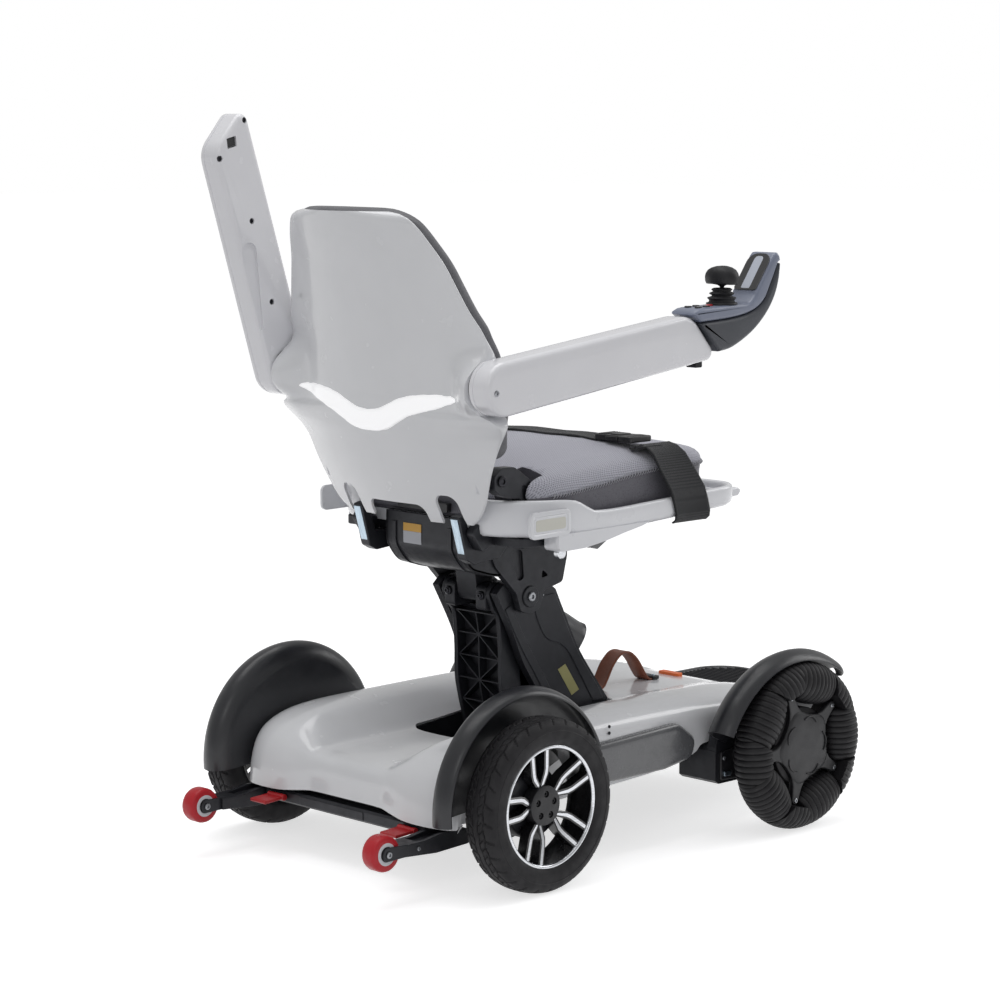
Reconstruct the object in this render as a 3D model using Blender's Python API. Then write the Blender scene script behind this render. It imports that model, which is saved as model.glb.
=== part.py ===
"""Folding power wheelchair, from its wheels up to the controller.

Metres. +Z is up, +X is the user's left and +Y is the rear. Places are taken
from the line on the floor under the rear axle. The root empty then shifts
the whole chair, so that its box is centred on the origin.
"""
import math

import bmesh
import bpy
from mathutils import Matrix, Vector

# driving sizes of the whole chair
REAR_AXLE_Y = 0.296          # the rear axle, seen from the middle of the chair's length
GAP = 0.0003                 # between two pieces that touch
RUNNING = 0.0005             # round a shaft in its bore
THROUGH = 0.002              # how far a cutter or a joined shape reaches past a face
SHELL_HALF_W = 0.211         # the body; the wheels and fenders stand off its sides

# drive wheels
DRIVE_R = 0.1165
DRIVE_X = SHELL_HALF_W + 0.058
TYRE_W = 0.054
TYRE_SEGMENTS = 40
RIM_R = 0.081
RIM_LIP_R = 0.0765
RIM_HALF_W = 0.023
RIM_HUB_R = 0.027
RIM_HUB_X = (DRIVE_X - 0.0045, DRIVE_X + 0.0145)
SPOKE_X = (DRIVE_X - 0.0020, DRIVE_X + 0.0055)
SPOKE_HALF_W = 0.002
SPOKE_PAIRS = 5
SPOKE_PATH = ((0.024, 7.0), (0.046, 13.5), (0.0785, 10.0))   # radius, degrees off the pair's middle
SHAFT_R = 0.008
MOTOR_R = 0.048
MOTOR_END_X = DRIVE_X - 0.007

# front omni wheels
OMNI_Y = -0.509
OMNI_R = 0.121
ROLLER_CIRCLE_R = 0.090
ROLLER_HALF = 0.038
ROLLER_END_CLEAR = 0.0004
OMNI_X = SHELL_HALF_W + 0.068
ROLLERS = 5
ROLLER_PHASE = 13.5
ROLLER_STATIONS = 7
ROLLER_SIDES = 14
BETWEEN_PHASE = ROLLER_PHASE - 180.0 / ROLLERS
BETWEEN_HALF = 0.0405
BETWEEN_LOW_R = 0.086
HUB_CORE_R = 0.0555
HUB_X = (OMNI_X - 0.0387, OMNI_X + 0.0071)
STAR_X = (OMNI_X + 0.0056, OMNI_X + 0.0156)
STAR_TIP_R = 0.083
POST_R = (0.050, 0.0745, 0.098)
POST_FOOT_HALF_W = 0.0028
STAR_HALF_W = 0.0068
FRONT_AXLE_R = 0.010

# fenders
REAR_FENDER_ARC = (-5.0, 158.0)
# how far off the body's side and how far from the axle, from the rim to the body
REAR_FENDER_PATH = ((0.0420, 0.1440), (0.0335, 0.1495), (0.0240, 0.1520), (0.0150, 0.1505), (0.0060, 0.1430),
                    (GAP, 0.1300), (GAP, 0.0300))
FENDER_WALL = 0.003
FENDER_DISC_R = 0.056
FRONT_FENDER_MIDDLE = (-0.506, 0.080)
FRONT_FENDER_ARC = (27.0, 130.0)
# how far off the axle plate's face and how far from the middle, from the rim to the plate
FRONT_FENDER_PATH = ((0.0550, 0.1660), (0.0450, 0.1745), (0.0320, 0.1786), (0.0150, 0.1710), (0.0050, 0.1590),
                     (GAP, 0.1450), (GAP, 0.1160))

# body
SHELL_WALL = 0.003
VALLEY_HALF_W = 0.075
SHOULDER_IN = (0.066, 0.026, 0.004)      # ridge and two shoulder lines, in from the side
SHOULDER_DOWN = (0.0, 0.006, 0.022)
# rear to front: ridge y, ridge z, middle y, middle z, how far the side is drawn in, foot y, foot z
SHELL_ROWS = (
    (0.114, 0.090, 0.100, 0.100, 0.0, 0.086, 0.093),
    (0.110, 0.125, 0.100, 0.122, 0.0, 0.070, 0.093),
    (0.100, 0.152, 0.097, 0.138, 0.0, 0.055, 0.093),
    (0.080, 0.174, 0.087, 0.147, 0.0, 0.040, 0.093),
    (0.045, 0.188, 0.060, 0.1495, 0.0, 0.020, 0.093),
    (0.000, 0.194, 0.000, 0.150, 0.0, 0.000, 0.093),
    (-0.060, 0.196, -0.060, 0.151, 0.0, -0.060, 0.095),
    (-0.120, 0.197, -0.120, 0.151, 0.0, -0.120, 0.098),
    (-0.200, 0.198, -0.200, 0.160, 0.0, -0.200, 0.101),
    (-0.300, 0.198, -0.300, 0.175, 0.0, -0.300, 0.107),
    (-0.375, 0.197, -0.375, 0.179, 0.0, -0.375, 0.131),
    (-0.398, 0.196, -0.398, 0.180, 0.0, -0.398, 0.132),
    (-0.440, 0.193, -0.440, 0.180, 0.004, -0.440, 0.130),
    (-0.500, 0.189, -0.500, 0.180, 0.013, -0.500, 0.130),
    (-0.560, 0.181, -0.560, 0.176, 0.028, -0.545, 0.122),
    (-0.605, 0.168, -0.605, 0.166, 0.047, -0.560, 0.108),
    (-0.628, 0.150, -0.628, 0.150, 0.061, -0.575, 0.106),
    (-0.636, 0.125, -0.636, 0.125, 0.069, -0.590, 0.105),
    (-0.632, 0.102, -0.632, 0.102, 0.073, -0.605, 0.104),
)
SLOT_HALF_W = 0.080
SLOT_Y = (-0.358, -0.094)
SLOT_Z = (0.120, 0.260)
PANEL_THICK = 0.0105
PANEL_EDGE = 0.003
PANEL_OUTLINE = (
    (-0.158, 0.163, 0.010), (-0.325, 0.170, 0.025), (-0.361, 0.143, 0.012),
    (-0.352, 0.116, 0.014), (-0.297, 0.107, 0.020), (-0.180, 0.107, 0.010),
)
STRAP_PATH = ((-0.366, 0.0), (-0.386, 0.0), (-0.401, 0.022), (-0.416, 0.040), (-0.432, 0.048),
              (-0.448, 0.043), (-0.466, 0.026), (-0.482, 0.0), (-0.502, 0.0))   # y, rise off the shell
STRAP_HALF_W = 0.014
STRAP_THICK = 0.003
STRAP_LIFT = 0.0009

# chassis under the shell
PAN_HALF_W = 0.150
PAN_Y = (-0.600, 0.0847)
PAN_Z = (0.094, 0.102)
POST_HALF_Y = 0.030
POST_TOP_Z = 0.125
FRONT_BEAM_Y = (-0.440, -0.418)
FRONT_BEAM_Z = (0.0945, 0.1015)
FRONT_BLOCK_X = (SHELL_HALF_W - 0.045, SHELL_HALF_W + 0.024)
FRONT_BLOCK = ((-0.385, 0.080), (-0.385, 0.122), (-0.392, 0.129), (-0.448, 0.129), (-0.448, 0.075),
               (-0.392, 0.075))
AXLE_PLATE_X = (SHELL_HALF_W + 0.008, SHELL_HALF_W + 0.024)
AXLE_PLATE = ((-0.386, 0.090), (-0.386, 0.128), (-0.391, 0.150), (-0.405, 0.156), (-0.440, 0.135),
              (-0.500, 0.138),
              (-0.5235, 0.130), (-0.5235, 0.110), (-0.500, 0.100), (-0.430, 0.085))
FRONT_AXLE_END_X = OMNI_X - 0.0245
BAR_Y = (0.085, 0.105)
BAR_Z = (0.069, 0.0865)
LIP_Y = 0.070
LIP_Z = 0.077
BAR_HALF_W = 0.1657
BATTERY_HALF_W = 0.110
BATTERY_Y = (-0.590, -0.385)
BATTERY_TOP_Z = 0.160
BOX_EDGE = 0.004
MODULE_HALF_W = 0.068
MODULE_Y = (-0.060, 0.060)
MODULE_TOP_Z = 0.138

# anti-tip wheels and freewheel levers
TIP_X = BAR_HALF_W + 0.0203
TIP_Y = 0.204
TIP_Z = 0.072
TIP_R = 0.024
TIP_HALF_W = 0.012
TIP_PIN_R = 0.004
TIP_BORE_R = 0.0045
TIP_FORK_WALL = 0.003
TIP_FORK_CLEAR = 0.0006
TIP_BEAM = ((0.060, 0.062), (0.060, 0.084), (0.100, 0.084), (0.176, 0.079), (0.176, 0.064), (0.120, 0.060))
TIP_TINE_R = 0.009
LEVER_X = (0.118, 0.150)
LEVER_PIVOT_Z = 0.078
LEVER_KNUCKLE_R = 0.005
LEVER_LENGTH = 0.034
LEVER_THICK = 0.004

# footplate
PLATE_HALF_W = 0.145
PLATE_Y = (-0.820, -0.657)
PLATE_Z = (0.121, 0.143)
PLATE_CORNER = 0.050
PLATE_EDGE = 0.004
PLATE_HINGE_Y = -0.6460
PLATE_KNUCKLE_R = 0.009
PLATE_KNUCKLE_X = (0.0305, 0.060)
TONGUE_HALF_W = 0.030
TONGUE_Z = (0.082, 0.094)

# folding column
LEG_FOOT = (-0.272, 0.155)           # the leg turns here in the chassis
LEG_HEAD = (-0.172, 0.350)           # the seat carrier turns here on the leg
STRUT_HEAD = (-0.140, 0.352)
STRUT_FOOT = (-0.185, 0.135)
LEG_HALF_W = 0.065
LEG_CHEEK = 0.013
LEG_WEB = 0.010
LEG_REAR = ((-0.120, 0.357), (-0.151, 0.301), (-0.172, 0.255), (-0.197, 0.217), (-0.232, 0.165))
LEG_BOTTOM = ((-0.262, 0.137), (-0.290, 0.137))
LEG_FRONT = ((-0.343, 0.181), (-0.287, 0.255), (-0.254, 0.316), (-0.236, 0.352))
LEG_TOP = ((-0.214, 0.368), (-0.172, 0.3735), (-0.133, 0.369))
LEG_SHAFT_R = 0.012
BRACKET_X = (0.0803, 0.092)
BRACKET_R = 0.0165
BRACKET_BASE_Y = (-0.300, -0.244)
HEAD_PIN_R = 0.009
STRUT_HALF_W = 0.048
STRUT_REAR = ((-0.1215, 0.352), (-0.141, 0.316), (-0.145, 0.270), (-0.147, 0.217), (-0.167, 0.140))
STRUT_FRONT = ((-0.203, 0.140), (-0.185, 0.217), (-0.182, 0.270), (-0.177, 0.316), (-0.1585, 0.352))
STRUT_HEAD_R = 0.0185
STRUT_FOOT_R = 0.018
STRUT_SLOT_DEPTH = 0.016
STRUT_PIN_R = 0.008
TONGUE_HALF = 0.020
RIB_HALF = 0.003
LATTICE_Z = (0.160, 0.322)
LATTICE_CELLS = 5
LATTICE_MARGIN = 0.007
RAIL_X = (0.0487, 0.0565)
RAIL_TOP_Z = 0.121
RAIL_Y = (-0.252, -0.160)
FOLD_MOTOR_R = 0.0175
FOLD_MOTOR_X = (0.0923, 0.142)

# seat carrier
SEAT_PLATE_Z = (0.438, 0.4517)
SEAT_PLATE_HALF_W = 0.130
SEAT_PLATE_Y = (-0.245, -0.058)
SEAT_BEAM_HALF_W = 0.178
SEAT_BEAM_Y = (-0.150, -0.058)
LUG_X = (0.0665, 0.0785)
LUG_OUTLINE = ((-0.245, 0.440), (-0.245, 0.400), (-0.236, 0.364), (-0.200, 0.356), (-0.190, 0.331),
               (-0.172, 0.326), (-0.154, 0.332), (-0.146, 0.356), (-0.105, 0.398), (-0.085, 0.440))
TONGUE_OUTLINE = ((-0.165, 0.440), (-0.1525, 0.352), (-0.149, 0.3432), (-0.140, 0.3395), (-0.131, 0.3432),
                  (-0.1275, 0.352), (-0.115, 0.440))
PAN_SHELL = ((-0.042, 0.470), (-0.042, 0.424), (-0.062, 0.399), (-0.100, 0.386), (-0.128, 0.381))
PAN_SHELL_HALF_W = 0.075
PAN_SHELL_WALL = 0.006
GUSSET_WALL = 0.006
HOOK_X = (0.089, 0.107)
HOOK_OUTLINE = ((-0.110, 0.440), (-0.086, 0.416), (-0.036, 0.4115), (-0.024, 0.419), (-0.009, 0.478),
                (-0.021, 0.481), (-0.036, 0.438), (-0.060, 0.4395))
TOWER_X = (0.1523, 0.170)
TOWER_OUTLINE = ((-0.098, 0.440), (-0.098, 0.490), (-0.080, 0.530), (-0.052, 0.5485), (-0.030, 0.549),
                 (-0.0165, 0.540), (-0.0150, 0.524), (-0.024, 0.513), (-0.044, 0.5065), (-0.0645, 0.505),
                 (-0.0645, 0.440))

# back
BACK_PIVOT = (-0.028, 0.531)
BACK_WALL = 0.004
# height, half width, edge y, rearward bulge of the middle, how flat the middle is
BACK_ROWS = (
    (0.468, 0.124, -0.0200, 0.0180, 2.0),
    (0.480, 0.140, -0.0165, 0.0210, 2.0),
    (0.500, 0.155, -0.0125, 0.0285, 2.0),
    (0.520, 0.165, -0.0075, 0.0345, 2.0),
    (0.545, 0.1765, -0.0025, 0.0405, 2.0),
    (0.570, 0.1890, 0.0000, 0.0470, 2.0),
    (0.588, 0.2040, 0.0045, 0.0485, 2.1),
    (0.600, 0.2160, 0.0075, 0.0485, 2.3),
    (0.610, 0.2190, 0.0060, 0.0515, 2.5),
    (0.6205, 0.1955, -0.0050, 0.0630, 3.3),
    (0.640, 0.1955, -0.0085, 0.0675, 3.4),
    (0.661, 0.1955, -0.0050, 0.0665, 3.2),
    (0.700, 0.1955, 0.0090, 0.0590, 2.6),
    (0.730, 0.1920, 0.0275, 0.0475, 2.2),
    (0.760, 0.1775, 0.0400, 0.0440, 2.0),
    (0.790, 0.1650, 0.0500, 0.0430, 2.0),
    (0.820, 0.1525, 0.0600, 0.0430, 2.0),
    (0.850, 0.1375, 0.0750, 0.0400, 2.0),
    (0.870, 0.1250, 0.0850, 0.0360, 2.0),
    (0.880, 0.1140, 0.0905, 0.0330, 2.0),
    (0.887, 0.0920, 0.0945, 0.0300, 2.0),
)
BACK_COLUMNS = (0.0, 0.25, 0.48, 0.66, 0.8, 0.92, 1.0)
NOTCH_X = (0.080, 0.114)
NOTCH_TOP_Z = 0.509
CENTRE_CUT_HALF_W = 0.055
CENTRE_CUT_TOP_Z = 0.492
EAR_X = (0.1375, 0.1520)
EAR_R = 0.014
EAR_OUTLINE = ((-0.028, 0.517), (-0.0045, 0.515), (0.0085, 0.548), (-0.028, 0.545))
EAR_PIN_R = 0.006
BACK_CUSHION_CROWN = 0.010
BACK_CUSHION_SIDE = 0.003
BACK_CUSHION_CLEAR = 0.0010
BACK_CUSHION_LOOK = 0.012                # the cushion also clears the shell this far above and below
BACK_CUSHION_MAX_HALF_W = 0.1915
# height, y of the cushion's front edge, how far its middle is drawn back
BACK_CUSHION_FRONT = (
    (0.560, -0.0220, 0.024),
    (0.575, -0.0230, 0.026),
    (0.590, -0.0240, 0.028),
    (0.606, -0.0255, 0.030),
    (0.6205, -0.0270, 0.032),
    (0.640, -0.0285, 0.033),
    (0.661, -0.0250, 0.033),
    (0.700, -0.0110, 0.030),
    (0.730, 0.0075, 0.026),
    (0.760, 0.0200, 0.024),
    (0.790, 0.0300, 0.023),
    (0.820, 0.0400, 0.023),
    (0.850, 0.0550, 0.022),
    (0.870, 0.0650, 0.020),
    (0.887, 0.0725, 0.018),
    (0.893, 0.0745, 0.016),
)
# the swelling that carries an arm: how far across the back, and its size there
SWELL_STEPS = ((0.145, 0.30), (0.168, 0.58), (0.185, 0.86), (0.1967, 1.0))
SWELL_MIDDLE = (0.014, 0.655)

# arms
ARM_PIVOT = (0.026, 0.661)
ARM_X = (0.1970, 0.2380)
ARM_EDGE = 0.006
ARM_DISC_R = 0.036
ARM_TOP_FRONT = (-0.311, 0.7385)
ARM_SHOULDER = (-0.3375, 0.7290)
ARM_LOW_CORNER = (-0.3750, 0.6870)
ARM_LOW_FRONT = (-0.3670, 0.6770)
LEFT_ARM_RAISE = 99.0
LEFT_ARM_SHORTER = 0.035
ARM_PIN_R = 0.008
ARM_PIN_DEEP = 0.014

# controller
CONTROL_X = (0.1970, 0.2440)
CONTROL_EDGE = 0.005
BASE_LOW = ((-0.3756, 0.6872), (-0.4062, 0.693), (-0.4443, 0.711), (-0.4737, 0.734), (-0.4927, 0.759),
            (-0.5022, 0.785), (-0.5040, 0.808))
SEAM = ((-0.4983, 0.806), (-0.4823, 0.775), (-0.4685, 0.754), (-0.4434, 0.740), (-0.4019, 0.733),
        (-0.3500, 0.7295))
COVER_REAR = ((-0.310, 0.7389), (-0.314, 0.7430), (-0.335, 0.7490))
COVER_FLAT_END = (-0.4374, 0.7525)
COVER_SCREEN = ((-0.4521, 0.768), (-0.4737, 0.797), (-0.4901, 0.8205), (-0.4996, 0.8215), (-0.5040, 0.8086))
STICK_Y = -0.405
STICK_Z = 0.7525
STICK_WELL_R = 0.0192
STICK_WELL_DEEP = 0.0085
BOOT_BALL_R = 0.0185
BOOT_BALL_DEGREES = (-9.3, 12.5)
BOOT_FLAT_DROP = 0.003
BOOT_FOLDS = ((0.0072, 0.0212), (0.0105, 0.0145), (0.0138, 0.0180), (0.0168, 0.0130), (0.0192, 0.0150),
              (0.0215, 0.0125))
BOOT_SLOT = (0.0095, 0.0036)
STICK_R = 0.0032
KNOB_PROFILE = ((0.0262, 0.0032), (0.0272, 0.0120), (0.0330, 0.0240), (0.0400, 0.0265), (0.0465, 0.0245),
                (0.0510, 0.0140), (0.0525, 0.0))
BUTTON_R = 0.0052
BUTTON_CLEAR = 0.0004
BUTTON_TRAVEL = 0.0015
BUTTON_STANDS = 0.0018
BUTTON_DEEP = 0.0045
# across the arm and along it; the last one is the red button
BUTTON_PLACES = ((-0.0095, -0.346), (0.0095, -0.346), (-0.0095, -0.362), (0.0095, -0.362), (0.0, -0.379))

# seat
TRAY_HALF_W = 0.2115
TRAY_Y = (-0.470, -0.030)
TRAY_CORNER = 0.045
TRAY_REAR_CORNER = 0.110
TRAY_Z = (0.452, 0.503)
TRAY_FLOOR_Z = 0.4682
TRAY_WALL = 0.010
TRAY_RIM = ((0.050, 0.502), (-0.135, 0.502), (-0.168, 0.482), (-0.480, 0.495))   # y and height of the rim
TRAY_RISE = ((-0.200, 0.452), (-0.480, 0.467))
TRAY_NOTCH_HALF_W = 0.118
TRAY_NOTCH_Y = -0.0552
TOWER_CLEAR = 0.002
TRAY_BOSS_X = (SEAT_BEAM_HALF_W + 0.0035, SEAT_BEAM_HALF_W + 0.0265)
TRAY_BOSS_Y = (-0.1435, -0.095)
TRAY_BOSS_Z = 0.433
TRAY_LIP_HALF_W = 0.185
TRAY_LIP_Y = (-0.492, -0.455)
TRAY_LIP_Z = (0.471, 0.484)
CUSHION_HALF_W = 0.195
CUSHION_Y = (-0.430, -0.0465)
CUSHION_CORNER = 0.050
CUSHION_REAR_CORNER = 0.095
CUSHION_TOP = ((0.030, 0.522), (-0.100, 0.534), (-0.300, 0.548), (-0.430, 0.548))   # y and edge height
CUSHION_CROWN = 0.016
CUSHION_SIDES = 44
EAR_SLOT_X = (0.1340, 0.1735)
EAR_SLOT_Y = -0.1010
UNDERCUT_Y = (-0.0560, -0.030)
UNDERCUT_TOP_Z = 0.4735
UNDERCUT_HALF_W = 0.120
BELT_Y = -0.298
BELT_HALF_W = 0.020
BELT_THICK = 0.0022
BELT_LIFT = 0.0016
BELT_LOW_Z = 0.458
BELT_SIDE_Y = -0.350
BELT_SIDE_HALF_W = 0.026
BUCKLE_X = (-0.170, -0.098)
BUCKLE_HALF_W = 0.0235
BUCKLE_THICK = 0.012
SEAT_LEVER_X = (-0.0005 - TRAY_BOSS_X[1], -0.0015 - TRAY_BOSS_X[0])
SEAT_LEVER_PIVOT = (-0.1500, 0.4450)
SEAT_LEVER_R = 0.006
SEAT_LEVER_OUTLINE = ((-0.150, 0.4510), (-0.203, 0.4510), (-0.197, 0.441), (-0.176, 0.429), (-0.150, 0.4390))


for leftover in list(bpy.data.objects):
    bpy.data.objects.remove(leftover, do_unlink=True)

HOLDERS = {}
PLACES = {}


def holder(name, position, parent=None):
    """Add an empty that pieces hang on; position is measured from the rear axle's line."""
    empty = bpy.data.objects.new(name, None)
    empty.empty_display_size = 0.03
    bpy.context.collection.objects.link(empty)
    PLACES[name] = Vector(position)
    HOLDERS[name] = empty
    if parent is None:
        empty.location = (0.0, REAR_AXLE_Y, 0.0)
    else:
        empty.parent = HOLDERS[parent]
        empty.location = PLACES[name] - PLACES[parent]
    return empty


# surfaces

def linear(channel):
    """Turn one 0-255 display value into a linear one."""
    share = channel / 255.0
    if share <= 0.04045:
        return share / 12.92
    return ((share + 0.055) / 1.055) ** 2.4


def surface(name, colour, roughness, metallic=0.0):
    """Return a Principled material."""
    material = bpy.data.materials.new(name)
    material.use_nodes = True
    principled = material.node_tree.nodes["Principled BSDF"]
    rgb = [linear(channel) for channel in colour]
    principled.inputs["Base Color"].default_value = (*rgb, 1.0)
    principled.inputs["Roughness"].default_value = roughness
    principled.inputs["Metallic"].default_value = metallic
    return material


WHITE = surface("gloss_white", (222, 223, 227), 0.22)
SEAT_WHITE = surface("seat_white", (212, 213, 217), 0.30)
PANEL_GREY = surface("panel_grey", (94, 94, 96), 0.35)
FENDER_BLACK = surface("fender_black", (50, 52, 55), 0.40)
CASTING = surface("black_casting", (36, 37, 41), 0.50, 0.2)
RUBBER = surface("rubber", (28, 28, 30), 0.80)
TYRE = surface("tyre", (27, 26, 29), 0.85)
RIM = surface("rim_black", (24, 24, 27), 0.35, 0.4)
RED = surface("red_plastic", (196, 30, 38), 0.35)
LEATHER = surface("leather", (122, 74, 48), 0.60)
CUSHION_CLOTH = surface("cushion_cloth", (176, 177, 186), 0.90)
BACK_CLOTH = surface("back_cloth", (104, 104, 110), 0.90)
WEBBING = surface("webbing", (40, 42, 46), 0.85)
HANDSET = surface("handset_grey", (68, 69, 76), 0.40)
HANDSET_TOP = surface("handset_top", (121, 127, 145), 0.35)
KNOB = surface("knob_black", (20, 20, 22), 0.35)
STEEL = surface("steel", (150, 153, 158), 0.35, 1.0)


# building blocks

def outward(bm):
    """Turn every face of a closed mesh outward."""
    bmesh.ops.recalc_face_normals(bm, faces=bm.faces)
    if bm.calc_volume(signed=True) < 0.0:
        bmesh.ops.reverse_faces(bm, faces=bm.faces)
    return bm


def loft(rings):
    """Skin equal rings of points and cap both ends."""
    bm = bmesh.new()
    loops = [[bm.verts.new(point) for point in ring] for ring in rings]
    for lower, upper in zip(loops, loops[1:]):
        for i in range(len(lower)):
            j = (i + 1) % len(lower)
            bm.faces.new((lower[i], lower[j], upper[j], upper[i]))
    bm.faces.new(list(reversed(loops[0])))
    bm.faces.new(loops[-1])
    return outward(bm)


def spot(axis, a, b, along):
    """Place an outline's two values and the value along the axis in space."""
    if axis == "X":
        return (along, a, b)
    if axis == "Y":
        return (a, along, b)
    return (a, b, along)


def prism(outline, axis, low, high):
    """Extrude an outline along an axis."""
    return loft([[spot(axis, a, b, along) for a, b in outline] for along in (low, high)])


def box(x, y, z):
    """Return a box from three (low, high) pairs."""
    return prism(((x[0], y[0]), (x[1], y[0]), (x[1], y[1]), (x[0], y[1])), "Z", z[0], z[1])


def signed_area(outline):
    """Return twice the signed area of an outline."""
    return sum(p[0] * q[1] - q[0] * p[1] for p, q in zip(outline, outline[1:] + outline[:1]))


def inset(outline, amount):
    """Move each side of an outline inward."""
    outline = list(outline)
    turn = 1.0 if signed_area(outline) > 0.0 else -1.0
    moved = []
    for i, point in enumerate(outline):
        here = Vector(point)
        before = (here - Vector(outline[i - 1])).normalized()
        after = (Vector(outline[(i + 1) % len(outline)]) - here).normalized()
        normal = Vector((-before.y - after.y, before.x + after.x)).normalized() * turn
        slant = max(0.3, normal.dot(Vector((-before.y, before.x)) * turn))
        moved.append(tuple(here + normal * (amount / slant)))
    return moved


def edged(outline, axis, low, high, edge):
    """Extrude an outline with chamfered rims."""
    smaller = inset(outline, edge)
    steps = ((low, smaller), (low + edge, outline), (high - edge, outline), (high, smaller))
    return loft([[spot(axis, a, b, along) for a, b in ring] for along, ring in steps])


def arc(centre, radius, start, end, steps):
    """Return points on an arc; degrees from the first axis towards the second."""
    points = []
    for i in range(steps + 1):
        angle = math.radians(start + (end - start) * i / steps)
        points.append((centre[0] + radius * math.cos(angle), centre[1] + radius * math.sin(angle)))
    return points


def rounded(corners, steps=3):
    """Round the corners (a, b, radius) of a closed outline."""
    points = []
    for i, (a, b, radius) in enumerate(corners):
        here = Vector((a, b))
        to_last = Vector(corners[i - 1][:2]) - here
        to_next = Vector(corners[(i + 1) % len(corners)][:2]) - here
        half = to_last.angle(to_next) / 2.0
        reach = min(radius / math.tan(half), to_last.length * 0.48, to_next.length * 0.48)
        start = here + to_last.normalized() * reach
        end = here + to_next.normalized() * reach
        for k in range(steps + 1):
            t = k / steps
            points.append(tuple(start * (1 - t) ** 2 + here * (2 * t * (1 - t)) + end * t ** 2))
    return points


def turned(profile, axis, centre, segments, phase=0.0):
    """Turn (along, radius) points about an axis; a point of radius 0 closes the end."""
    bm = bmesh.new()
    columns = []
    poles = {i: bm.verts.new(spot_round(axis, centre, along, 0.0, 0.0))
             for i, (along, radius) in enumerate(profile) if radius == 0.0}
    for k in range(segments):
        angle = phase + 2.0 * math.pi * k / segments
        columns.append([poles.get(i) or bm.verts.new(spot_round(axis, centre, along, radius, angle))
                        for i, (along, radius) in enumerate(profile)])
    closed = len(poles) < 2
    for k, column in enumerate(columns):
        other = columns[(k + 1) % segments]
        for i in range(len(profile) if closed else len(profile) - 1):
            j = (i + 1) % len(profile)
            corners = []
            for vert in (column[i], other[i], other[j], column[j]):
                if vert not in corners:
                    corners.append(vert)
            if len(corners) > 2:
                bm.faces.new(corners)
    return outward(bm)


def spot_round(axis, centre, along, radius, angle):
    """Place a turned point; the angle runs from the first cross axis to the second."""
    a = radius * math.cos(angle)
    b = radius * math.sin(angle)
    if axis == "X":
        return (centre[0] + along, centre[1] + a, centre[2] + b)
    if axis == "Y":
        return (centre[0] + a, centre[1] + along, centre[2] + b)
    return (centre[0] + a, centre[1] + b, centre[2] + along)


def rod(axis, centre, radius, low, high, segments=20, phase=0.0):
    """Return a cylinder; low and high are measured along the axis from the centre."""
    return turned(((low, 0.0), (low, radius), (high, radius), (high, 0.0)), axis, centre, segments, phase)


def across(place, radius, low, high, segments=20, phase=0.0):
    """Return a cylinder along X at a (y, z) place."""
    return rod("X", (0.0, place[0], place[1]), radius, low, high, segments, phase)


def combined(*parts):
    """Put several closed meshes that don't touch into one."""
    whole = bmesh.new()
    for part in parts:
        scratch = bpy.data.meshes.new("scratch")
        part.to_mesh(scratch)
        part.free()
        whole.from_mesh(scratch)
        bpy.data.meshes.remove(scratch)
    return whole


def both_sides(make):
    """Return the shape made for the left side and for the right side."""
    return combined(make(1.0), make(-1.0))


def span(side, low, high):
    """Return a (low, high) pair mirrored to the given side."""
    return (side * low, side * high) if side > 0 else (side * high, side * low)


def piece(name, bm, material, on="chair", sharp=35.0):
    """Make an object of a mesh that is drawn in the rear axle's frame."""
    mesh = bpy.data.meshes.new(name)
    bm.to_mesh(mesh)
    bm.free()
    mesh.transform(Matrix.Translation(-PLACES[on]))
    mesh.materials.append(material)
    mesh.shade_smooth()
    mesh.set_sharp_from_angle(angle=math.radians(sharp))
    thing = bpy.data.objects.new(name, mesh)
    thing.parent = HOLDERS[on]
    bpy.context.collection.objects.link(thing)
    return thing


def helper(thing, bm, operation):
    """Add a hidden shape that a Boolean joins to a piece or cuts from it."""
    guide = piece(f"{thing.name}_{operation.lower()}", bm, STEEL)
    guide.hide_render = True
    guide.display_type = "WIRE"
    change = thing.modifiers.new(operation.title(), "BOOLEAN")
    change.operation = operation
    change.solver = "EXACT"
    change.object = guide
    return thing


def join(thing, bm):
    """Join a shape to a piece."""
    return helper(thing, bm, "UNION")


def cut(thing, bm):
    """Cut a shape from a piece."""
    return helper(thing, bm, "DIFFERENCE")


def sheet(name, rows, wall, material, on="chair"):
    """Make a wall of one thickness under a grid of points whose faces look outward."""
    bm = bmesh.new()
    grid = [[bm.verts.new(point) for point in row] for row in rows]
    for low, high in zip(grid, grid[1:]):
        for i in range(len(low) - 1):
            bm.faces.new((low[i], low[i + 1], high[i + 1], high[i]))
    thing = piece(name, bm, material, on)
    solidify = thing.modifiers.new("Wall", "SOLIDIFY")
    solidify.thickness = wall
    solidify.offset = -1.0
    solidify.use_even_offset = True
    return thing


def between(table, place, value=1):
    """Read a column of a table by its first column, which falls or rises."""
    rows = sorted(table)
    if place <= rows[0][0]:
        return rows[0][value]
    for low, high in zip(rows, rows[1:]):
        if place <= high[0]:
            share = (place - low[0]) / (high[0] - low[0])
            return low[value] + (high[value] - low[value]) * share
    return rows[-1][value]


# omni wheel geometry

def roller_radius(s):
    """Return a barrel roller's radius at a distance from its middle."""
    return math.sqrt(OMNI_R ** 2 - s ** 2) - ROLLER_CIRCLE_R


def roller_stations(half):
    """Return the places along a roller's axis where its rings lie."""
    return [half * (2.0 * i / (ROLLER_STATIONS - 1) - 1.0) for i in range(ROLLER_STATIONS)]


def roller_angles(phase):
    """Return the angles of a row's rollers, from straight up towards the front."""
    return [math.radians(phase + 360.0 / ROLLERS * k) for k in range(ROLLERS)]


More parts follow.
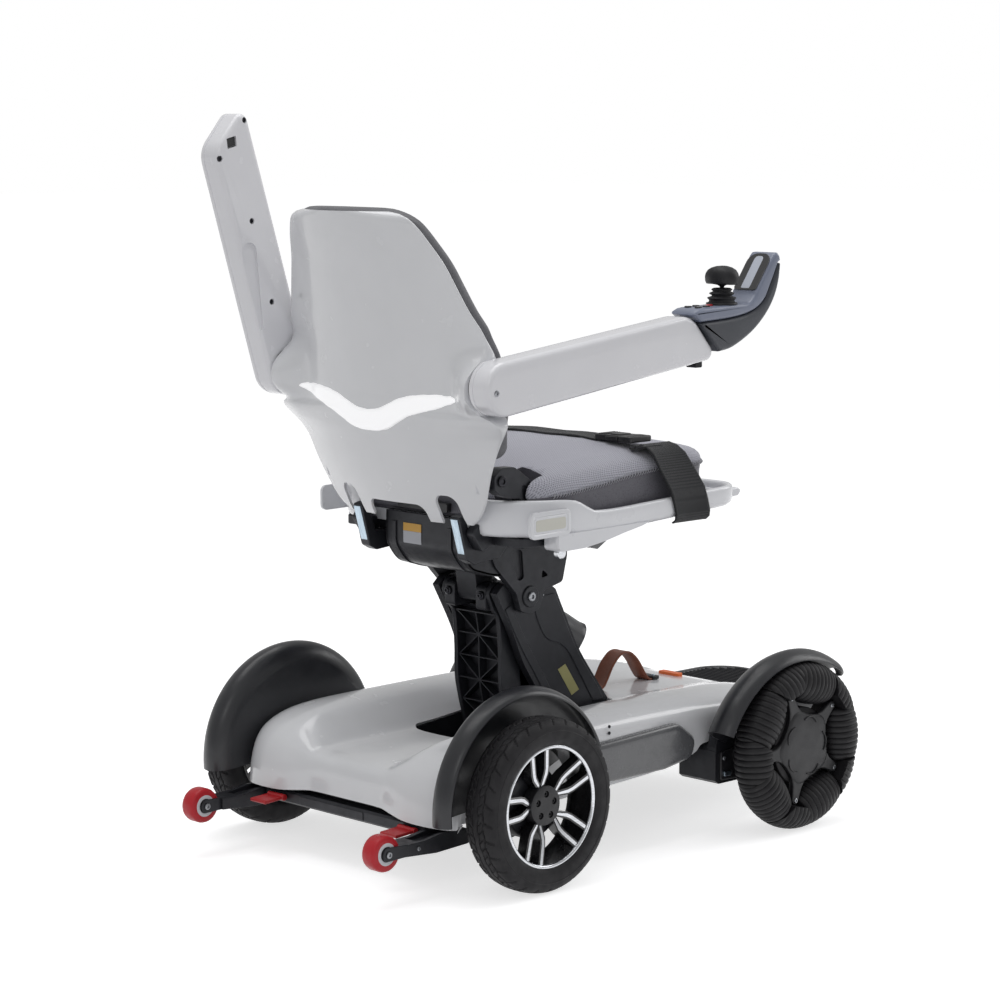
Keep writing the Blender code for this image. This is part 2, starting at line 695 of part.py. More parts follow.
def roller_drop(phase, half):
    """Return how far a row of rollers reaches below the wheel's axle."""
    drop = 0.0
    for angle in roller_angles(phase):
        for s in roller_stations(half):
            for k in range(ROLLER_SIDES):
                out = ROLLER_CIRCLE_R + roller_radius(s) * math.cos(2.0 * math.pi * k / ROLLER_SIDES)
                drop = max(drop, -(out * math.cos(angle) + s * math.sin(angle)))
    return drop


def roller_shape(half):
    """Return a roller with its axis along Y and its outer side up."""
    profile = [(-half, 0.0)]
    profile += [(s, roller_radius(s)) for s in roller_stations(half)]
    profile.append((half, 0.0))
    return turned(profile, "Y", (0.0, 0.0, 0.0), ROLLER_SIDES, math.pi / 2.0)


def trimmed(bm, point, normal):
    """Cut a closed mesh off on the side that the normal points to."""
    everything = list(bm.verts) + list(bm.edges) + list(bm.faces)
    bmesh.ops.bisect_plane(bm, geom=everything, plane_co=point, plane_no=normal, clear_outer=True)
    bmesh.ops.holes_fill(bm, edges=[edge for edge in bm.edges if edge.is_boundary], sides=0)
    return bm


def between_roller():
    """Return the short roller that fills the ring between two long ones."""
    half_step = math.radians(180.0 / ROLLERS)
    bm = roller_shape(BETWEEN_HALF)
    end = ROLLER_CIRCLE_R * math.tan(half_step) - (ROLLER_HALF + ROLLER_END_CLEAR) / math.cos(half_step)
    for way in (1.0, -1.0):
        trimmed(bm, (0.0, way * end, 0.0), (0.0, way * math.cos(half_step), -math.sin(half_step)))
    return outward(trimmed(bm, (0.0, 0.0, BETWEEN_LOW_R - ROLLER_CIRCLE_R), (0.0, 0.0, -1.0)))


def roller_matrix(x, angle):
    """Place a roller of the row at x on its wheel, measured from the wheel's axle."""
    out = Vector((x, -math.sin(angle) * ROLLER_CIRCLE_R, math.cos(angle) * ROLLER_CIRCLE_R))
    return Matrix.Translation(out) @ Matrix.Rotation(angle, 4, "X")


OMNI_Z = max(roller_drop(ROLLER_PHASE, ROLLER_HALF), roller_drop(BETWEEN_PHASE, BETWEEN_HALF))

# holders, one on each axis of motion

holder("chair", (0.0, 0.0, 0.0))
for SIDE, WORD in ((1.0, "left"), (-1.0, "right")):
    holder(f"drive_axle_{WORD}", (SIDE * DRIVE_X, 0.0, DRIVE_R), "chair")
    holder(f"omni_axle_{WORD}", (SIDE * OMNI_X, OMNI_Y, OMNI_Z), "chair")
    holder(f"anti_tip_axle_{WORD}", (SIDE * TIP_X, TIP_Y, TIP_Z), "chair")
    LEVER_Y = BAR_Y[1] + GAP + LEVER_KNUCKLE_R
    holder(f"freewheel_axis_{WORD}", (SIDE * sum(LEVER_X) / 2.0, LEVER_Y, LEVER_PIVOT_Z), "chair")
holder("footplate_axis", (0.0, PLATE_HINGE_Y, PLATE_Z[1]), "chair")
holder("leg_axis", (0.0, *LEG_FOOT), "chair")
holder("carrier_axis", (0.0, *LEG_HEAD), "leg_axis")
holder("strut_axis", (0.0, *STRUT_HEAD), "carrier_axis")
holder("seat_lever_axis", (sum(SEAT_LEVER_X) / 2.0, *SEAT_LEVER_PIVOT), "carrier_axis")
holder("back_axis", (0.0, *BACK_PIVOT), "carrier_axis")
holder("arm_axis_left", (ARM_X[0], *ARM_PIVOT), "back_axis")
holder("arm_axis_right", (-ARM_X[0], *ARM_PIVOT), "back_axis")
STICK_X = -(CONTROL_X[0] + CONTROL_X[1]) / 2.0
holder("stick_axis", (STICK_X, STICK_Y, STICK_Z), "arm_axis_right")


# body

def shell_row(row):
    """Return one row of the body shell, from the left foot to the right foot."""
    ridge_y, ridge_z, mid_y, mid_z, drawn_in, foot_y, foot_z = row
    half_w = SHELL_HALF_W - drawn_in
    index = SHELL_ROWS.index(row)
    before = SHELL_ROWS[max(index - 1, 0)]
    after = SHELL_ROWS[min(index + 1, len(SHELL_ROWS) - 1)]
    along = Vector((after[0] - before[0], after[1] - before[1])).normalized()
    inward = Vector((along.y, -along.x)) * -1.0
    ridge = Vector((ridge_y, ridge_z))
    middle = Vector((mid_y, mid_z))
    foot = Vector((foot_y, foot_z))
    ridge_x = half_w - SHOULDER_IN[0]
    valley_x = min(VALLEY_HALF_W, ridge_x - 0.012)
    valley = middle + (ridge - middle) * 0.22
    haunch = middle + (ridge - middle) * 0.72
    half = [(0.0, middle), (valley_x, valley), ((valley_x + ridge_x) / 2.0, haunch)]
    for into, down in zip(SHOULDER_IN, SHOULDER_DOWN):
        half.append((half_w - into, ridge + inward * down))
    half.append((half_w, half[-1][1] + (foot - half[-1][1]) * 0.30))
    half.append((half_w, foot))
    left = [(x, place.x, place.y) for x, place in reversed(half)]
    right = [(-x, place.x, place.y) for x, place in half[1:]]
    return left + right


def shell_top(y):
    """Return the height of the body shell's middle line."""
    return between([(row[2], row[3]) for row in SHELL_ROWS[5:16]], y)


def build_body():
    shell = sheet("body_shell", [shell_row(row) for row in SHELL_ROWS], SHELL_WALL, WHITE)
    cut(shell, box((-SLOT_HALF_W, SLOT_HALF_W), SLOT_Y, SLOT_Z))
    outline = rounded(PANEL_OUTLINE)
    face = SHELL_HALF_W + GAP
    for side, word in ((1.0, "left"), (-1.0, "right")):
        low, high = span(side, face, face + PANEL_THICK)
        piece(f"side_panel_{word}", edged(outline, "X", low, high, PANEL_EDGE), PANEL_GREY)
    rings = []
    for i, (y, rise) in enumerate(STRAP_PATH):
        last = STRAP_PATH[max(i - 1, 0)]
        after = STRAP_PATH[min(i + 1, len(STRAP_PATH) - 1)]
        along = Vector((after[0] - last[0], after[1] - last[1])).normalized()
        up = Vector((along.y, -along.x)) * STRAP_THICK
        z = shell_top(y) + STRAP_LIFT + rise
        rings.append([(-STRAP_HALF_W, y, z), (STRAP_HALF_W, y, z),
                      (STRAP_HALF_W, y + up.x, z + up.y), (-STRAP_HALF_W, y + up.x, z + up.y)])
    piece("carry_strap", loft(rings), LEATHER)


# chassis

def build_chassis():
    pan = piece("chassis_frame", box((-PAN_HALF_W, PAN_HALF_W), PAN_Y, PAN_Z), CASTING)
    post_x = SHELL_HALF_W - SHELL_WALL - GAP
    join(pan, box((-post_x, post_x), (-POST_HALF_Y, POST_HALF_Y), FRONT_BEAM_Z))
    join(pan, both_sides(lambda side: box(span(side, PAN_HALF_W - 0.010, post_x), (-POST_HALF_Y, POST_HALF_Y),
                                          (PAN_Z[0] + THROUGH, POST_TOP_Z))))
    beam_x = FRONT_BLOCK_X[0] + THROUGH
    join(pan, box((-beam_x, beam_x), FRONT_BEAM_Y, FRONT_BEAM_Z))
    join(pan, both_sides(lambda side: prism(FRONT_BLOCK, "X", *span(side, *FRONT_BLOCK_X))))
    join(pan, both_sides(lambda side: prism(AXLE_PLATE, "X", *span(side, *AXLE_PLATE_X))))
    join(pan, box((-PAN_HALF_W, PAN_HALF_W), (LIP_Y, PAN_Y[1]), (LIP_Z, PAN_Z[0] + THROUGH)))
    axle_x = (AXLE_PLATE_X[0] + THROUGH, FRONT_AXLE_END_X)
    join(pan, both_sides(lambda side: across((OMNI_Y, OMNI_Z), FRONT_AXLE_R, *span(side, *axle_x))))
    base_z = PAN_Z[1] - THROUGH
    ring = arc(LEG_FOOT, BRACKET_R, 150.0, 30.0, 8)
    bracket = [(BRACKET_BASE_Y[0], base_z)] + ring + [(BRACKET_BASE_Y[1], base_z)]
    join(pan, both_sides(lambda side: prism(bracket, "X", *span(side, *BRACKET_X))))
    join(pan, both_sides(lambda side: box(span(side, *RAIL_X), RAIL_Y, (base_z, RAIL_TOP_Z))))
    hinge = (PLATE_HINGE_Y, PLATE_Z[1])
    tongue = [(PAN_Y[0] + 0.020, PAN_Z[1] - THROUGH), (PAN_Y[0] + 0.020, TONGUE_Z[0]),
              (PLATE_HINGE_Y - 0.004, TONGUE_Z[0]), (PLATE_HINGE_Y - PLATE_KNUCKLE_R, TONGUE_Z[0] + 0.006)]
    tongue += arc(hinge, PLATE_KNUCKLE_R, 180.0, 0.0, 8)
    tongue += [(PLATE_HINGE_Y + PLATE_KNUCKLE_R, TONGUE_Z[1]), (PAN_Y[0], TONGUE_Z[1]),
               (PAN_Y[0], PAN_Z[1] - THROUGH)]
    join(pan, prism(tongue, "X", -TONGUE_HALF_W, TONGUE_HALF_W))
    shaft_bore = LEG_SHAFT_R + RUNNING
    cut(pan, both_sides(lambda side: across(LEG_FOOT, shaft_bore, *span(side, BRACKET_X[0] - THROUGH,
                                                                        BRACKET_X[1] + THROUGH))))
    piece("rear_bar", edged(((-BAR_HALF_W, BAR_Z[0]), (BAR_HALF_W, BAR_Z[0]), (BAR_HALF_W, BAR_Z[1]),
                             (-BAR_HALF_W, BAR_Z[1])), "Y", BAR_Y[0], BAR_Y[1], 0.003), CASTING)
    floor = PAN_Z[1] + GAP
    battery = [(-BATTERY_HALF_W, BATTERY_Y[0]), (BATTERY_HALF_W, BATTERY_Y[0]),
               (BATTERY_HALF_W, BATTERY_Y[1]), (-BATTERY_HALF_W, BATTERY_Y[1])]
    piece("battery_pack", edged(battery, "Z", floor, BATTERY_TOP_Z, BOX_EDGE), CASTING)
    module = [(-MODULE_HALF_W, MODULE_Y[0]), (MODULE_HALF_W, MODULE_Y[0]),
              (MODULE_HALF_W, MODULE_Y[1]), (-MODULE_HALF_W, MODULE_Y[1])]
    piece("control_module", edged(module, "Z", floor, MODULE_TOP_Z, BOX_EDGE), CASTING)
    piece("fold_motor", across(LEG_FOOT, FOLD_MOTOR_R, *FOLD_MOTOR_X, 24), CASTING)


def build_anti_tip():
    for side, word in ((1.0, "left"), (-1.0, "right")):
        axle = (TIP_Y, TIP_Z)
        wheel_x = span(side, TIP_X - TIP_HALF_W, TIP_X + TIP_HALF_W)
        profile = ((wheel_x[0], TIP_BORE_R), (wheel_x[0], TIP_R - 0.005), (wheel_x[0] + 0.004, TIP_R),
                   (wheel_x[1] - 0.004, TIP_R), (wheel_x[1], TIP_R - 0.005), (wheel_x[1], TIP_BORE_R))
        wheel = turned(profile, "X", (0.0, TIP_Y, TIP_Z), 24)
        piece(f"anti_tip_wheel_{word}", wheel, RED, f"anti_tip_axle_{word}")
        inner = TIP_HALF_W + TIP_FORK_CLEAR
        outer = inner + TIP_FORK_WALL
        beam_x = span(side, BAR_HALF_W + GAP, TIP_X + outer)
        arm = piece(f"anti_tip_arm_{word}", prism(TIP_BEAM, "X", *beam_x), CASTING)
        tine = [(TIP_BEAM[3][0] - THROUGH, TIP_BEAM[3][1]), (TIP_BEAM[4][0] - THROUGH, TIP_BEAM[4][1])]
        tine += arc(axle, TIP_TINE_R, -90.0, 90.0, 8)
        join(arm, combined(prism(tine, "X", *span(side, TIP_X + inner, TIP_X + outer)),
                           prism(tine, "X", *span(side, TIP_X - outer, TIP_X - inner))))
        join(arm, across(axle, TIP_PIN_R, side * TIP_X - outer + 0.001, side * TIP_X + outer - 0.001, 12))
        lever_z = LEVER_PIVOT_Z
        lever = [(LEVER_Y, lever_z + LEVER_THICK / 2.0), (LEVER_Y, lever_z - LEVER_THICK / 2.0),
                 (LEVER_Y + LEVER_LENGTH, lever_z - LEVER_THICK / 2.0 - 0.002),
                 (LEVER_Y + LEVER_LENGTH, lever_z + LEVER_THICK / 2.0 - 0.002)]
        low, high = span(side, *LEVER_X)
        handle = piece(f"freewheel_lever_{word}", prism(lever, "X", low, high), RED, f"freewheel_axis_{word}")
        join(handle, across((LEVER_Y, lever_z), LEVER_KNUCKLE_R, low - 0.001, high + 0.001, 16))


def build_footplate():
    low_y, high_y = PLATE_Y
    outline = rounded(((-PLATE_HALF_W, high_y, 0.012), (PLATE_HALF_W, high_y, 0.012),
                       (PLATE_HALF_W, low_y, PLATE_CORNER), (-PLATE_HALF_W, low_y, PLATE_CORNER)), 5)
    plate = piece("footplate", edged(outline, "Z", *PLATE_Z, PLATE_EDGE), FENDER_BLACK, "footplate_axis")
    hinge = (PLATE_HINGE_Y, PLATE_Z[1])
    arm = [(high_y - 0.010, PLATE_Z[0] + 0.004), (high_y - 0.010, PLATE_Z[1] - 0.003)]
    arm += arc(hinge, PLATE_KNUCKLE_R, 150.0, -90.0, 10)
    join(plate, both_sides(lambda side: prism(arm, "X", *span(side, *PLATE_KNUCKLE_X))))


# wheels

def build_drive_wheels():
    for side, word in ((1.0, "left"), (-1.0, "right")):
        centre = (side * DRIVE_X, 0.0, DRIVE_R)
        on = f"drive_axle_{word}"
        facet = math.cos(math.pi / TYRE_SEGMENTS)
        half = TYRE_W / 2.0
        section = ((-0.84 * half, RIM_R), (-half, RIM_R + 0.014), (-0.93 * half, DRIVE_R - 0.008),
                   (-0.62 * half, DRIVE_R - 0.0015), (-0.28 * half, DRIVE_R / facet))
        ring = list(section) + [(-along, radius) for along, radius in reversed(section)]
        tyre = turned(ring, "X", centre, TYRE_SEGMENTS, math.pi / TYRE_SEGMENTS)
        piece(f"drive_tyre_{word}", tyre, TYRE, on)
        seat_r = RIM_R * facet - GAP
        barrel = ((-RIM_HALF_W, RIM_LIP_R), (-RIM_HALF_W, seat_r), (RIM_HALF_W, seat_r),
                  (RIM_HALF_W, RIM_LIP_R))
        rim = piece(f"drive_rim_{word}", turned(barrel, "X", centre, TYRE_SEGMENTS), RIM, on)
        axle = (0.0, DRIVE_R)
        join(rim, across(axle, RIM_HUB_R, *span(side, *RIM_HUB_X), 24))
        join(rim, combined(*[spoke(side, pair, way) for pair in range(SPOKE_PAIRS) for way in (1.0, -1.0)]))
        bore_x = span(side, RIM_HUB_X[0] - THROUGH, RIM_HUB_X[1] - 0.006)
        cut(rim, across(axle, SHAFT_R + RUNNING, *bore_x, 16))
        wall_x = SHELL_HALF_W + REAR_FENDER_PATH[-1][0] + FENDER_WALL
        can = across(axle, MOTOR_R, *span(side, wall_x + GAP, MOTOR_END_X), 28)
        motor = piece(f"drive_motor_{word}", can, CASTING)
        join(motor, across(axle, SHAFT_R, *span(side, MOTOR_END_X - 0.010, RIM_HUB_X[1] - 0.007), 16))


def spoke(side, pair, way):
    """Return one kinked spoke; way is which of the pair it is."""
    middle = 90.0 + 360.0 / SPOKE_PAIRS * pair - 14.0
    path = [arc((0.0, DRIVE_R), radius, middle + way * off, middle + way * off, 1)[0]
            for radius, off in SPOKE_PATH]
    left = []
    right = []
    for i, point in enumerate(path):
        last = Vector(path[max(i - 1, 0)])
        after = Vector(path[min(i + 1, len(path) - 1)])
        along = (after - last).normalized()
        out = Vector((-along.y, along.x)) * SPOKE_HALF_W
        left.append(tuple(Vector(point) + out))
        right.append(tuple(Vector(point) - out))
    return prism(left + right[::-1], "X", *span(side, *SPOKE_X))


def build_omni_wheels():
    for side, word in ((1.0, "left"), (-1.0, "right")):
        on = f"omni_axle_{word}"
        axle = Vector((0.0, OMNI_Y, OMNI_Z))
        profile = [(side * HUB_X[0], 0.0), (side * HUB_X[0], HUB_CORE_R), (side * HUB_X[1], HUB_CORE_R),
                   (side * HUB_X[1], 0.0)]
        hub = piece(f"omni_hub_{word}", turned(profile, "X", axle, 40), RUBBER, on)
        rollers = []
        for angle in roller_angles(BETWEEN_PHASE):
            bm = between_roller()
            bm.transform(Matrix.Translation(axle) @ roller_matrix(side * OMNI_X, angle))
            rollers.append(bm)
        join(hub, combined(*rollers))
        join(hub, prism(star_outline(), "X", *span(side, *STAR_X)))
        join(hub, combined(*[roller_post(side, angle) for angle in roller_angles(BETWEEN_PHASE)]))
        bore = (HUB_X[0] - THROUGH, FRONT_AXLE_END_X + 0.002)
        cut(hub, across((OMNI_Y, OMNI_Z), FRONT_AXLE_R + RUNNING, *span(side, *bore)))
        for number, angle in enumerate(roller_angles(ROLLER_PHASE), 1):
            name = f"omni_roller_{word}_{number}"
            roller = piece(name, roller_shape(ROLLER_HALF), RUBBER)
            roller.parent = HOLDERS[on]
            roller.matrix_local = roller_matrix(0.0, angle)


def star_outline():
    """Return the star plate's outline: five arms on a round middle."""
    points = []
    for angle in roller_angles(BETWEEN_PHASE):
        for off, radius in ((-20.0, 0.048), (-8.5, 0.060), (None, STAR_TIP_R), (8.5, 0.060), (20.0, 0.048)):
            if off is None:
                out = Vector((-math.sin(angle), math.cos(angle)))
                over = Vector((-math.cos(angle), -math.sin(angle)))
                for way, far in ((-1.0, radius - 0.004), (-0.55, radius), (0.55, radius),
                                 (1.0, radius - 0.004)):
                    tip = Vector((OMNI_Y, OMNI_Z)) + out * far + over * (way * STAR_HALF_W)
                    points.append(tuple(tip))
            else:
                turn = angle + math.radians(off)
                points.append((OMNI_Y - radius * math.sin(turn), OMNI_Z + radius * math.cos(turn)))
    return points


def roller_post(side, angle):
    """Return the wedge that stands between two long rollers and holds their ends."""
    half_step = math.radians(180.0 / ROLLERS)
    outline = []
    for way, radii in ((1.0, POST_R), (-1.0, POST_R[::-1])):
        for radius in radii:
            reach = (ROLLER_HALF + ROLLER_END_CLEAR) / math.cos(half_step)
            sideways = max(POST_FOOT_HALF_W, radius * math.tan(half_step) - reach)
            out = Vector((-math.sin(angle), math.cos(angle))) * radius
            over = Vector((-math.cos(angle), -math.sin(angle))) * (way * sideways)
            outline.append(tuple(Vector((OMNI_Y, OMNI_Z)) + out + over))
    low, high = span(side, OMNI_X - 0.012, STAR_X[0] + 0.004)
    return prism(outline, "X", low, high)


def walled(path, wall):
    """Thicken an open path to its left into a closed section."""
    inner = []
    for i, point in enumerate(path):
        here = Vector(point)
        before = (here - Vector(path[i - 1])).normalized() if i else None
        after = (Vector(path[i + 1]) - here).normalized() if i < len(path) - 1 else before
        before = before or after
        normal = Vector((-before.y - after.y, before.x + after.x)).normalized()
        inner.append(tuple(here + normal * (wall / normal.dot(Vector((-before.y, before.x))))))
    return list(path) + inner[::-1]


def build_fenders():
    for side, word in ((1.0, "left"), (-1.0, "right")):
        path = [(SHELL_HALF_W + off, radius) for off, radius in REAR_FENDER_PATH]
        arch = swept(side, walled(path, FENDER_WALL), (0.0, DRIVE_R), REAR_FENDER_ARC, 16)
        fender = piece(f"rear_fender_{word}", arch, FENDER_BLACK)
        low_x = path[-1][0]
        join(fender, across((0.0, DRIVE_R), FENDER_DISC_R, *span(side, low_x, low_x + FENDER_WALL), 28))
        path = [(AXLE_PLATE_X[1] + off, radius) for off, radius in FRONT_FENDER_PATH]
        arch = swept(side, walled(path, FENDER_WALL), FRONT_FENDER_MIDDLE, FRONT_FENDER_ARC, 12)
        piece(f"front_fender_{word}", arch, FENDER_BLACK)


def swept(side, section, centre, degrees, steps):
    """Sweep an (x, radius) section along an arc that runs from the rear over the top."""
    rings = []
    for i in range(steps + 1):
        angle = math.radians(degrees[0] + (degrees[1] - degrees[0]) * i / steps)
        rings.append([(side * x, centre[0] + radius * math.cos(angle), centre[1] + radius * math.sin(angle))
                      for x, radius in section])
    return loft(rings)


# folding column

def build_leg():
    outline = list(LEG_REAR) + list(LEG_BOTTOM) + list(LEG_FRONT) + list(LEG_TOP)
    leg = piece("front_leg", prism(outline, "X", -LEG_HALF_W, LEG_HALF_W), CASTING, "leg_axis")
    inner = LEG_HALF_W - LEG_CHEEK
    shift = LEG_WEB * 1.15
    hollow = [(LEG_BOTTOM[1][0] + 0.012, LEG_BOTTOM[1][1] - 0.02), (LEG_FRONT[0][0] + shift + 0.008, 0.180)]
    hollow += [(y + shift, z) for y, z in LEG_FRONT[1:]] + [(LEG_TOP[0][0] + 0.004, LEG_TOP[0][1] + 0.02)]
    hollow += [(-0.100, 0.390), (-0.100, 0.110)]
    cut(leg, prism(hollow, "X", -inner, inner))
    join(leg, across(LEG_FOOT, LEG_SHAFT_R, -BRACKET_X[1] + 0.0005, BRACKET_X[1] - 0.0005, 24))
    bore = HEAD_PIN_R + RUNNING
    bore_x = (inner - THROUGH, LEG_HALF_W + THROUGH)
    cut(leg, both_sides(lambda side: across(LEG_HEAD, bore, *span(side, *bore_x))))


def strut_line(z, side_points):
    """Read a strut edge's y at a height."""
    return between([(height, y) for y, height in side_points], z)


def build_strut():
    front = [point for point in STRUT_FRONT[1:-1]]
    rear = [point for point in STRUT_REAR[1:-1]]
    outline = arc(STRUT_HEAD, STRUT_HEAD_R, 180.0, 0.0, 10) + rear
    outline += arc(STRUT_FOOT, STRUT_FOOT_R, 10.0, -190.0, 12) + front
    strut = piece("rear_strut", prism(outline, "X", -STRUT_HALF_W, STRUT_HALF_W), CASTING, "strut_axis")
    slot_low = STRUT_HEAD[1] - STRUT_SLOT_DEPTH
    slot_half = TONGUE_HALF + RUNNING
    cut(strut, box((-slot_half, slot_half), (-0.200, -0.080), (slot_low, 0.400)))
    join(strut, across(STRUT_HEAD, STRUT_PIN_R, -slot_half - 0.004, slot_half + 0.004, 16))
    pockets = []
    step = (LATTICE_Z[1] - LATTICE_Z[0]) / LATTICE_CELLS
    width = STRUT_HALF_W - LATTICE_MARGIN
    for row in range(LATTICE_CELLS):
        low = LATTICE_Z[0] + step * row + RIB_HALF / 2.0
        high = low + step - RIB_HALF
        for left, right in ((-width, -RIB_HALF / 2.0), (RIB_HALF / 2.0, width)):
            ends = ((low, high), (high, low))[(row + (left < -RIB_HALF)) % 2]
            slope = RIB_HALF * 0.8
            pockets.append(pocket(((left, ends[0]), (right - slope * 2.0, ends[0]), (left, ends[1]))))
            pockets.append(pocket(((right, ends[1]), (left + slope * 2.0, ends[1]), (right, ends[0]))))
    cut(strut, combined(*pockets))


def pocket(corners):
    """Return a cutter that reaches into the strut's rear up to its middle."""
    deep = []
    out = []
    for x, z in corners:
        middle = (strut_line(z, STRUT_REAR) + strut_line(z, STRUT_FRONT)) / 2.0
        deep.append((x, middle, z))
        out.append((x, -0.090, z))
    return loft([deep, out])


def build_carrier():
    plate = box((-SEAT_PLATE_HALF_W, SEAT_PLATE_HALF_W), SEAT_PLATE_Y, SEAT_PLATE_Z)
    carrier = piece("seat_carrier", plate, CASTING, "carrier_axis")
    wing = (SEAT_PLATE_Z[0], SEAT_PLATE_Z[1])
    join(carrier, box((-SEAT_BEAM_HALF_W, SEAT_BEAM_HALF_W), SEAT_BEAM_Y, wing))
    join(carrier, both_sides(lambda side: prism(LUG_OUTLINE, "X", *span(side, *LUG_X))))
    join(carrier, prism(TONGUE_OUTLINE, "X", -TONGUE_HALF, TONGUE_HALF))
    inner = inset(list(PAN_SHELL) + [(-0.128, 0.440), (-0.060, 0.440), (-0.060, 0.470)], PAN_SHELL_WALL)
    wall = list(PAN_SHELL) + [inner[4], inner[3], inner[2], inner[1], (inner[0][0], PAN_SHELL[0][1])]
    join(carrier, prism(wall, "X", -PAN_SHELL_HALF_W, PAN_SHELL_HALF_W))
    gusset = list(PAN_SHELL)
    gusset += [(-0.128, 0.440), (-0.058, 0.440), (-0.0545, 0.4515), (-0.052, PAN_SHELL[0][1])]
    gusset_x = (PAN_SHELL_HALF_W - GUSSET_WALL, PAN_SHELL_HALF_W)
    join(carrier, both_sides(lambda side: prism(gusset, "X", *span(side, *gusset_x))))
    join(carrier, both_sides(lambda side: prism(HOOK_OUTLINE, "X", *span(side, *HOOK_X))))
    join(carrier, both_sides(lambda side: prism(TOWER_OUTLINE, "X", *span(side, *TOWER_X))))
    pin_in = LEG_HALF_W - LEG_CHEEK + 0.001
    pin_x = (pin_in, LUG_X[0] + 0.004)
    join(carrier, both_sides(lambda side: across(LEG_HEAD, HEAD_PIN_R, *span(side, *pin_x))))
    join(carrier, both_sides(lambda side: across(BACK_PIVOT, EAR_PIN_R, *span(side, EAR_X[0] + 0.001,
                                                                              TOWER_X[0] + 0.004), 16)))
    cut(carrier, across(STRUT_HEAD, STRUT_PIN_R + RUNNING, -TONGUE_HALF - THROUGH, TONGUE_HALF + THROUGH))


# seat

def cushion_edge(y):
    """Return the height where the cushion's top meets its side."""
    return between(CUSHION_TOP, y)


def seat_plan(half_w, low, high, front_corner, rear_corner):
    """Return a seat outline, six points to a corner, from its left rear corner on."""
    return rounded(((half_w, high, rear_corner), (-half_w, high, rear_corner),
                    (-half_w, low, front_corner), (half_w, low, front_corner)), 5)


def cushion_outline(shrink):
    """Return the cushion's plan outline drawn in by a distance."""
    half_w = CUSHION_HALF_W - shrink
    share = half_w / CUSHION_HALF_W
    corners = seat_plan(half_w, CUSHION_Y[0] + shrink, CUSHION_Y[1] - shrink, CUSHION_CORNER * share,
                        CUSHION_REAR_CORNER * share)
    side_steps = CUSHION_SIDES // 4 - 5
    points = []
    for i in range(0, len(corners), 6):
        points += corners[i:i + 6]
        last = Vector(points[-1])
        following = Vector(corners[(i + 6) % len(corners)])
        for k in range(1, side_steps):
            points.append(tuple(last.lerp(following, k / side_steps)))
    return points


def cushion_height(x, y):
    """Return the height of the cushion's crowned top."""
    middle_y = sum(CUSHION_Y) / 2.0
    half_y = (CUSHION_Y[1] - CUSHION_Y[0]) / 2.0
    share = max(abs(x) / CUSHION_HALF_W, abs(y - middle_y) / half_y)
    return cushion_edge(y) + CUSHION_CROWN * (1.0 - min(1.0, share) ** 3)


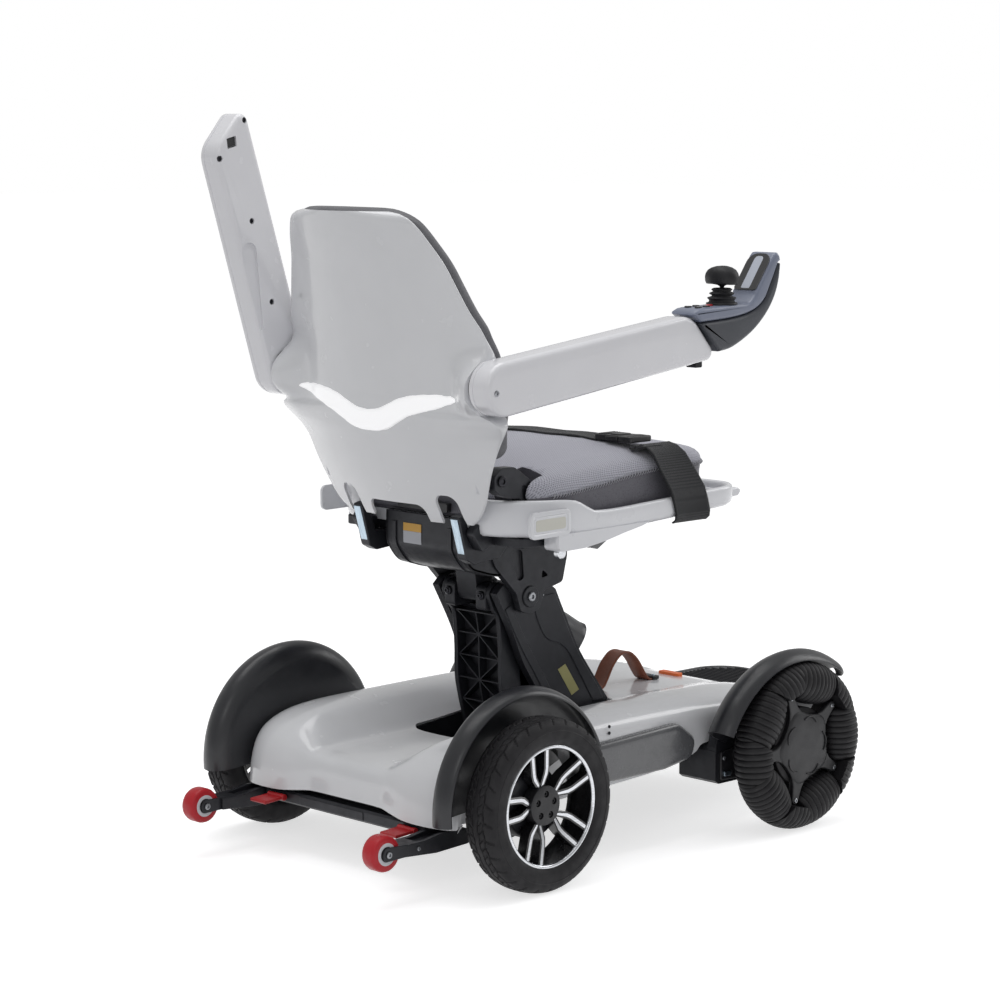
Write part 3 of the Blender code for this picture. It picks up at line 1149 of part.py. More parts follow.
def build_seat():
    low_y, high_y = TRAY_Y
    plan = seat_plan(TRAY_HALF_W, low_y, high_y, TRAY_CORNER, TRAY_REAR_CORNER)
    tray = piece("seat_shell", edged(plan, "Z", TRAY_Z[0], TRAY_Z[1], 0.003), SEAT_WHITE, "carrier_axis")
    join(tray, box((-TRAY_LIP_HALF_W, TRAY_LIP_HALF_W), TRAY_LIP_Y, TRAY_LIP_Z))
    join(tray, both_sides(lambda side: box(span(side, *TRAY_BOSS_X), TRAY_BOSS_Y,
                                           (TRAY_BOSS_Z, TRAY_Z[0] + 0.006))))
    cut(tray, prism(inset(plan, TRAY_WALL), "Z", TRAY_FLOOR_Z, TRAY_Z[1] + THROUGH))
    wide = TRAY_HALF_W + 0.02
    rim = [(TRAY_RIM[0][0], TRAY_Z[1] + 0.02)] + list(TRAY_RIM) + [(TRAY_RIM[-1][0], TRAY_Z[1] + 0.02)]
    cut(tray, prism(rim, "X", -wide, wide))
    ahead_y = TRAY_RISE[1][0] - 0.02
    below_z = TRAY_Z[0] - 0.01
    rise = list(TRAY_RISE) + [(ahead_y, TRAY_RISE[1][1]), (ahead_y, below_z), (TRAY_RISE[0][0], below_z)]
    cut(tray, prism(rise, "X", -wide, wide))
    cut(tray, box((-TRAY_NOTCH_HALF_W, TRAY_NOTCH_HALF_W), (TRAY_NOTCH_Y, high_y + 0.02),
                  (TRAY_Z[0] - 0.01, TRAY_Z[1] + 0.01)))
    tower_y = (TOWER_OUTLINE[0][0] - TOWER_CLEAR, TOWER_OUTLINE[-1][0] + TOWER_CLEAR)
    tower_x = (TOWER_X[0] - TOWER_CLEAR, TOWER_X[1] + TOWER_CLEAR)
    cut(tray, both_sides(lambda side: box(span(side, *tower_x), tower_y,
                                          (TRAY_Z[0] - 0.01, TRAY_FLOOR_Z + 0.01))))

    floor = TRAY_FLOOR_Z + GAP
    rings = []
    for shrink, height in ((0.012, 0.0), (0.006, 0.006), (0.0075, 0.016)):
        rings.append([(x, y, floor + height) for x, y in cushion_outline(shrink)])
    for shrink, share in ((0.0025, 0.55), (0.0, 0.85), (0.0035, 1.0)):
        rings.append([(x, y, floor + 0.016 + (cushion_edge(y) - floor - 0.016) * share)
                      for x, y in cushion_outline(shrink)])
    for shrink in (0.014, 0.035, 0.070, 0.115, 0.165):
        rings.append([(x, y, cushion_height(x, y)) for x, y in cushion_outline(shrink)])
    cushion = piece("seat_cushion", loft(rings), CUSHION_CLOTH, "carrier_axis", 50.0)
    cut(cushion, box((-UNDERCUT_HALF_W, UNDERCUT_HALF_W), UNDERCUT_Y, (floor - 0.01, UNDERCUT_TOP_Z)))
    cut(cushion, both_sides(lambda side: box(span(side, *EAR_SLOT_X), (EAR_SLOT_Y, CUSHION_Y[1] + 0.02),
                                             (floor - 0.01, 0.600))))

    lever = piece("seat_lever", prism(SEAT_LEVER_OUTLINE, "X", *SEAT_LEVER_X), PANEL_GREY, "seat_lever_axis")
    join(lever, across(SEAT_LEVER_PIVOT, SEAT_LEVER_R, SEAT_LEVER_X[0] - 0.001, SEAT_LEVER_X[1] + 0.001, 16))
    build_belt()


def belt_ring(x, z, y, half_w, up):
    """Return a belt's four corners; up is the way its thickness grows in x and z."""
    return [(x, y - half_w, z), (x, y + half_w, z),
            (x + up[0] * BELT_THICK, y + half_w, z + up[1] * BELT_THICK),
            (x + up[0] * BELT_THICK, y - half_w, z + up[1] * BELT_THICK)]


def belt_side(side, start_x):
    """Return half a belt, from its end at the buckle over the cushion and down the tray's side."""
    stops = [start_x + (side * 0.176 - start_x) * i / 8.0 for i in range(9)]
    rings = []
    for x in stops:
        z = max(cushion_height(x, BELT_Y - BELT_HALF_W), cushion_height(x, BELT_Y + BELT_HALF_W)) + BELT_LIFT
        rings.append(belt_ring(x, z, BELT_Y, BELT_HALF_W, (0.0, 1.0)))
    edge = cushion_edge(BELT_Y)
    side_x = TRAY_HALF_W + GAP
    drops = ((0.1925, edge + 0.010, 0.15, (0.45, 0.89)), (0.2010, edge - 0.002, 0.35, (0.85, 0.52)),
             (0.2080, 0.518, 0.60, (0.97, 0.24)), (side_x, 0.498, 0.80, (1.0, 0.0)),
             (side_x, BELT_LOW_Z, 1.0, (1.0, 0.0)))
    for x, z, share, up in drops:
        y = BELT_Y + (BELT_SIDE_Y - BELT_Y) * share
        half_w = BELT_HALF_W + (BELT_SIDE_HALF_W - BELT_HALF_W) * share
        rings.append(belt_ring(side * x, z, y, half_w, (side * up[0], up[1])))
    return loft(rings)


def build_belt():
    low, high = BUCKLE_X
    piece("lap_belt_left", belt_side(1.0, high + GAP), WEBBING, "carrier_axis")
    piece("lap_belt_right", belt_side(-1.0, low - GAP), WEBBING, "carrier_axis")
    top = max(cushion_height(x, BELT_Y + way * BUCKLE_HALF_W)
              for x in (low, high) for way in (-1.0, 0.0, 1.0))
    floor = top + 0.0006
    plan = [(low, BELT_Y - BUCKLE_HALF_W), (high, BELT_Y - BUCKLE_HALF_W), (high, BELT_Y + BUCKLE_HALF_W),
            (low, BELT_Y + BUCKLE_HALF_W)]
    piece("belt_buckle", edged(plan, "Z", floor, floor + BUCKLE_THICK, 0.0025), KNOB, "carrier_axis")


# back

def back_surface(x, z):
    """Return the y of the back shell's rear face."""
    half_w, edge_y, bulge, flatness = [between(BACK_ROWS, z, column) for column in (1, 2, 3, 4)]
    return edge_y + bulge * (1.0 - (abs(x) / half_w) ** flatness)


def back_row(row):
    """Return one row of the back shell, from its left edge to its right edge."""
    height, half_w = row[:2]
    half = [(half_w * share, back_surface(half_w * share, height)) for share in BACK_COLUMNS]
    left = [(x, y, height) for x, y in reversed(half)]
    right = [(-x, y, height) for x, y in half[1:]]
    return left + right


def notch(low_x, high_x, top_z):
    """Return a round-topped cutter that opens the back's lower edge."""
    radius = (high_x - low_x) / 2.0 * 0.8
    low_z = BACK_ROWS[0][0] - 0.02
    corners = ((low_x, low_z, 0.0001), (high_x, low_z, 0.0001), (high_x, top_z, radius),
               (low_x, top_z, radius))
    return prism(rounded(corners, 4), "Y", -0.080, 0.090)


def cushion_rear(x, z):
    """Return the y of the back cushion's rear face, just in front of the shell."""
    look = BACK_CUSHION_LOOK
    nearest = min(back_surface(x, z + step) for step in (-look, 0.0, look))
    lean = (back_surface(x + look / 2.0, z) - back_surface(x - look / 2.0, z)) / look
    return nearest - BACK_WALL * math.hypot(1.1, lean) - BACK_CUSHION_CLEAR


def swelling(side):
    """Return the swelling of the back that carries an arm, flush with the shell's front."""
    outline = arc(ARM_PIVOT, ARM_DISC_R, 0.0, 345.0, 23)
    rings = []
    for x, size in SWELL_STEPS:
        ring = []
        for y, z in outline:
            z = SWELL_MIDDLE[1] + (z - SWELL_MIDDLE[1]) * size
            y = SWELL_MIDDLE[0] + (y - SWELL_MIDDLE[0]) * size
            ring.append((side * x, max(y, back_surface(x, z) - BACK_WALL / 2.0), z))
        rings.append(ring)
    bm = loft(rings)
    bmesh.ops.triangulate(bm, faces=bm.faces)
    return bm


def build_back():
    back = sheet("back_shell", [back_row(row) for row in BACK_ROWS], BACK_WALL, WHITE, "back_axis")
    cut(back, combined(notch(*NOTCH_X, NOTCH_TOP_Z), notch(-NOTCH_X[1], -NOTCH_X[0], NOTCH_TOP_Z),
                       notch(-CENTRE_CUT_HALF_W, CENTRE_CUT_HALF_W, CENTRE_CUT_TOP_Z)))
    join(back, both_sides(lambda side: prism(EAR_OUTLINE, "X", *span(side, *EAR_X))))
    join(back, both_sides(lambda side: across(BACK_PIVOT, EAR_R, *span(side, *EAR_X), 24)))
    cut(back, both_sides(lambda side: across(BACK_PIVOT, EAR_PIN_R + RUNNING,
                                             *span(side, EAR_X[0] - THROUGH, EAR_X[1] + THROUGH))))
    join(back, both_sides(swelling))
    pin_x = (ARM_X[0] - THROUGH, ARM_X[0] + ARM_PIN_DEEP)
    join(back, both_sides(lambda side: across(ARM_PIVOT, ARM_PIN_R, *span(side, *pin_x), 20)))
    rings = []
    for height, front_y, follow in BACK_CUSHION_FRONT:
        half = min(between(BACK_ROWS, height) - BACK_CUSHION_SIDE, BACK_CUSHION_MAX_HALF_W)
        squeeze = 0.012 if height in (BACK_CUSHION_FRONT[0][0], BACK_CUSHION_FRONT[-1][0]) else 0.0
        rear = []
        front = []
        for share in BACK_COLUMNS[:-1]:
            x = half * share
            rear.append((x, cushion_rear(x, height)))
            crown = BACK_CUSHION_CROWN * (1.0 - share ** 3) - squeeze
            front.append((x, front_y + follow * (1.0 - share ** 2) - crown))
        side_y = (rear[-1][1] + front[-1][1]) / 2.0
        depth = rear[-1][1] - front[-1][1]
        rear.append((half, min(side_y + depth * 0.3, cushion_rear(half, height))))
        front.append((half, side_y - depth * 0.3))
        loop = [(x, y) for x, y in rear] + [(x, y) for x, y in reversed(front)]
        mirrored = [(-x, y) for x, y in front[1:]] + [(-x, y) for x, y in reversed(rear[1:])]
        rings.append([(x, y, height) for x, y in loop + mirrored])
    piece("back_cushion", loft(rings), BACK_CLOTH, "back_axis", 50.0)


# arms and controller

def arm_outline(shorter):
    """Return the arm's side outline; shorter moves its front end back."""
    front = [(y + shorter, z) for y, z in (ARM_TOP_FRONT, ARM_SHOULDER, ARM_LOW_CORNER, ARM_LOW_FRONT)]
    return arc(ARM_PIVOT, ARM_DISC_R, -98.0, 83.0, 12) + front


def build_arms():
    right = piece("arm_right", edged(arm_outline(0.0), "X", -ARM_X[1], -ARM_X[0], ARM_EDGE), WHITE,
                  "arm_axis_right")
    left_mesh = edged(arm_outline(LEFT_ARM_SHORTER), "X", ARM_X[0], ARM_X[1], ARM_EDGE)
    pivot = Vector((0.0, *ARM_PIVOT))
    turn = Matrix.Rotation(-math.radians(LEFT_ARM_RAISE), 4, "X")
    left_mesh.transform(Matrix.Translation(pivot) @ turn @ Matrix.Translation(-pivot))
    left = piece("arm_left", left_mesh, WHITE, "arm_axis_left")
    bore_x = (ARM_X[0] - THROUGH, ARM_X[0] + ARM_PIN_DEEP + 0.001)
    cut(right, across(ARM_PIVOT, ARM_PIN_R + RUNNING, *span(-1.0, *bore_x), 20))
    cut(left, across(ARM_PIVOT, ARM_PIN_R + RUNNING, *span(1.0, *bore_x), 20))


def build_controller():
    low, high = span(-1.0, *CONTROL_X)
    on = "arm_axis_right"
    slant = (Vector(ARM_LOW_CORNER) - Vector(ARM_SHOULDER)).normalized()
    off = Vector((-slant.y, slant.x)) * -2.0 * GAP
    start = Vector(ARM_SHOULDER) + off + slant * 0.002
    base_outline = [tuple(start), tuple(Vector(ARM_LOW_CORNER) + off)] + list(BASE_LOW[1:]) + list(SEAM)
    piece("controller_base", edged(base_outline, "X", low, high, CONTROL_EDGE), HANDSET, on)
    lift = 2.0 * GAP
    seam = [(y + lift * 0.4, z + lift) for y, z in SEAM]
    shoulder = (ARM_SHOULDER[0], ARM_SHOULDER[1] + lift)
    cover_outline = list(COVER_REAR) + [COVER_FLAT_END] + list(COVER_SCREEN[:-1])
    cover_outline += [(COVER_SCREEN[-1][0], COVER_SCREEN[-1][1] + lift)] + seam + [shoulder]
    cover = piece("controller_cover", prism(cover_outline, "X", low, high), HANDSET_TOP, on)
    well = rod("Z", (STICK_X, STICK_Y, STICK_Z), STICK_WELL_R, -STICK_WELL_DEEP, 0.02, 28)
    button_bores = []
    for x_off, y in BUTTON_PLACES:
        top = between((COVER_REAR[-1], COVER_FLAT_END), y)
        middle = (STICK_X + x_off, y, top)
        button_bores.append(rod("Z", middle, BUTTON_R + BUTTON_CLEAR, -BUTTON_DEEP, 0.01, 16))
    cut(cover, combined(well, *button_bores))

    centre = (STICK_X, STICK_Y, STICK_Z)
    ball = [(-BOOT_FLAT_DROP, 0.0)]
    for degrees in BOOT_BALL_DEGREES:
        angle = math.radians(degrees)
        ball.append((BOOT_BALL_R * math.sin(angle), BOOT_BALL_R * math.cos(angle)))
    boot_top = BOOT_FOLDS[-1][0]
    ball += list(BOOT_FOLDS) + [(boot_top, 0.0)]
    boot = piece("joystick_boot", turned(ball, "Z", centre, 24), RUBBER, "stick_axis")
    slot_x, slot_y = BOOT_SLOT
    cut(boot, box((STICK_X - slot_x, STICK_X + slot_x), (STICK_Y - slot_y, STICK_Y + slot_y),
                  (STICK_Z - 0.01, STICK_Z + boot_top + 0.01)))
    profile = ((-0.001, 0.0), (-0.001, STICK_R)) + KNOB_PROFILE
    piece("joystick", turned(profile, "Z", centre, 24), KNOB, "stick_axis")

    for number, (x_off, y) in enumerate(BUTTON_PLACES, 1):
        top = between((COVER_REAR[-1], COVER_FLAT_END), y)
        material = RED if number == len(BUTTON_PLACES) else KNOB
        low_z = -BUTTON_DEEP + BUTTON_TRAVEL + 0.0008
        cap = turned(((low_z, 0.0), (low_z, BUTTON_R), (BUTTON_STANDS - 0.0008, BUTTON_R),
                      (BUTTON_STANDS, BUTTON_R - 0.001), (BUTTON_STANDS, 0.0)),
                     "Z", (STICK_X + x_off, y, top), 16)
        piece(f"button_{number}", cap, material, on)


build_body()
build_chassis()
build_anti_tip()
build_footplate()
build_drive_wheels()
build_omni_wheels()
build_fenders()
build_leg()
build_strut()
build_carrier()
build_seat()
build_back()
build_arms()
build_controller()
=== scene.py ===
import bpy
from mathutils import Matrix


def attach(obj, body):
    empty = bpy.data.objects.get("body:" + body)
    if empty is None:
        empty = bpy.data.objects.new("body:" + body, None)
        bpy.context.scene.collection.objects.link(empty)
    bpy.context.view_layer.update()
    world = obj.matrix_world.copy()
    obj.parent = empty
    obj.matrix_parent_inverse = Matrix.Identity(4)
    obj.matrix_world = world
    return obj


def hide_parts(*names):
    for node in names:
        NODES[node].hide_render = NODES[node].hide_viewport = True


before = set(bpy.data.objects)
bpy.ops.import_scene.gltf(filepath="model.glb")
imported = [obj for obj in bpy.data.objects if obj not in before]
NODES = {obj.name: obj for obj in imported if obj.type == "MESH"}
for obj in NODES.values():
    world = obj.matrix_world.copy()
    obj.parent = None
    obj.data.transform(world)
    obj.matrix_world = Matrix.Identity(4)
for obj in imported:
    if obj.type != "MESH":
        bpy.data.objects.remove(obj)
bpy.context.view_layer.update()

from math import acos, cos, exp, hypot, pi, radians, sin, sqrt, tan

import bmesh
import bpy
from mathutils import Matrix, Vector

# Lengths are in metres, rows in mm() in millimetres. Places along y are measured from the rear axle's line.
REAR_Y = 0.296
SIDES = ((1.0, "left"), (-1.0, "right"))
ENDS = ((1.0, "out"), (-1.0, "in"))
AXES = {"X": 0, "Y": 1, "Z": 2}


def mm(*rows):
    """Turn rows of millimetres into metres."""
    return [tuple(value / 1000.0 for value in row) for row in rows]


def sided(side, a, b):
    """Return two places on one side of the middle, the lower one first."""
    return sorted((side * a, side * b))


# materials

def srgb(*rgb):
    """Turn 0-255 screen values into a linear colour."""
    linear = []
    for value in rgb:
        v = value / 255.0
        linear.append(v / 12.92 if v <= 0.04045 else ((v + 0.055) / 1.055) ** 2.4)
    return (*linear, 1.0)


class Look:
    """A small builder of node materials."""

    def __init__(self, name, colour, rough, metallic=0.0, **sockets):
        self.mat = bpy.data.materials.new(name)
        self.mat.use_nodes = True
        self.tree = self.mat.node_tree
        self.shader = self.tree.nodes["Principled BSDF"]
        self.colour = srgb(*colour)
        self.shader.inputs["Base Color"].default_value = self.colour
        self.shader.inputs["Roughness"].default_value = rough
        self.shader.inputs["Metallic"].default_value = metallic
        for key, value in sockets.items():
            self.shader.inputs[key.replace("_", " ")].default_value = value
        self.rough = rough
        self.bumped = None
        coords = self.node("ShaderNodeTexCoord")
        self.place = coords.outputs["Object"]

    def node(self, kind, **settings):
        made = self.tree.nodes.new(kind)
        for key, value in settings.items():
            setattr(made, key, value)
        return made

    def link(self, a, b):
        self.tree.links.new(a, b)

    def math(self, operation, a, b=None):
        made = self.node("ShaderNodeMath", operation=operation)
        for socket, value in zip(made.inputs, (a, b)):
            if value is None:
                continue
            if isinstance(value, (int, float)):
                socket.default_value = value
            else:
                self.link(value, socket)
        return made.outputs[0]

    def scaled(self, x, y, z):
        made = self.node("ShaderNodeMapping")
        made.inputs["Scale"].default_value = (x, y, z)
        self.link(self.place, made.inputs["Vector"])
        return made.outputs[0]

    def noise(self, scale, detail=3.0, rough=0.55, vector=None):
        made = self.node("ShaderNodeTexNoise")
        made.inputs["Scale"].default_value = scale
        made.inputs["Detail"].default_value = detail
        made.inputs["Roughness"].default_value = rough
        self.link(vector or self.place, made.inputs["Vector"])
        return made.outputs["Fac"]

    def voronoi(self, scale):
        made = self.node("ShaderNodeTexVoronoi", feature="F1")
        made.inputs["Scale"].default_value = scale
        self.link(self.place, made.inputs["Vector"])
        return made.outputs["Distance"]

    def stretch(self, value, low, high, to_low=0.0, to_high=1.0):
        made = self.node("ShaderNodeMapRange")
        self.link(value, made.inputs["Value"])
        for key, number in (("From Min", low), ("From Max", high), ("To Min", to_low), ("To Max", to_high)):
            made.inputs[key].default_value = number
        return made.outputs[0]

    def tint(self, value, other, low=0.0, high=1.0):
        """Mix the base colour towards another where value goes from low to high."""
        mix = self.node("ShaderNodeMix", data_type="RGBA")
        self.link(self.stretch(value, low, high), mix.inputs["Factor"])
        base = self.shader.inputs["Base Color"]
        if base.is_linked:
            self.link(base.links[0].from_socket, mix.inputs["A"])
        else:
            mix.inputs["A"].default_value = self.colour
        mix.inputs["B"].default_value = srgb(*other)
        self.link(mix.outputs["Result"], base)
        return self

    def gloss(self, value, spread):
        """Vary the roughness by spread around its own value."""
        self.link(self.stretch(value, 0.3, 0.7, self.rough - spread, self.rough + spread),
            self.shader.inputs["Roughness"])

    def bump(self, value, distance, strength=1.0):
        made = self.node("ShaderNodeBump")
        made.inputs["Distance"].default_value = distance
        made.inputs["Strength"].default_value = strength
        self.link(value, made.inputs["Height"])
        if self.bumped:
            self.link(self.bumped, made.inputs["Normal"])
        self.bumped = made.outputs["Normal"]
        self.link(self.bumped, self.shader.inputs["Normal"])
        return self


def gloss_white(name, rgb, rough=0.24):
    look = Look(name, rgb, rough, Coat_Weight=0.6, Coat_Roughness=0.06, IOR=1.5)
    look.tint(look.noise(9.0), [v - 5 for v in rgb], 0.35, 0.75)
    look.gloss(look.noise(30.0), 0.04)
    look.bump(look.noise(55.0, 2.0), 0.00001, 0.15)
    return look.mat


def moulded(name, rgb, rough, grain=1400.0, depth=0.00006, coat=0.0, lift=10):
    look = Look(name, rgb, rough, Coat_Weight=coat, Coat_Roughness=0.15)
    look.tint(look.noise(14.0), [min(255, v + lift) for v in rgb], 0.45, 0.8)
    look.gloss(look.noise(60.0), 0.06)
    look.bump(look.voronoi(grain), depth, 0.8)
    return look.mat


def cast(name, rgb, rough=0.42):
    look = Look(name, rgb, rough, metallic=0.35)
    look.tint(look.noise(22.0), [v + 12 for v in rgb], 0.5, 0.85)
    look.gloss(look.noise(90.0), 0.08)
    look.bump(look.noise(900.0, 4.0, 0.7), 0.00012, 0.7)
    return look.mat


def metal(name, rgb, rough=0.25, brushed=(40.0, 40.0, 900.0)):
    look = Look(name, rgb, rough, metallic=1.0)
    streaks = look.noise(1.0, 4.0, 0.6, look.scaled(*brushed))
    look.tint(streaks, [v - 22 for v in rgb], 0.4, 0.75)
    look.gloss(streaks, 0.07)
    look.bump(streaks, 0.00002, 0.3)
    return look.mat


def rubber(name, rgb, rough=0.7, dust=26):
    look = Look(name, rgb, rough, Specular_IOR_Level=0.35)
    look.tint(look.noise(18.0, 5.0), [v + dust for v in rgb], 0.5, 0.9)
    look.gloss(look.noise(70.0), 0.1)
    look.bump(look.noise(1300.0, 3.0), 0.00012, 0.7)
    look.bump(look.noise(160.0, 3.0), 0.0002, 0.4)
    return look.mat


def mesh_cloth(name, rgb, hole_shade, axes="XY", pitch=0.0034):
    """A spacer mesh: rows of small openings, each row shifted by half."""
    look = Look(name, rgb, 0.85, Sheen_Weight=0.35, Sheen_Roughness=0.4, Specular_IOR_Level=0.2)
    parts = look.node("ShaderNodeSeparateXYZ")
    look.link(look.place, parts.inputs[0])
    third = parts.outputs[3 - AXES[axes[0]] - AXES[axes[1]]]
    a = look.math("MULTIPLY_ADD", third, 0.9)
    b = look.math("MULTIPLY_ADD", third, 0.6)
    look.link(parts.outputs[AXES[axes[0]]], a.node.inputs[2])
    look.link(parts.outputs[AXES[axes[1]]], b.node.inputs[2])
    turn = 2.0 * pi / pitch
    plus = look.math("SINE", look.math("MULTIPLY", look.math("ADD", a, b), turn * 0.5))
    minus = look.math("SINE", look.math("MULTIPLY", look.math("SUBTRACT", a, b), turn * 0.5))
    cells = look.math("MULTIPLY", plus, minus)
    thread = look.math("SINE", look.math("MULTIPLY", a, turn * 3.0))
    # The openings are tinted towards the darker hole colour: painted shade inside the holes.
    look.tint(cells, hole_shade, 0.15, 0.85)
    look.tint(look.noise(11.0, 3.0), [v - 14 for v in rgb], 0.5, 1.2)
    look.bump(cells, -0.0006, 0.8)
    look.bump(thread, 0.0001, 0.5)
    look.bump(look.noise(1600.0, 2.0), 0.0001, 0.5)
    return look.mat


def leather(name, rgb, rough=0.5, scale=520.0, lift=14):
    look = Look(name, rgb, rough, Specular_IOR_Level=0.4)
    cells = look.voronoi(scale)
    look.tint(look.noise(25.0, 4.0), [min(255, v + lift) for v in rgb], 0.4, 0.8)
    look.tint(cells, [max(0, v - 12) for v in rgb], 0.5, 1.0)
    look.gloss(look.noise(200.0), 0.08)
    look.bump(cells, 0.00022, 0.6)
    look.bump(look.noise(90.0, 4.0), 0.0004, 0.35)
    return look.mat


def webbing(name, rgb, along, across, pitch=0.0016):
    look = Look(name, rgb, 0.75, Sheen_Weight=0.25, Sheen_Roughness=0.5, Specular_IOR_Level=0.25)
    parts = look.node("ShaderNodeSeparateXYZ")
    look.link(look.place, parts.inputs[0])
    turn = 2.0 * pi / pitch
    warp = look.math("SINE", look.math("MULTIPLY", parts.outputs[AXES[across]], turn))
    weft = look.math("SINE", look.math("MULTIPLY", parts.outputs[AXES[along]], turn * 0.8))
    weave = look.math("MULTIPLY", warp, weft)
    look.tint(weave, [v + 16 for v in rgb], 0.0, 1.6)
    look.tint(look.noise(30.0), [v + 8 for v in rgb], 0.5, 1.0)
    look.bump(weave, 0.0003, 0.8)
    look.bump(look.noise(1400.0), 0.0001, 0.5)
    return look.mat


WHITE = gloss_white("shell_white", (226, 227, 230))
ARM_WHITE = gloss_white("arm_white", (232, 232, 236))
SEAT_WHITE = gloss_white("seat_white", (230, 231, 235), 0.3)
INNER_WHITE = moulded("inner_white", (214, 215, 220), 0.4, lift=4)
CASTING = cast("black_casting", (38, 39, 44))
BODY_BLACK = moulded("black_plastic", (30, 30, 33), 0.45)
FENDER = moulded("fender_black", (36, 37, 41), 0.34, 1800.0, 0.00004, coat=0.12, lift=5)
PANEL = moulded("panel_grey", (84, 85, 88), 0.26, 1500.0, 0.00003, coat=0.5, lift=8)
TYRE = rubber("tyre_black", (24, 23, 26), 0.62, 14)
ROLLER = rubber("roller_black", (24, 23, 26), 0.55, 12)
RIM_BLACK = moulded("rim_black", (22, 22, 24), 0.22, 1600.0, 0.00003, coat=0.6, lift=6)
SILVER = metal("machined_silver", (214, 216, 220), 0.2)
STEEL = metal("pale_steel", (186, 202, 214), 0.3, (300.0, 40.0, 40.0))
SCREW = metal("screw_steel", (150, 152, 156), 0.28)
DARK_SCREW = metal("dark_screw", (60, 60, 64), 0.35)
RED = rubber("red_rubber", (188, 34, 44), 0.36, 10)
RED_PAINT = moulded("red_paint", (176, 30, 36), 0.35, lift=6)
ORANGE = moulded("orange_plastic", (226, 106, 44), 0.4, lift=8)
STRIP = Look("light_strip", (250, 250, 252), 0.18, Coat_Weight=0.5, Emission_Strength=0.35)
STRIP.shader.inputs["Emission Color"].default_value = (1.0, 1.0, 1.0, 1.0)
STRIP = STRIP.bump(STRIP.voronoi(300.0), 0.00005, 0.3).mat
# The second colour of each mesh is painted shade for its openings.
SEAT_MESH = mesh_cloth("seat_mesh", (190, 190, 200), (128, 128, 140), "XY")
BACK_MESH = mesh_cloth("back_mesh", (112, 112, 118), (70, 70, 76), "XZ")
SIDE_LEATHER = leather("side_leather", (96, 95, 102))
BACK_LEATHER = leather("back_leather", (102, 102, 106))
STRAP = leather("strap_leather", (128, 72, 50), 0.45, 700.0, 22)
THREAD = webbing("thread", (176, 176, 182), "X", "Y", 0.0008)
BELT_WEB = webbing("belt_web", (26, 27, 30), "X", "Y")
BUCKLE = moulded("buckle_black", (26, 26, 28), 0.38, 1500.0, 0.00004)
RUBBER = rubber("black_rubber", (28, 28, 31), 0.6, 14)
KNOB = rubber("knob_black", (26, 26, 29), 0.5, 12)
HANDSET = moulded("handset_dark", (58, 61, 68), 0.46, 1700.0, 0.00005, coat=0.05, lift=8)
HANDSET_TOP = moulded("handset_top", (120, 127, 146), 0.36, 1700.0, 0.00004, coat=0.2, lift=8)
GLASS = moulded("screen_glass", (16, 17, 21), 0.06, 900.0, 0.00001, coat=1.0, lift=3)
# A pale glossy colour that stands for light: the strip on the screen is a painted reflection and the spots on
# the tops of buttons 1 to 4 are painted highlights.
PAINTED_GLARE = moulded("painted_glare", (186, 192, 204), 0.15, 900.0, 0.00001, coat=0.6, lift=4)

CAD_LOOKS = {"chassis_frame": CASTING, "rear_bar": CASTING, "body_shell": WHITE, "battery_pack": BODY_BLACK,
    "control_module": BODY_BLACK, "fold_motor": CASTING, "footplate": FENDER, "front_leg": CASTING,
    "rear_strut": CASTING, "seat_carrier": CASTING, "seat_shell": SEAT_WHITE, "back_shell": WHITE,
    "seat_cushion": SEAT_MESH, "back_cushion": BACK_MESH, "seat_lever": BODY_BLACK, "carry_strap": STRAP,
    "belt_buckle": BUCKLE, "controller_base": HANDSET, "controller_cover": HANDSET_TOP, "joystick": KNOB,
    "joystick_boot": RUBBER}
for start, look in (("side_panel", PANEL), ("rear_fender", FENDER), ("front_fender", FENDER),
        ("drive_tyre", TYRE), ("drive_rim", RIM_BLACK), ("drive_motor", CASTING), ("omni_hub", RIM_BLACK),
        ("omni_roller", ROLLER), ("anti_tip_arm", CASTING), ("anti_tip_wheel", RED),
        ("freewheel_lever", RED_PAINT), ("arm_", ARM_WHITE), ("lap_belt", BELT_WEB), ("button_", KNOB)):
    for name in NODES:
        if name.startswith(start):
            CAD_LOOKS[name] = look
CAD_LOOKS["button_5"] = RED_PAINT
for name, thing in NODES.items():
    look = CAD_LOOKS[name]
    if not thing.material_slots:
        thing.data.materials.append(look)
    for place in thing.material_slots:
        place.material = look


# shapes

def outward(bm):
    bmesh.ops.recalc_face_normals(bm, faces=bm.faces)
    return bm


def welded(bm, reach):
    bmesh.ops.remove_doubles(bm, verts=bm.verts, dist=reach)


def placed(name, data):
    thing = bpy.data.objects.new(name, data)
    bpy.context.collection.objects.link(thing)
    return thing


def spot(axis, a, b, along):
    """Place a cross-section point (a, b) at a place along an axis."""
    if axis == "X":
        return Vector((along, a + REAR_Y, b))
    if axis == "Y":
        return Vector((a, along + REAR_Y, b))
    return Vector((a, b + REAR_Y, along))


def ringed(bm, rings, closed=True, capped=True):
    """Join rings of points into a skin."""
    grid = [[bm.verts.new(point) for point in ring] for ring in rings]
    for low, high in zip(grid, grid[1:]):
        count = len(low)
        for i in range(count if closed else count - 1):
            j = (i + 1) % count
            bm.faces.new((low[i], low[j], high[j], high[i]))
    if closed and capped:
        bm.faces.new(list(reversed(grid[0])))
        bm.faces.new(grid[-1])
    return bm


def loft(rings, capped=True):
    """Return a closed skin through rings given as (x, y, z) with y from the rear axle."""
    bm = bmesh.new()
    ringed(bm, [[Vector((x, y + REAR_Y, z)) for x, y, z in ring] for ring in rings], True, capped)
    return outward(bm)


def prism(outline, axis, low, high):
    bm = bmesh.new()
    ringed(bm, [[spot(axis, a, b, along) for a, b in outline] for along in (low, high)])
    return outward(bm)


def box(x, y, z):
    return prism([(x[0], y[0]), (x[1], y[0]), (x[1], y[1]), (x[0], y[1])], "Z", *z)


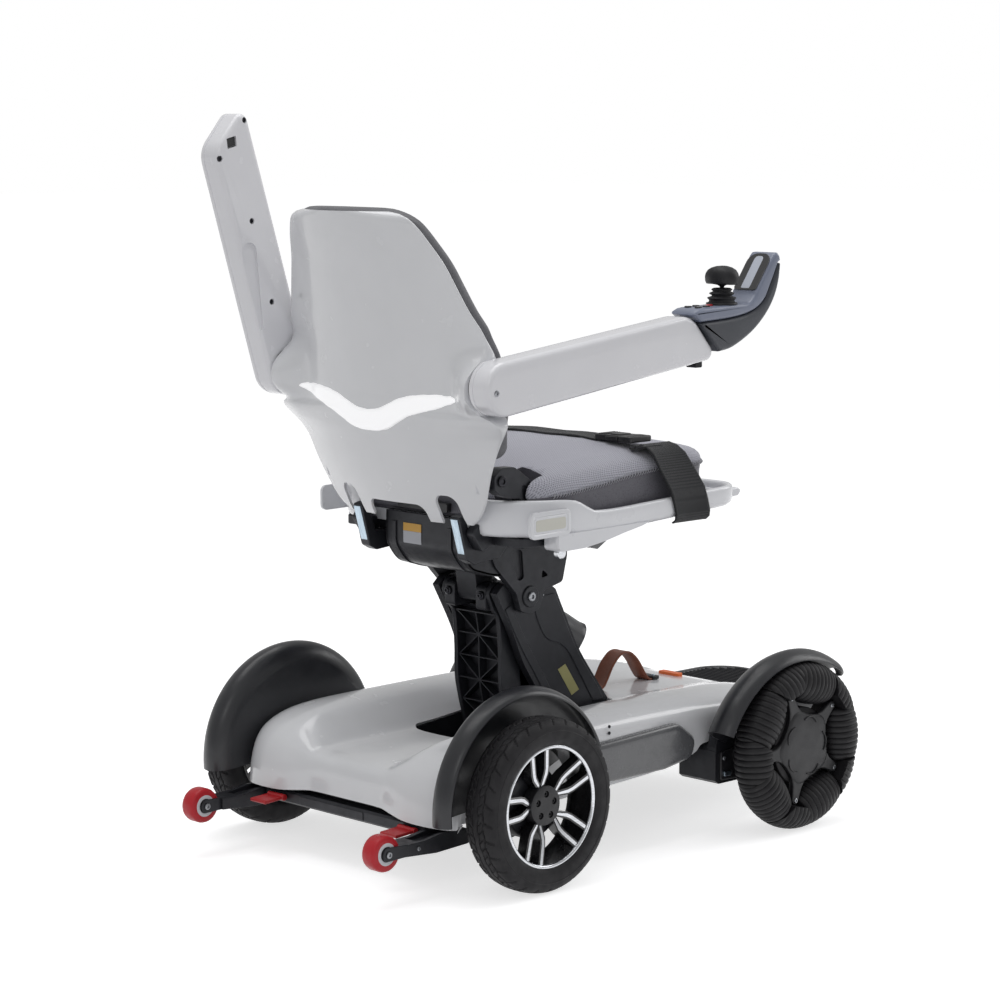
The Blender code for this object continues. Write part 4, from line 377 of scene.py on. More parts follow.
def arc(centre, radius, start, end, steps):
    """Points on an arc, by degrees from the first axis towards the second."""
    points = []
    for i in range(steps + 1):
        angle = radians(start + (end - start) * i / steps)
        points.append((centre[0] + radius * cos(angle), centre[1] + radius * sin(angle)))
    return points


def rounded(corners, steps=5):
    """Return an outline whose corners (a, b, radius) are arcs."""
    outline = []
    count = len(corners)
    for i, (a, b, radius) in enumerate(corners):
        here = Vector((a, b))
        to_last = (Vector(corners[i - 1][:2]) - here)
        to_next = (Vector(corners[(i + 1) % count][:2]) - here)
        if radius <= 0.0:
            outline.append((a, b))
            continue
        u, v = to_last.normalized(), to_next.normalized()
        half = acos(max(-1.0, min(1.0, u.dot(v)))) / 2.0
        reach = min(radius / tan(half), 0.49 * min(to_last.length, to_next.length))
        r = reach * tan(half)
        middle = here + (u + v).normalized() * (r / sin(half))
        start = here + u * reach - middle
        turn = pi - 2.0 * half
        way = 1.0 if start.x * (here - middle).y - start.y * (here - middle).x > 0 else -1.0
        for k in range(steps + 1):
            angle = way * turn * k / steps
            c, s = cos(angle), sin(angle)
            outline.append((middle.x + start.x * c - start.y * s, middle.y + start.x * s + start.y * c))
    return outline


def oblong(a, b, radius, steps=5):
    """Return a rectangle, from a[0] to a[1] and b[0] to b[1], with round corners."""
    return rounded([(a[i], b[k], radius) for i, k in ((0, 0), (1, 0), (1, 1), (0, 1))], steps)


def heading(points, i):
    """Return the direction of a path at one of its points."""
    return (points[min(i + 1, len(points) - 1)] - points[max(i - 1, 0)]).normalized()


def beside(path, off):
    """Return a flat path moved to its left."""
    points = [Vector(point) for point in path]
    ahead = [heading(points, i) for i in range(len(points))]
    return [here + Vector((-along.y, along.x)) * off for here, along in zip(points, ahead)]


def turned(profile, axis, centre, segments=48):
    """Turn (along, radius) points about an axis through centre."""
    bm = bmesh.new()
    cx, cy, cz = centre
    rings = []
    for along, radius in profile:
        ring = []
        for i in range(segments):
            angle = 2.0 * pi * i / segments
            c, s = radius * cos(angle), radius * sin(angle)
            if axis == "X":
                ring.append(Vector((cx + along, cy + REAR_Y + c, cz + s)))
            elif axis == "Y":
                ring.append(Vector((cx + c, cy + REAR_Y + along, cz + s)))
            else:
                ring.append(Vector((cx + c, cy + REAR_Y + s, cz + along)))
        rings.append(ring)
    ringed(bm, rings, True, False)
    welded(bm, 1e-6)
    bmesh.ops.holes_fill(bm, edges=[e for e in bm.edges if e.is_boundary])
    return outward(bm)


def tube(path, radius, sides=12, squash=None):
    """Sweep a circle, or an ellipse (radius, squash), along a path of (x, y, z) points."""
    points = [Vector((x, y + REAR_Y, z)) for x, y, z in path]
    bm = bmesh.new()
    rings = []
    up = None
    for i, point in enumerate(points):
        along = heading(points, i)
        if up is None:
            up = Vector((0, 0, 1)) if abs(along.z) < 0.9 else Vector((0, 1, 0))
        over = along.cross(up).normalized()
        up = over.cross(along).normalized()
        ring = []
        for k in range(sides):
            angle = 2.0 * pi * k / sides
            ring.append(point + over * (radius * cos(angle)) + up * ((squash or radius) * sin(angle)))
        rings.append(ring)
    ringed(bm, rings)
    welded(bm, 1e-7)
    return outward(bm)


def merged(*parts):
    """Put several meshes into one."""
    whole = parts[0]
    for part in parts[1:]:
        mesh = bpy.data.meshes.new("joined")
        part.to_mesh(mesh)
        whole.from_mesh(mesh)
        bpy.data.meshes.remove(mesh)
        part.free()
    return whole


def moved(bm, matrix):
    bmesh.ops.transform(bm, matrix=matrix, verts=bm.verts)
    return bm


def mirrored(side, bm):
    """Put a mesh drawn for the left on its side."""
    return outward(moved(bm, Matrix.Diagonal((side, 1.0, 1.0, 1.0))))


def turn_about(axis, degrees, centre):
    """Return a turn about an axis through centre, whose y is from the rear axle."""
    pivot = Vector((centre[0], centre[1] + REAR_Y, centre[2]))
    return Matrix.Translation(pivot) @ Matrix.Rotation(radians(degrees), 4, axis) @ Matrix.Translation(-pivot)


def bevelled(thing, width, steps, degrees, harden=True):
    """Round a thing's sharp edges."""
    edge = thing.modifiers.new("Edge", "BEVEL")
    edge.width = width
    edge.segments = steps
    edge.limit_method = "ANGLE"
    edge.angle_limit = radians(degrees)
    edge.harden_normals = harden


def resharp(thing, degrees):
    thing.data.set_sharp_from_angle(angle=radians(degrees))


def piece(name, bm, look, body, nodes=(), bevel=0.0, steps=2, sharp=35.0, choose=None):
    """Make a visible piece. look may be a list, of which choose picks one by a face's middle and normal."""
    mesh = bpy.data.meshes.new(name)
    looks = look if isinstance(look, list) else [look]
    if choose:
        for face in bm.faces:
            middle = face.calc_center_median()
            face.material_index = choose(Vector((middle.x, middle.y - REAR_Y, middle.z)), face.normal)
    bm.to_mesh(mesh)
    bm.free()
    for one in looks:
        mesh.materials.append(one)
    mesh.polygons.foreach_set("use_smooth", [True] * len(mesh.polygons))
    mesh.set_sharp_from_angle(angle=radians(sharp))
    thing = placed(name, mesh)
    if bevel:
        bevelled(thing, bevel, steps, sharp)
    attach(thing, body)
    if nodes:
        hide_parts(*([nodes] if isinstance(nodes, str) else nodes))
    return thing


def pin(low, high, radius, centre, segments):
    """Return a plain cylinder along X between low and high, about (y, z)."""
    return turned([(low, 0.0), (low, radius), (high, radius), (high, 0.0)], "X", (0.0, *centre), segments)


def cut(thing, bm):
    """Cut a shape from a piece and apply it at once."""
    mesh = bpy.data.meshes.new("cutter")
    bm.to_mesh(mesh)
    bm.free()
    other = placed("cutter", mesh)
    step = thing.modifiers.new("Cut", "BOOLEAN")
    step.operation = "DIFFERENCE"
    step.solver = "EXACT"
    step.object = other
    while thing.modifiers.find("Cut") > 0:
        with bpy.context.temp_override(object=thing):
            bpy.ops.object.modifier_move_up(modifier="Cut")
    with bpy.context.temp_override(object=thing):
        bpy.ops.object.modifier_apply(modifier="Cut")
    bpy.data.objects.remove(other)
    bpy.data.meshes.remove(mesh)
    return thing


def table(rows, at, column=1):
    """Read a smooth curve through a column of rows, by its first column."""
    rows = sorted(rows, key=lambda row: row[0])
    if at <= rows[0][0]:
        return rows[0][column]
    if at >= rows[-1][0]:
        return rows[-1][column]
    i = next(k for k in range(len(rows) - 1) if rows[k + 1][0] >= at)
    x0, x1 = rows[i][0], rows[i + 1][0]
    y0, y1 = rows[i][column], rows[i + 1][column]

    def slope(k):
        if k <= 0 or k >= len(rows) - 1:
            return None
        a, b, c = rows[k - 1], rows[k], rows[k + 1]
        before = (b[column] - a[column]) / (b[0] - a[0])
        after = (c[column] - b[column]) / (c[0] - b[0])
        if before * after <= 0.0:
            return 0.0
        return 2.0 * before * after / (before + after)

    chord = (y1 - y0) / (x1 - x0)
    m0 = slope(i)
    m1 = slope(i + 1)
    m0 = chord if m0 is None else m0
    m1 = chord if m1 is None else m1
    t = (at - x0) / (x1 - x0)
    width = x1 - x0
    return ((2 * t ** 3 - 3 * t ** 2 + 1) * y0 + (t ** 3 - 2 * t ** 2 + t) * width * m0
        + (-2 * t ** 3 + 3 * t ** 2) * y1 + (t ** 3 - t ** 2) * width * m1)


def smoothstep(low, high, value):
    t = max(0.0, min(1.0, (value - low) / (high - low)))
    return t * t * (3.0 - 2.0 * t)


def screw(name, place, axis, way, radius, body, look=None, head=0.0016, socket=0.5):
    """A small screw head with a hexagon socket, facing way along an axis."""
    x, y, z = place
    inner = radius * socket
    profile = [(0.0, 0.0), (0.0, radius), (head * 0.7, radius), (head, radius * 0.82), (head, inner),
        (head * 0.3, inner * 0.95), (head * 0.3, 0.0)]
    bm = turned([(way * along, r) for along, r in profile], axis, (x, y, z), 18)
    return piece(name, bm, look or SCREW, body)


def dense(points, steps=4):
    """Return a Catmull-Rom path through points."""
    vectors = [Vector(p) for p in points]
    result = []
    for i, (a, b) in enumerate(zip(vectors, vectors[1:])):
        before, after = vectors[max(i - 1, 0)], vectors[min(i + 2, len(vectors) - 1)]
        for k in range(steps):
            t = k / steps
            result.append(0.5 * (2.0 * a + (b - before) * t + (2.0 * before - 5.0 * a + 4.0 * b
                - after) * t * t + (3.0 * a - before - 3.0 * b + after) * t ** 3))
    return result + [vectors[-1]]


def smooth_path(points, steps=4):
    return [tuple(point) for point in dense(points, steps)]


def screws(name, side, x, centre, reach, turns, radius, look=None):
    """Set screws on a circle round (y, z), at turns in degrees, on the outside of the base."""
    for number, turn in enumerate(turns):
        angle = radians(turn)
        place = (side * x, centre[0] + reach * cos(angle), centre[1] + reach * sin(angle))
        screw(f"{name}_{number}", place, "X", side, radius, "base", look)


# camera, floor and light

def studio():
    """Set the photograph's camera, a pale floor and soft light."""
    data = bpy.data.cameras.new("camera")
    data.sensor_width = 36.0
    data.lens = 105.12
    data.clip_end = 60.0
    camera = placed("camera", data)
    camera.location = (-2.9189, 2.6413 + REAR_Y, 1.0068)
    aim = Vector((0.3072, -0.4877 + REAR_Y, 0.42)) - camera.location
    camera.rotation_mode = "QUATERNION"
    camera.rotation_quaternion = aim.to_track_quat("-Z", "Y")
    bpy.context.scene.camera = camera

    bm = bmesh.new()
    corners = [bm.verts.new((x, y, 0.0)) for x, y in ((-30, -30), (30, -30), (30, 30), (-30, 30))]
    bm.faces.new(corners)
    mesh = bpy.data.meshes.new("floor")
    bm.to_mesh(mesh)
    floor = placed("floor", mesh)
    look = bpy.data.materials.new("floor")
    look.use_nodes = True
    tree = look.node_tree
    tree.nodes.clear()
    path = tree.nodes.new("ShaderNodeLightPath")
    plain = tree.nodes.new("ShaderNodeBsdfDiffuse")
    plain.inputs["Color"].default_value = (0.72, 0.72, 0.73, 1.0)
    glow = tree.nodes.new("ShaderNodeEmission")
    seen = tree.nodes.new("ShaderNodeMath")
    seen.operation = "MAXIMUM"
    tree.links.new(path.outputs["Is Camera Ray"], seen.inputs[0])
    tree.links.new(path.outputs["Is Glossy Ray"], seen.inputs[1])
    strength = tree.nodes.new("ShaderNodeMath")
    strength.operation = "MULTIPLY"
    strength.inputs[1].default_value = 0.66
    tree.links.new(seen.outputs[0], strength.inputs[0])
    tree.links.new(strength.outputs[0], glow.inputs["Strength"])
    both = tree.nodes.new("ShaderNodeAddShader")
    out = tree.nodes.new("ShaderNodeOutputMaterial")
    tree.links.new(plain.outputs[0], both.inputs[0])
    tree.links.new(glow.outputs[0], both.inputs[1])
    tree.links.new(both.outputs[0], out.inputs["Surface"])
    mesh.materials.append(look)

    world = bpy.data.worlds.new("studio")
    bpy.context.scene.world = world
    world.use_nodes = True
    tree = world.node_tree
    back = tree.nodes["Background"]
    path = tree.nodes.new("ShaderNodeLightPath")
    mix = tree.nodes.new("ShaderNodeMath")
    mix.operation = "MULTIPLY_ADD"
    mix.inputs[1].default_value = 0.5
    mix.inputs[2].default_value = 0.5
    tree.links.new(path.outputs["Is Camera Ray"], mix.inputs[0])
    tree.links.new(mix.outputs[0], back.inputs["Strength"])
    back.inputs["Color"].default_value = (1.0, 1.0, 1.0, 1.0)

    for name, place, target, size, power in (("top", (0.3, 0.2, 3.2), (0.0, 0.2, 0.3), (2.6, 2.0), 34.0),
            ("left", (-1.2, -3.0, 2.2), (0.0, 0.2, 0.4), (1.6, 2.0), 26.0),
            ("rear", (-2.4, 3.4, 2.6), (0.0, 0.2, 0.4), (1.4, 1.4), 10.0)):
        lamp = bpy.data.lights.new(name, "AREA")
        lamp.shape = "RECTANGLE"
        lamp.size, lamp.size_y = size
        lamp.energy = power
        thing = placed(name, lamp)
        thing.location = place
        thing.rotation_euler = (Vector(target) - Vector(place)).to_track_quat("-Z", "Y").to_euler()
    bpy.context.scene.view_settings.view_transform = "Standard"


studio()

# back

# height, half width, edge y, rearward bulge of the middle, how flat the middle is
BACK_ROWS = ((0.468, 0.124, -0.02, 0.018, 2.0), (0.48, 0.14, -0.0165, 0.021, 2.0),
    (0.5, 0.155, -0.0125, 0.0285, 2.0), (0.52, 0.165, -0.0075, 0.0345, 2.0),
    (0.545, 0.1765, -0.0025, 0.0405, 2.0), (0.57, 0.189, 0.0, 0.047, 2.0),
    (0.588, 0.2025, 0.004, 0.0485, 2.1), (0.6, 0.2125, 0.0065, 0.049, 2.3),
    (0.609, 0.2165, 0.006, 0.0515, 2.5), (0.6155, 0.213, 0.003, 0.055, 2.9),
    (0.62, 0.204, -0.003, 0.0615, 3.2), (0.624, 0.1964, -0.006, 0.064, 3.3),
    (0.64, 0.1964, -0.0085, 0.0675, 3.4), (0.661, 0.1964, -0.005, 0.0665, 3.2),
    (0.7, 0.196, 0.009, 0.059, 2.6), (0.73, 0.192, 0.0275, 0.0475, 2.2), (0.76, 0.1775, 0.04, 0.044, 2.0),
    (0.79, 0.165, 0.05, 0.043, 2.0), (0.82, 0.1525, 0.06, 0.043, 2.0), (0.85, 0.1375, 0.075, 0.04, 2.0),
    (0.865, 0.1285, 0.0825, 0.037, 2.0), (0.876, 0.119, 0.0885, 0.0345, 2.0),
    (0.8835, 0.106, 0.0925, 0.032, 2.0), (0.8875, 0.086, 0.095, 0.03, 2.0))
BACK_WALL = 0.0042
BACK_STEP_Z = 0.0045
ARM_PIVOT = (0.026, 0.661)
BACK_PIN = (-0.028, 0.531)
ARM_DISC_R = 0.036
SWELL_R = 0.0425
SWELL_TOP_Y = 0.0628
SWELL_X = (0.128, 0.188)


def back_curve(x, z):
    """Return the y of the back shell's rear face without its swellings."""
    half_w, edge_y, bulge, flatness = [table(BACK_ROWS, z, column) for column in (1, 2, 3, 4)]
    return edge_y + bulge * (1.0 - (abs(x) / half_w) ** flatness)


def back_face(x, z):
    """Return the y of the back shell's rear face."""
    plain = back_curve(x, z)
    off = abs(z - 0.657) / SWELL_R
    share = smoothstep(*SWELL_X, abs(x)) * exp(-(off ** 2.6))
    return plain + max(0.0, SWELL_TOP_Y - plain) * share


def mirrored_ring(half, z):
    """Return a level ring from its left half, whose ends lie in the middle."""
    return [(x, y, z) for x, y in half] + [(-x, y, z) for x, y in half[-2:0:-1]]


def back_ring(z, wall):
    """Return a ring round the shell's wall at one height."""
    half_w = table(BACK_ROWS, z)
    shares = [0.0, 0.12, 0.24, 0.36, 0.47, 0.57, 0.66, 0.73, 0.79, 0.84, 0.88, 0.915, 0.945, 0.97, 0.988]
    rear = [(half_w * s, back_face(half_w * s, z)) for s in shares]
    front = [(half_w * s, back_curve(half_w * s, z) - wall) for s in shares]
    rim = []
    for k in range(1, 6):
        share = k / 6.0
        rim.append((half_w * (0.988 + 0.012 * sin(pi * share) ** 0.5),
            rear[-1][1] + (front[-1][1] - rear[-1][1]) * share))
    return mirrored_ring(rear + rim + front[::-1], z)


def build_back():
    heights = []
    z = BACK_ROWS[0][0]
    top = BACK_ROWS[-1][0]
    while z < top - 0.004:
        heights.append(z)
        z += BACK_STEP_Z if z < 0.6 or z > 0.72 else BACK_STEP_Z * 0.6
    rings = [back_ring(BACK_ROWS[0][0] + 0.0004, BACK_WALL * 0.5)]
    rings += [back_ring(z, BACK_WALL) for z in heights[1:]]
    rings += [back_ring(top - 0.003, BACK_WALL), back_ring(top - 0.001, BACK_WALL * 0.75),
        back_ring(top, BACK_WALL * 0.3)]
    shell = piece("back_shell_skin", loft(rings), WHITE, "backrest", "back_shell", sharp=50.0)
    for low_x, high_x, top_z in mm((80, 114, 509), (-114, -80, 509), (-55, 55, 492)):
        radius = min(0.014, (high_x - low_x) / 2.0 * 0.85)
        corners = ((low_x - 0.003, 0.44, 0.0), (high_x + 0.003, 0.44, 0.0), (high_x, top_z, radius),
            (low_x, top_z, radius))
        cut(shell, prism(rounded(corners, 7), "Y", -0.08, 0.09))
    resharp(shell, 50.0)
    bevelled(shell, 0.0012, 2, 50.0)
    for side, word in SIDES:
        low, high = sided(side, 0.1375, 0.152)
        ear = mm((-28, 517, 0), (-3, 514, 0), (8.5, 548, 0), (-24, 546, 6))
        lobe = merged(prism(rounded(ear), "X", low, high), pin(low, high, 0.014, BACK_PIN, 40))
        piece(f"back_ear_{word}", lobe, INNER_WHITE, "backrest", bevel=0.0015)
        screw(f"back_ear_pin_{word}", (side * 0.1712, *BACK_PIN), "X", side, 0.0075, "seat", DARK_SCREW,
            0.002)
    build_strip()
    build_back_cushion()


def build_strip():
    """Lay the light strip on the shell: a wide smile that dips in the middle."""
    half = mm((0, 622.5, 591.5), (20, 624.5, 592.5), (38, 631, 597), (55, 638, 605), (72, 643, 613.5),
        (92, 646.2, 620.5), (115, 647.8, 626.5), (135, 648.2, 632.5), (148, 647.2, 636.8),
        (154.5, 645, 639.5), (157, 642.5, 641.5))
    count = 48
    bm = bmesh.new()
    rows = []
    for i in range(-count, count + 1):
        x = 0.157 * sin(i / count * pi / 2.0)
        high, low = table(half, abs(x)), table(half, abs(x), 2)
        row = []
        for k in range(9):
            share = k / 8.0
            z = high + (low - high) * share
            rise = 0.0011 * min(1.0, 2.2 * sin(pi * share) ** 0.6) * (1.0 if abs(i) < count else 0.0)
            row.append(bm.verts.new((x, back_face(x, z) + REAR_Y + rise - 0.0003, z)))
        rows.append(row)
    for a, b in zip(rows, rows[1:]):
        for k in range(8):
            bm.faces.new((a[k], b[k], b[k + 1], a[k + 1]))
    outward(bm)
    strip = piece("light_strip", bm, STRIP, "backrest", sharp=60.0)
    wall = strip.modifiers.new("Wall", "SOLIDIFY")
    wall.thickness = 0.0015
    wall.offset = -1.0


# height, y of the cushion's front edge, how far its middle is drawn back
BACK_CUSHION_FRONT = mm((560, -22, 24), (590, -24, 28), (620.5, -27, 32), (640, -28.5, 33), (661, -25, 33),
    (700, -11, 30), (730, 7.5, 26), (760, 20, 24), (790, 30, 23), (820, 40, 23), (850, 55, 22), (870, 65, 20),
    (893, 74.5, 16))


def back_pad_ring(z, shrink, deep):
    """Return a ring round the back cushion at one height; deep is how far its face stands out, 0 to 1."""
    half = min(table(BACK_ROWS, min(z, 0.8865)) + 0.0015, 0.1915) - shrink
    front_y, follow = table(BACK_CUSHION_FRONT, z), table(BACK_CUSHION_FRONT, z, 2)
    shares = [0.0, 0.15, 0.3, 0.44, 0.57, 0.68, 0.78, 0.86, 0.92, 0.96]
    rear, front = [], []
    for s in shares:
        x = half * s
        lean = (back_curve(x + 0.004, z) - back_curve(x - 0.004, z)) / 0.008
        back = back_curve(x, z) - BACK_WALL * hypot(1.0, lean) - 0.001
        face = front_y + follow * (1.0 - s ** 2) - 0.01 * (1.0 - s ** 4)
        middle = (back * 0.6 + face * 0.4)
        rear.append((x, middle + (back - middle) * max(deep, 0.3)))
        front.append((x, middle + (face - middle) * deep))
    rim = []
    for k in range(1, 5):
        angle = pi * k / 5.0
        share = 0.5 - 0.5 * cos(angle)
        rim.append((half * (0.96 + 0.04 * sin(angle) ** 0.6),
            rear[-1][1] + (front[-1][1] - rear[-1][1]) * share))
    return mirrored_ring(rear + rim + front[::-1], z)


def build_back_cushion():
    rings = []
    for z, shrink, deep in ((0.56, 0.016, 0.25), (0.5625, 0.008, 0.65), (0.568, 0.003, 0.9),
            (0.576, 0.0, 1.0)):
        rings.append(back_pad_ring(z, shrink, deep))
    z = 0.582
    while z < 0.872:
        rings.append(back_pad_ring(z, 0.0, 1.0))
        z += 0.0065
    for z, shrink, deep in ((0.876, 0.0, 1.0), (0.884, 0.001, 0.95), (0.889, 0.006, 0.75),
            (0.8925, 0.016, 0.3)):
        rings.append(back_pad_ring(z, shrink, deep))
    pad = loft(rings)

    def part(middle, normal):
        inside = abs(middle.x) < min(table(BACK_ROWS, min(middle.z, 0.8865)), 0.19) - 0.022
        return 1 if normal.y < -0.35 and inside and 0.585 < middle.z < 0.868 else 0

    cushion = piece("back_cushion_pad", pad, [BACK_LEATHER, BACK_MESH], "backrest", "back_cushion",
        sharp=180.0, choose=part)
    smooth = cushion.modifiers.new("Smooth", "SUBSURF")
    smooth.levels = 1
    smooth.render_levels = 1


# arms and controller

ARM_X = (0.197, 0.238)
ARM_EDGE = 0.0075


def drawn_in(outline, amount):
    """Move each side of an outline inward."""
    if amount == 0.0:
        return list(outline)
    area = sum(p[0] * q[1] - q[0] * p[1] for p, q in zip(outline, outline[1:] + outline[:1]))
    turn = 1.0 if area > 0.0 else -1.0
    count = len(outline)
    points = [Vector(point) for point in outline]
    normals, limits = [], []
    for i, here in enumerate(points):
        before = (here - points[i - 1]).normalized()
        after = (points[(i + 1) % count] - here).normalized()
        normal = Vector((-before.y - after.y, before.x + after.x)).normalized() * turn
        across = [other - here for other in points]
        room = min([gap.length for gap in across if gap.length > 1e-5
            and gap.dot(normal) > 0.85 * gap.length] + [1.0])
        normals.append(normal)
        limits.append(min(amount, 0.42 * room))
    for i in list(range(2 * count)) + list(range(2 * count, 0, -1)):
        here, near = i % count, (i - 1) % count
        reach = 0.3 * (points[here] - points[near]).length
        limits[here] = min(limits[here], limits[near] + reach)
        limits[near] = min(limits[near], limits[here] + reach)
    return [tuple(point + normal * limit) for point, normal, limit in zip(points, normals, limits)]


def layered(side, outline, rows):
    """Return a skin over a side outline (y, z): each row says x and how far the outline is drawn in."""
    return loft([[(side * x, y, z) for y, z in drawn_in(outline, inset)] for x, inset in rows])


def arm_outline(shorter=0.0):
    """Return the arm's side outline (y, z), lying forward."""
    disc = arc(ARM_PIVOT, ARM_DISC_R, -98.0, 83.0, 26)
    front = rounded(((disc[-1][0], disc[-1][1], 0.0), (-0.3272 + shorter, 0.7405, 0.036),
        (-0.3818 + shorter, 0.679, 0.012), (disc[0][0], disc[0][1], 0.0)), 9)
    return disc[1:-1] + front


def rounded_slab(outline, low, high, edge, side=1.0, groove=None):
    """Return a slab across X whose rims are rounded; groove is the place of a fine parting line."""
    sections = []
    for k in range(6):
        angle = radians(18.0 * k)
        sections.append((low + edge * (1.0 - sin(angle)), edge * (1.0 - cos(angle))))
    sections.reverse()
    far = [(high + low - x, drawn) for x, drawn in reversed(sections)]
    parting = []
    if groove:
        parting = [(groove - 0.0007, 0.0), (groove - 0.0003, 0.0008), (groove + 0.0003, 0.0008),
            (groove + 0.0007, 0.0)]
    return layered(side, outline, sections + parting + far)


def build_arms():
    low, high = ARM_X
    right = rounded_slab(arm_outline(), low, high, ARM_EDGE, -1.0, 0.2085)
    piece("arm_right_skin", right, ARM_WHITE, "armrest_right", "arm_right", sharp=48.0)
    screw("arm_right_screw", (-high + 0.0004, 0.047, 0.657), "X", -1.0, 0.0042, "armrest_right")
    pad = prism(rounded(mm((-348, 666, 2), (-362, 666, 2), (-362, 677.5, 0), (-348, 675.5, 0))), "X", -0.224,
        -0.206)
    piece("arm_right_stop", pad, RUBBER, "armrest_right", bevel=0.001)

    raised = turn_about("X", -99.0, (0.0, *ARM_PIVOT))
    left = moved(rounded_slab(arm_outline(0.035), low, high, ARM_EDGE, 1.0, 0.2265), raised)
    skin = piece("arm_left_skin", left, ARM_WHITE, "armrest_left", "arm_left", sharp=48.0)
    drop = arc((0.0965, 0.826), 0.0125, -20.0, 160.0, 12) + arc((0.079, 0.7215), 0.0055, 175.0, 350.0, 8)
    cut(skin, prism(drop, "X", low - 0.002, low + 0.0022))
    slot = rounded(mm((117, 970, 1), (133, 966, 1), (134.5, 980, 1), (118.5, 984, 1)))
    cut(skin, prism(slot, "X", low - 0.002, low + 0.006))
    piece("arm_left_plug", prism(drawn_in(slot, 0.0012), "X", low + 0.0025, low + 0.0059), BODY_BLACK,
        "armrest_left")
    for number, (y, z) in enumerate(mm((103, 1005), (146, 953), (92, 868), (58, 756)), 1):
        cut(skin, pin(low - 0.002, low + 0.003, 0.0042, (y, z), 24))
        screw(f"arm_left_screw_{number}", (low + 0.0029, y, z), "X", -1.0, 0.0036, "armrest_left", DARK_SCREW)
    resharp(skin, 48.0)
    for side, word, body in ((1.0, "left", "armrest_left"), (-1.0, "right", "armrest_right")):
        bush = turned(mm((0, 0), (0, 30), (0.8, 30.5), (1.2, 30), (1.2, 0)), "X",
            (side * (low - 0.0011), *ARM_PIVOT), 56)
        piece(f"arm_bush_{word}", bush, RUBBER, body)


CONTROL_X = (0.197, 0.244)
STICK_X = -(CONTROL_X[0] + CONTROL_X[1]) / 2.0
STICK = (STICK_X, -0.405, 0.7525)
FLAT = (-0.335, 0.749, -0.4374, 0.7525)


def flat_top(y):
    """Return the height of the controller's flat top."""
    share = (y - FLAT[0]) / (FLAT[2] - FLAT[0])
    return FLAT[1] + (FLAT[3] - FLAT[1]) * share


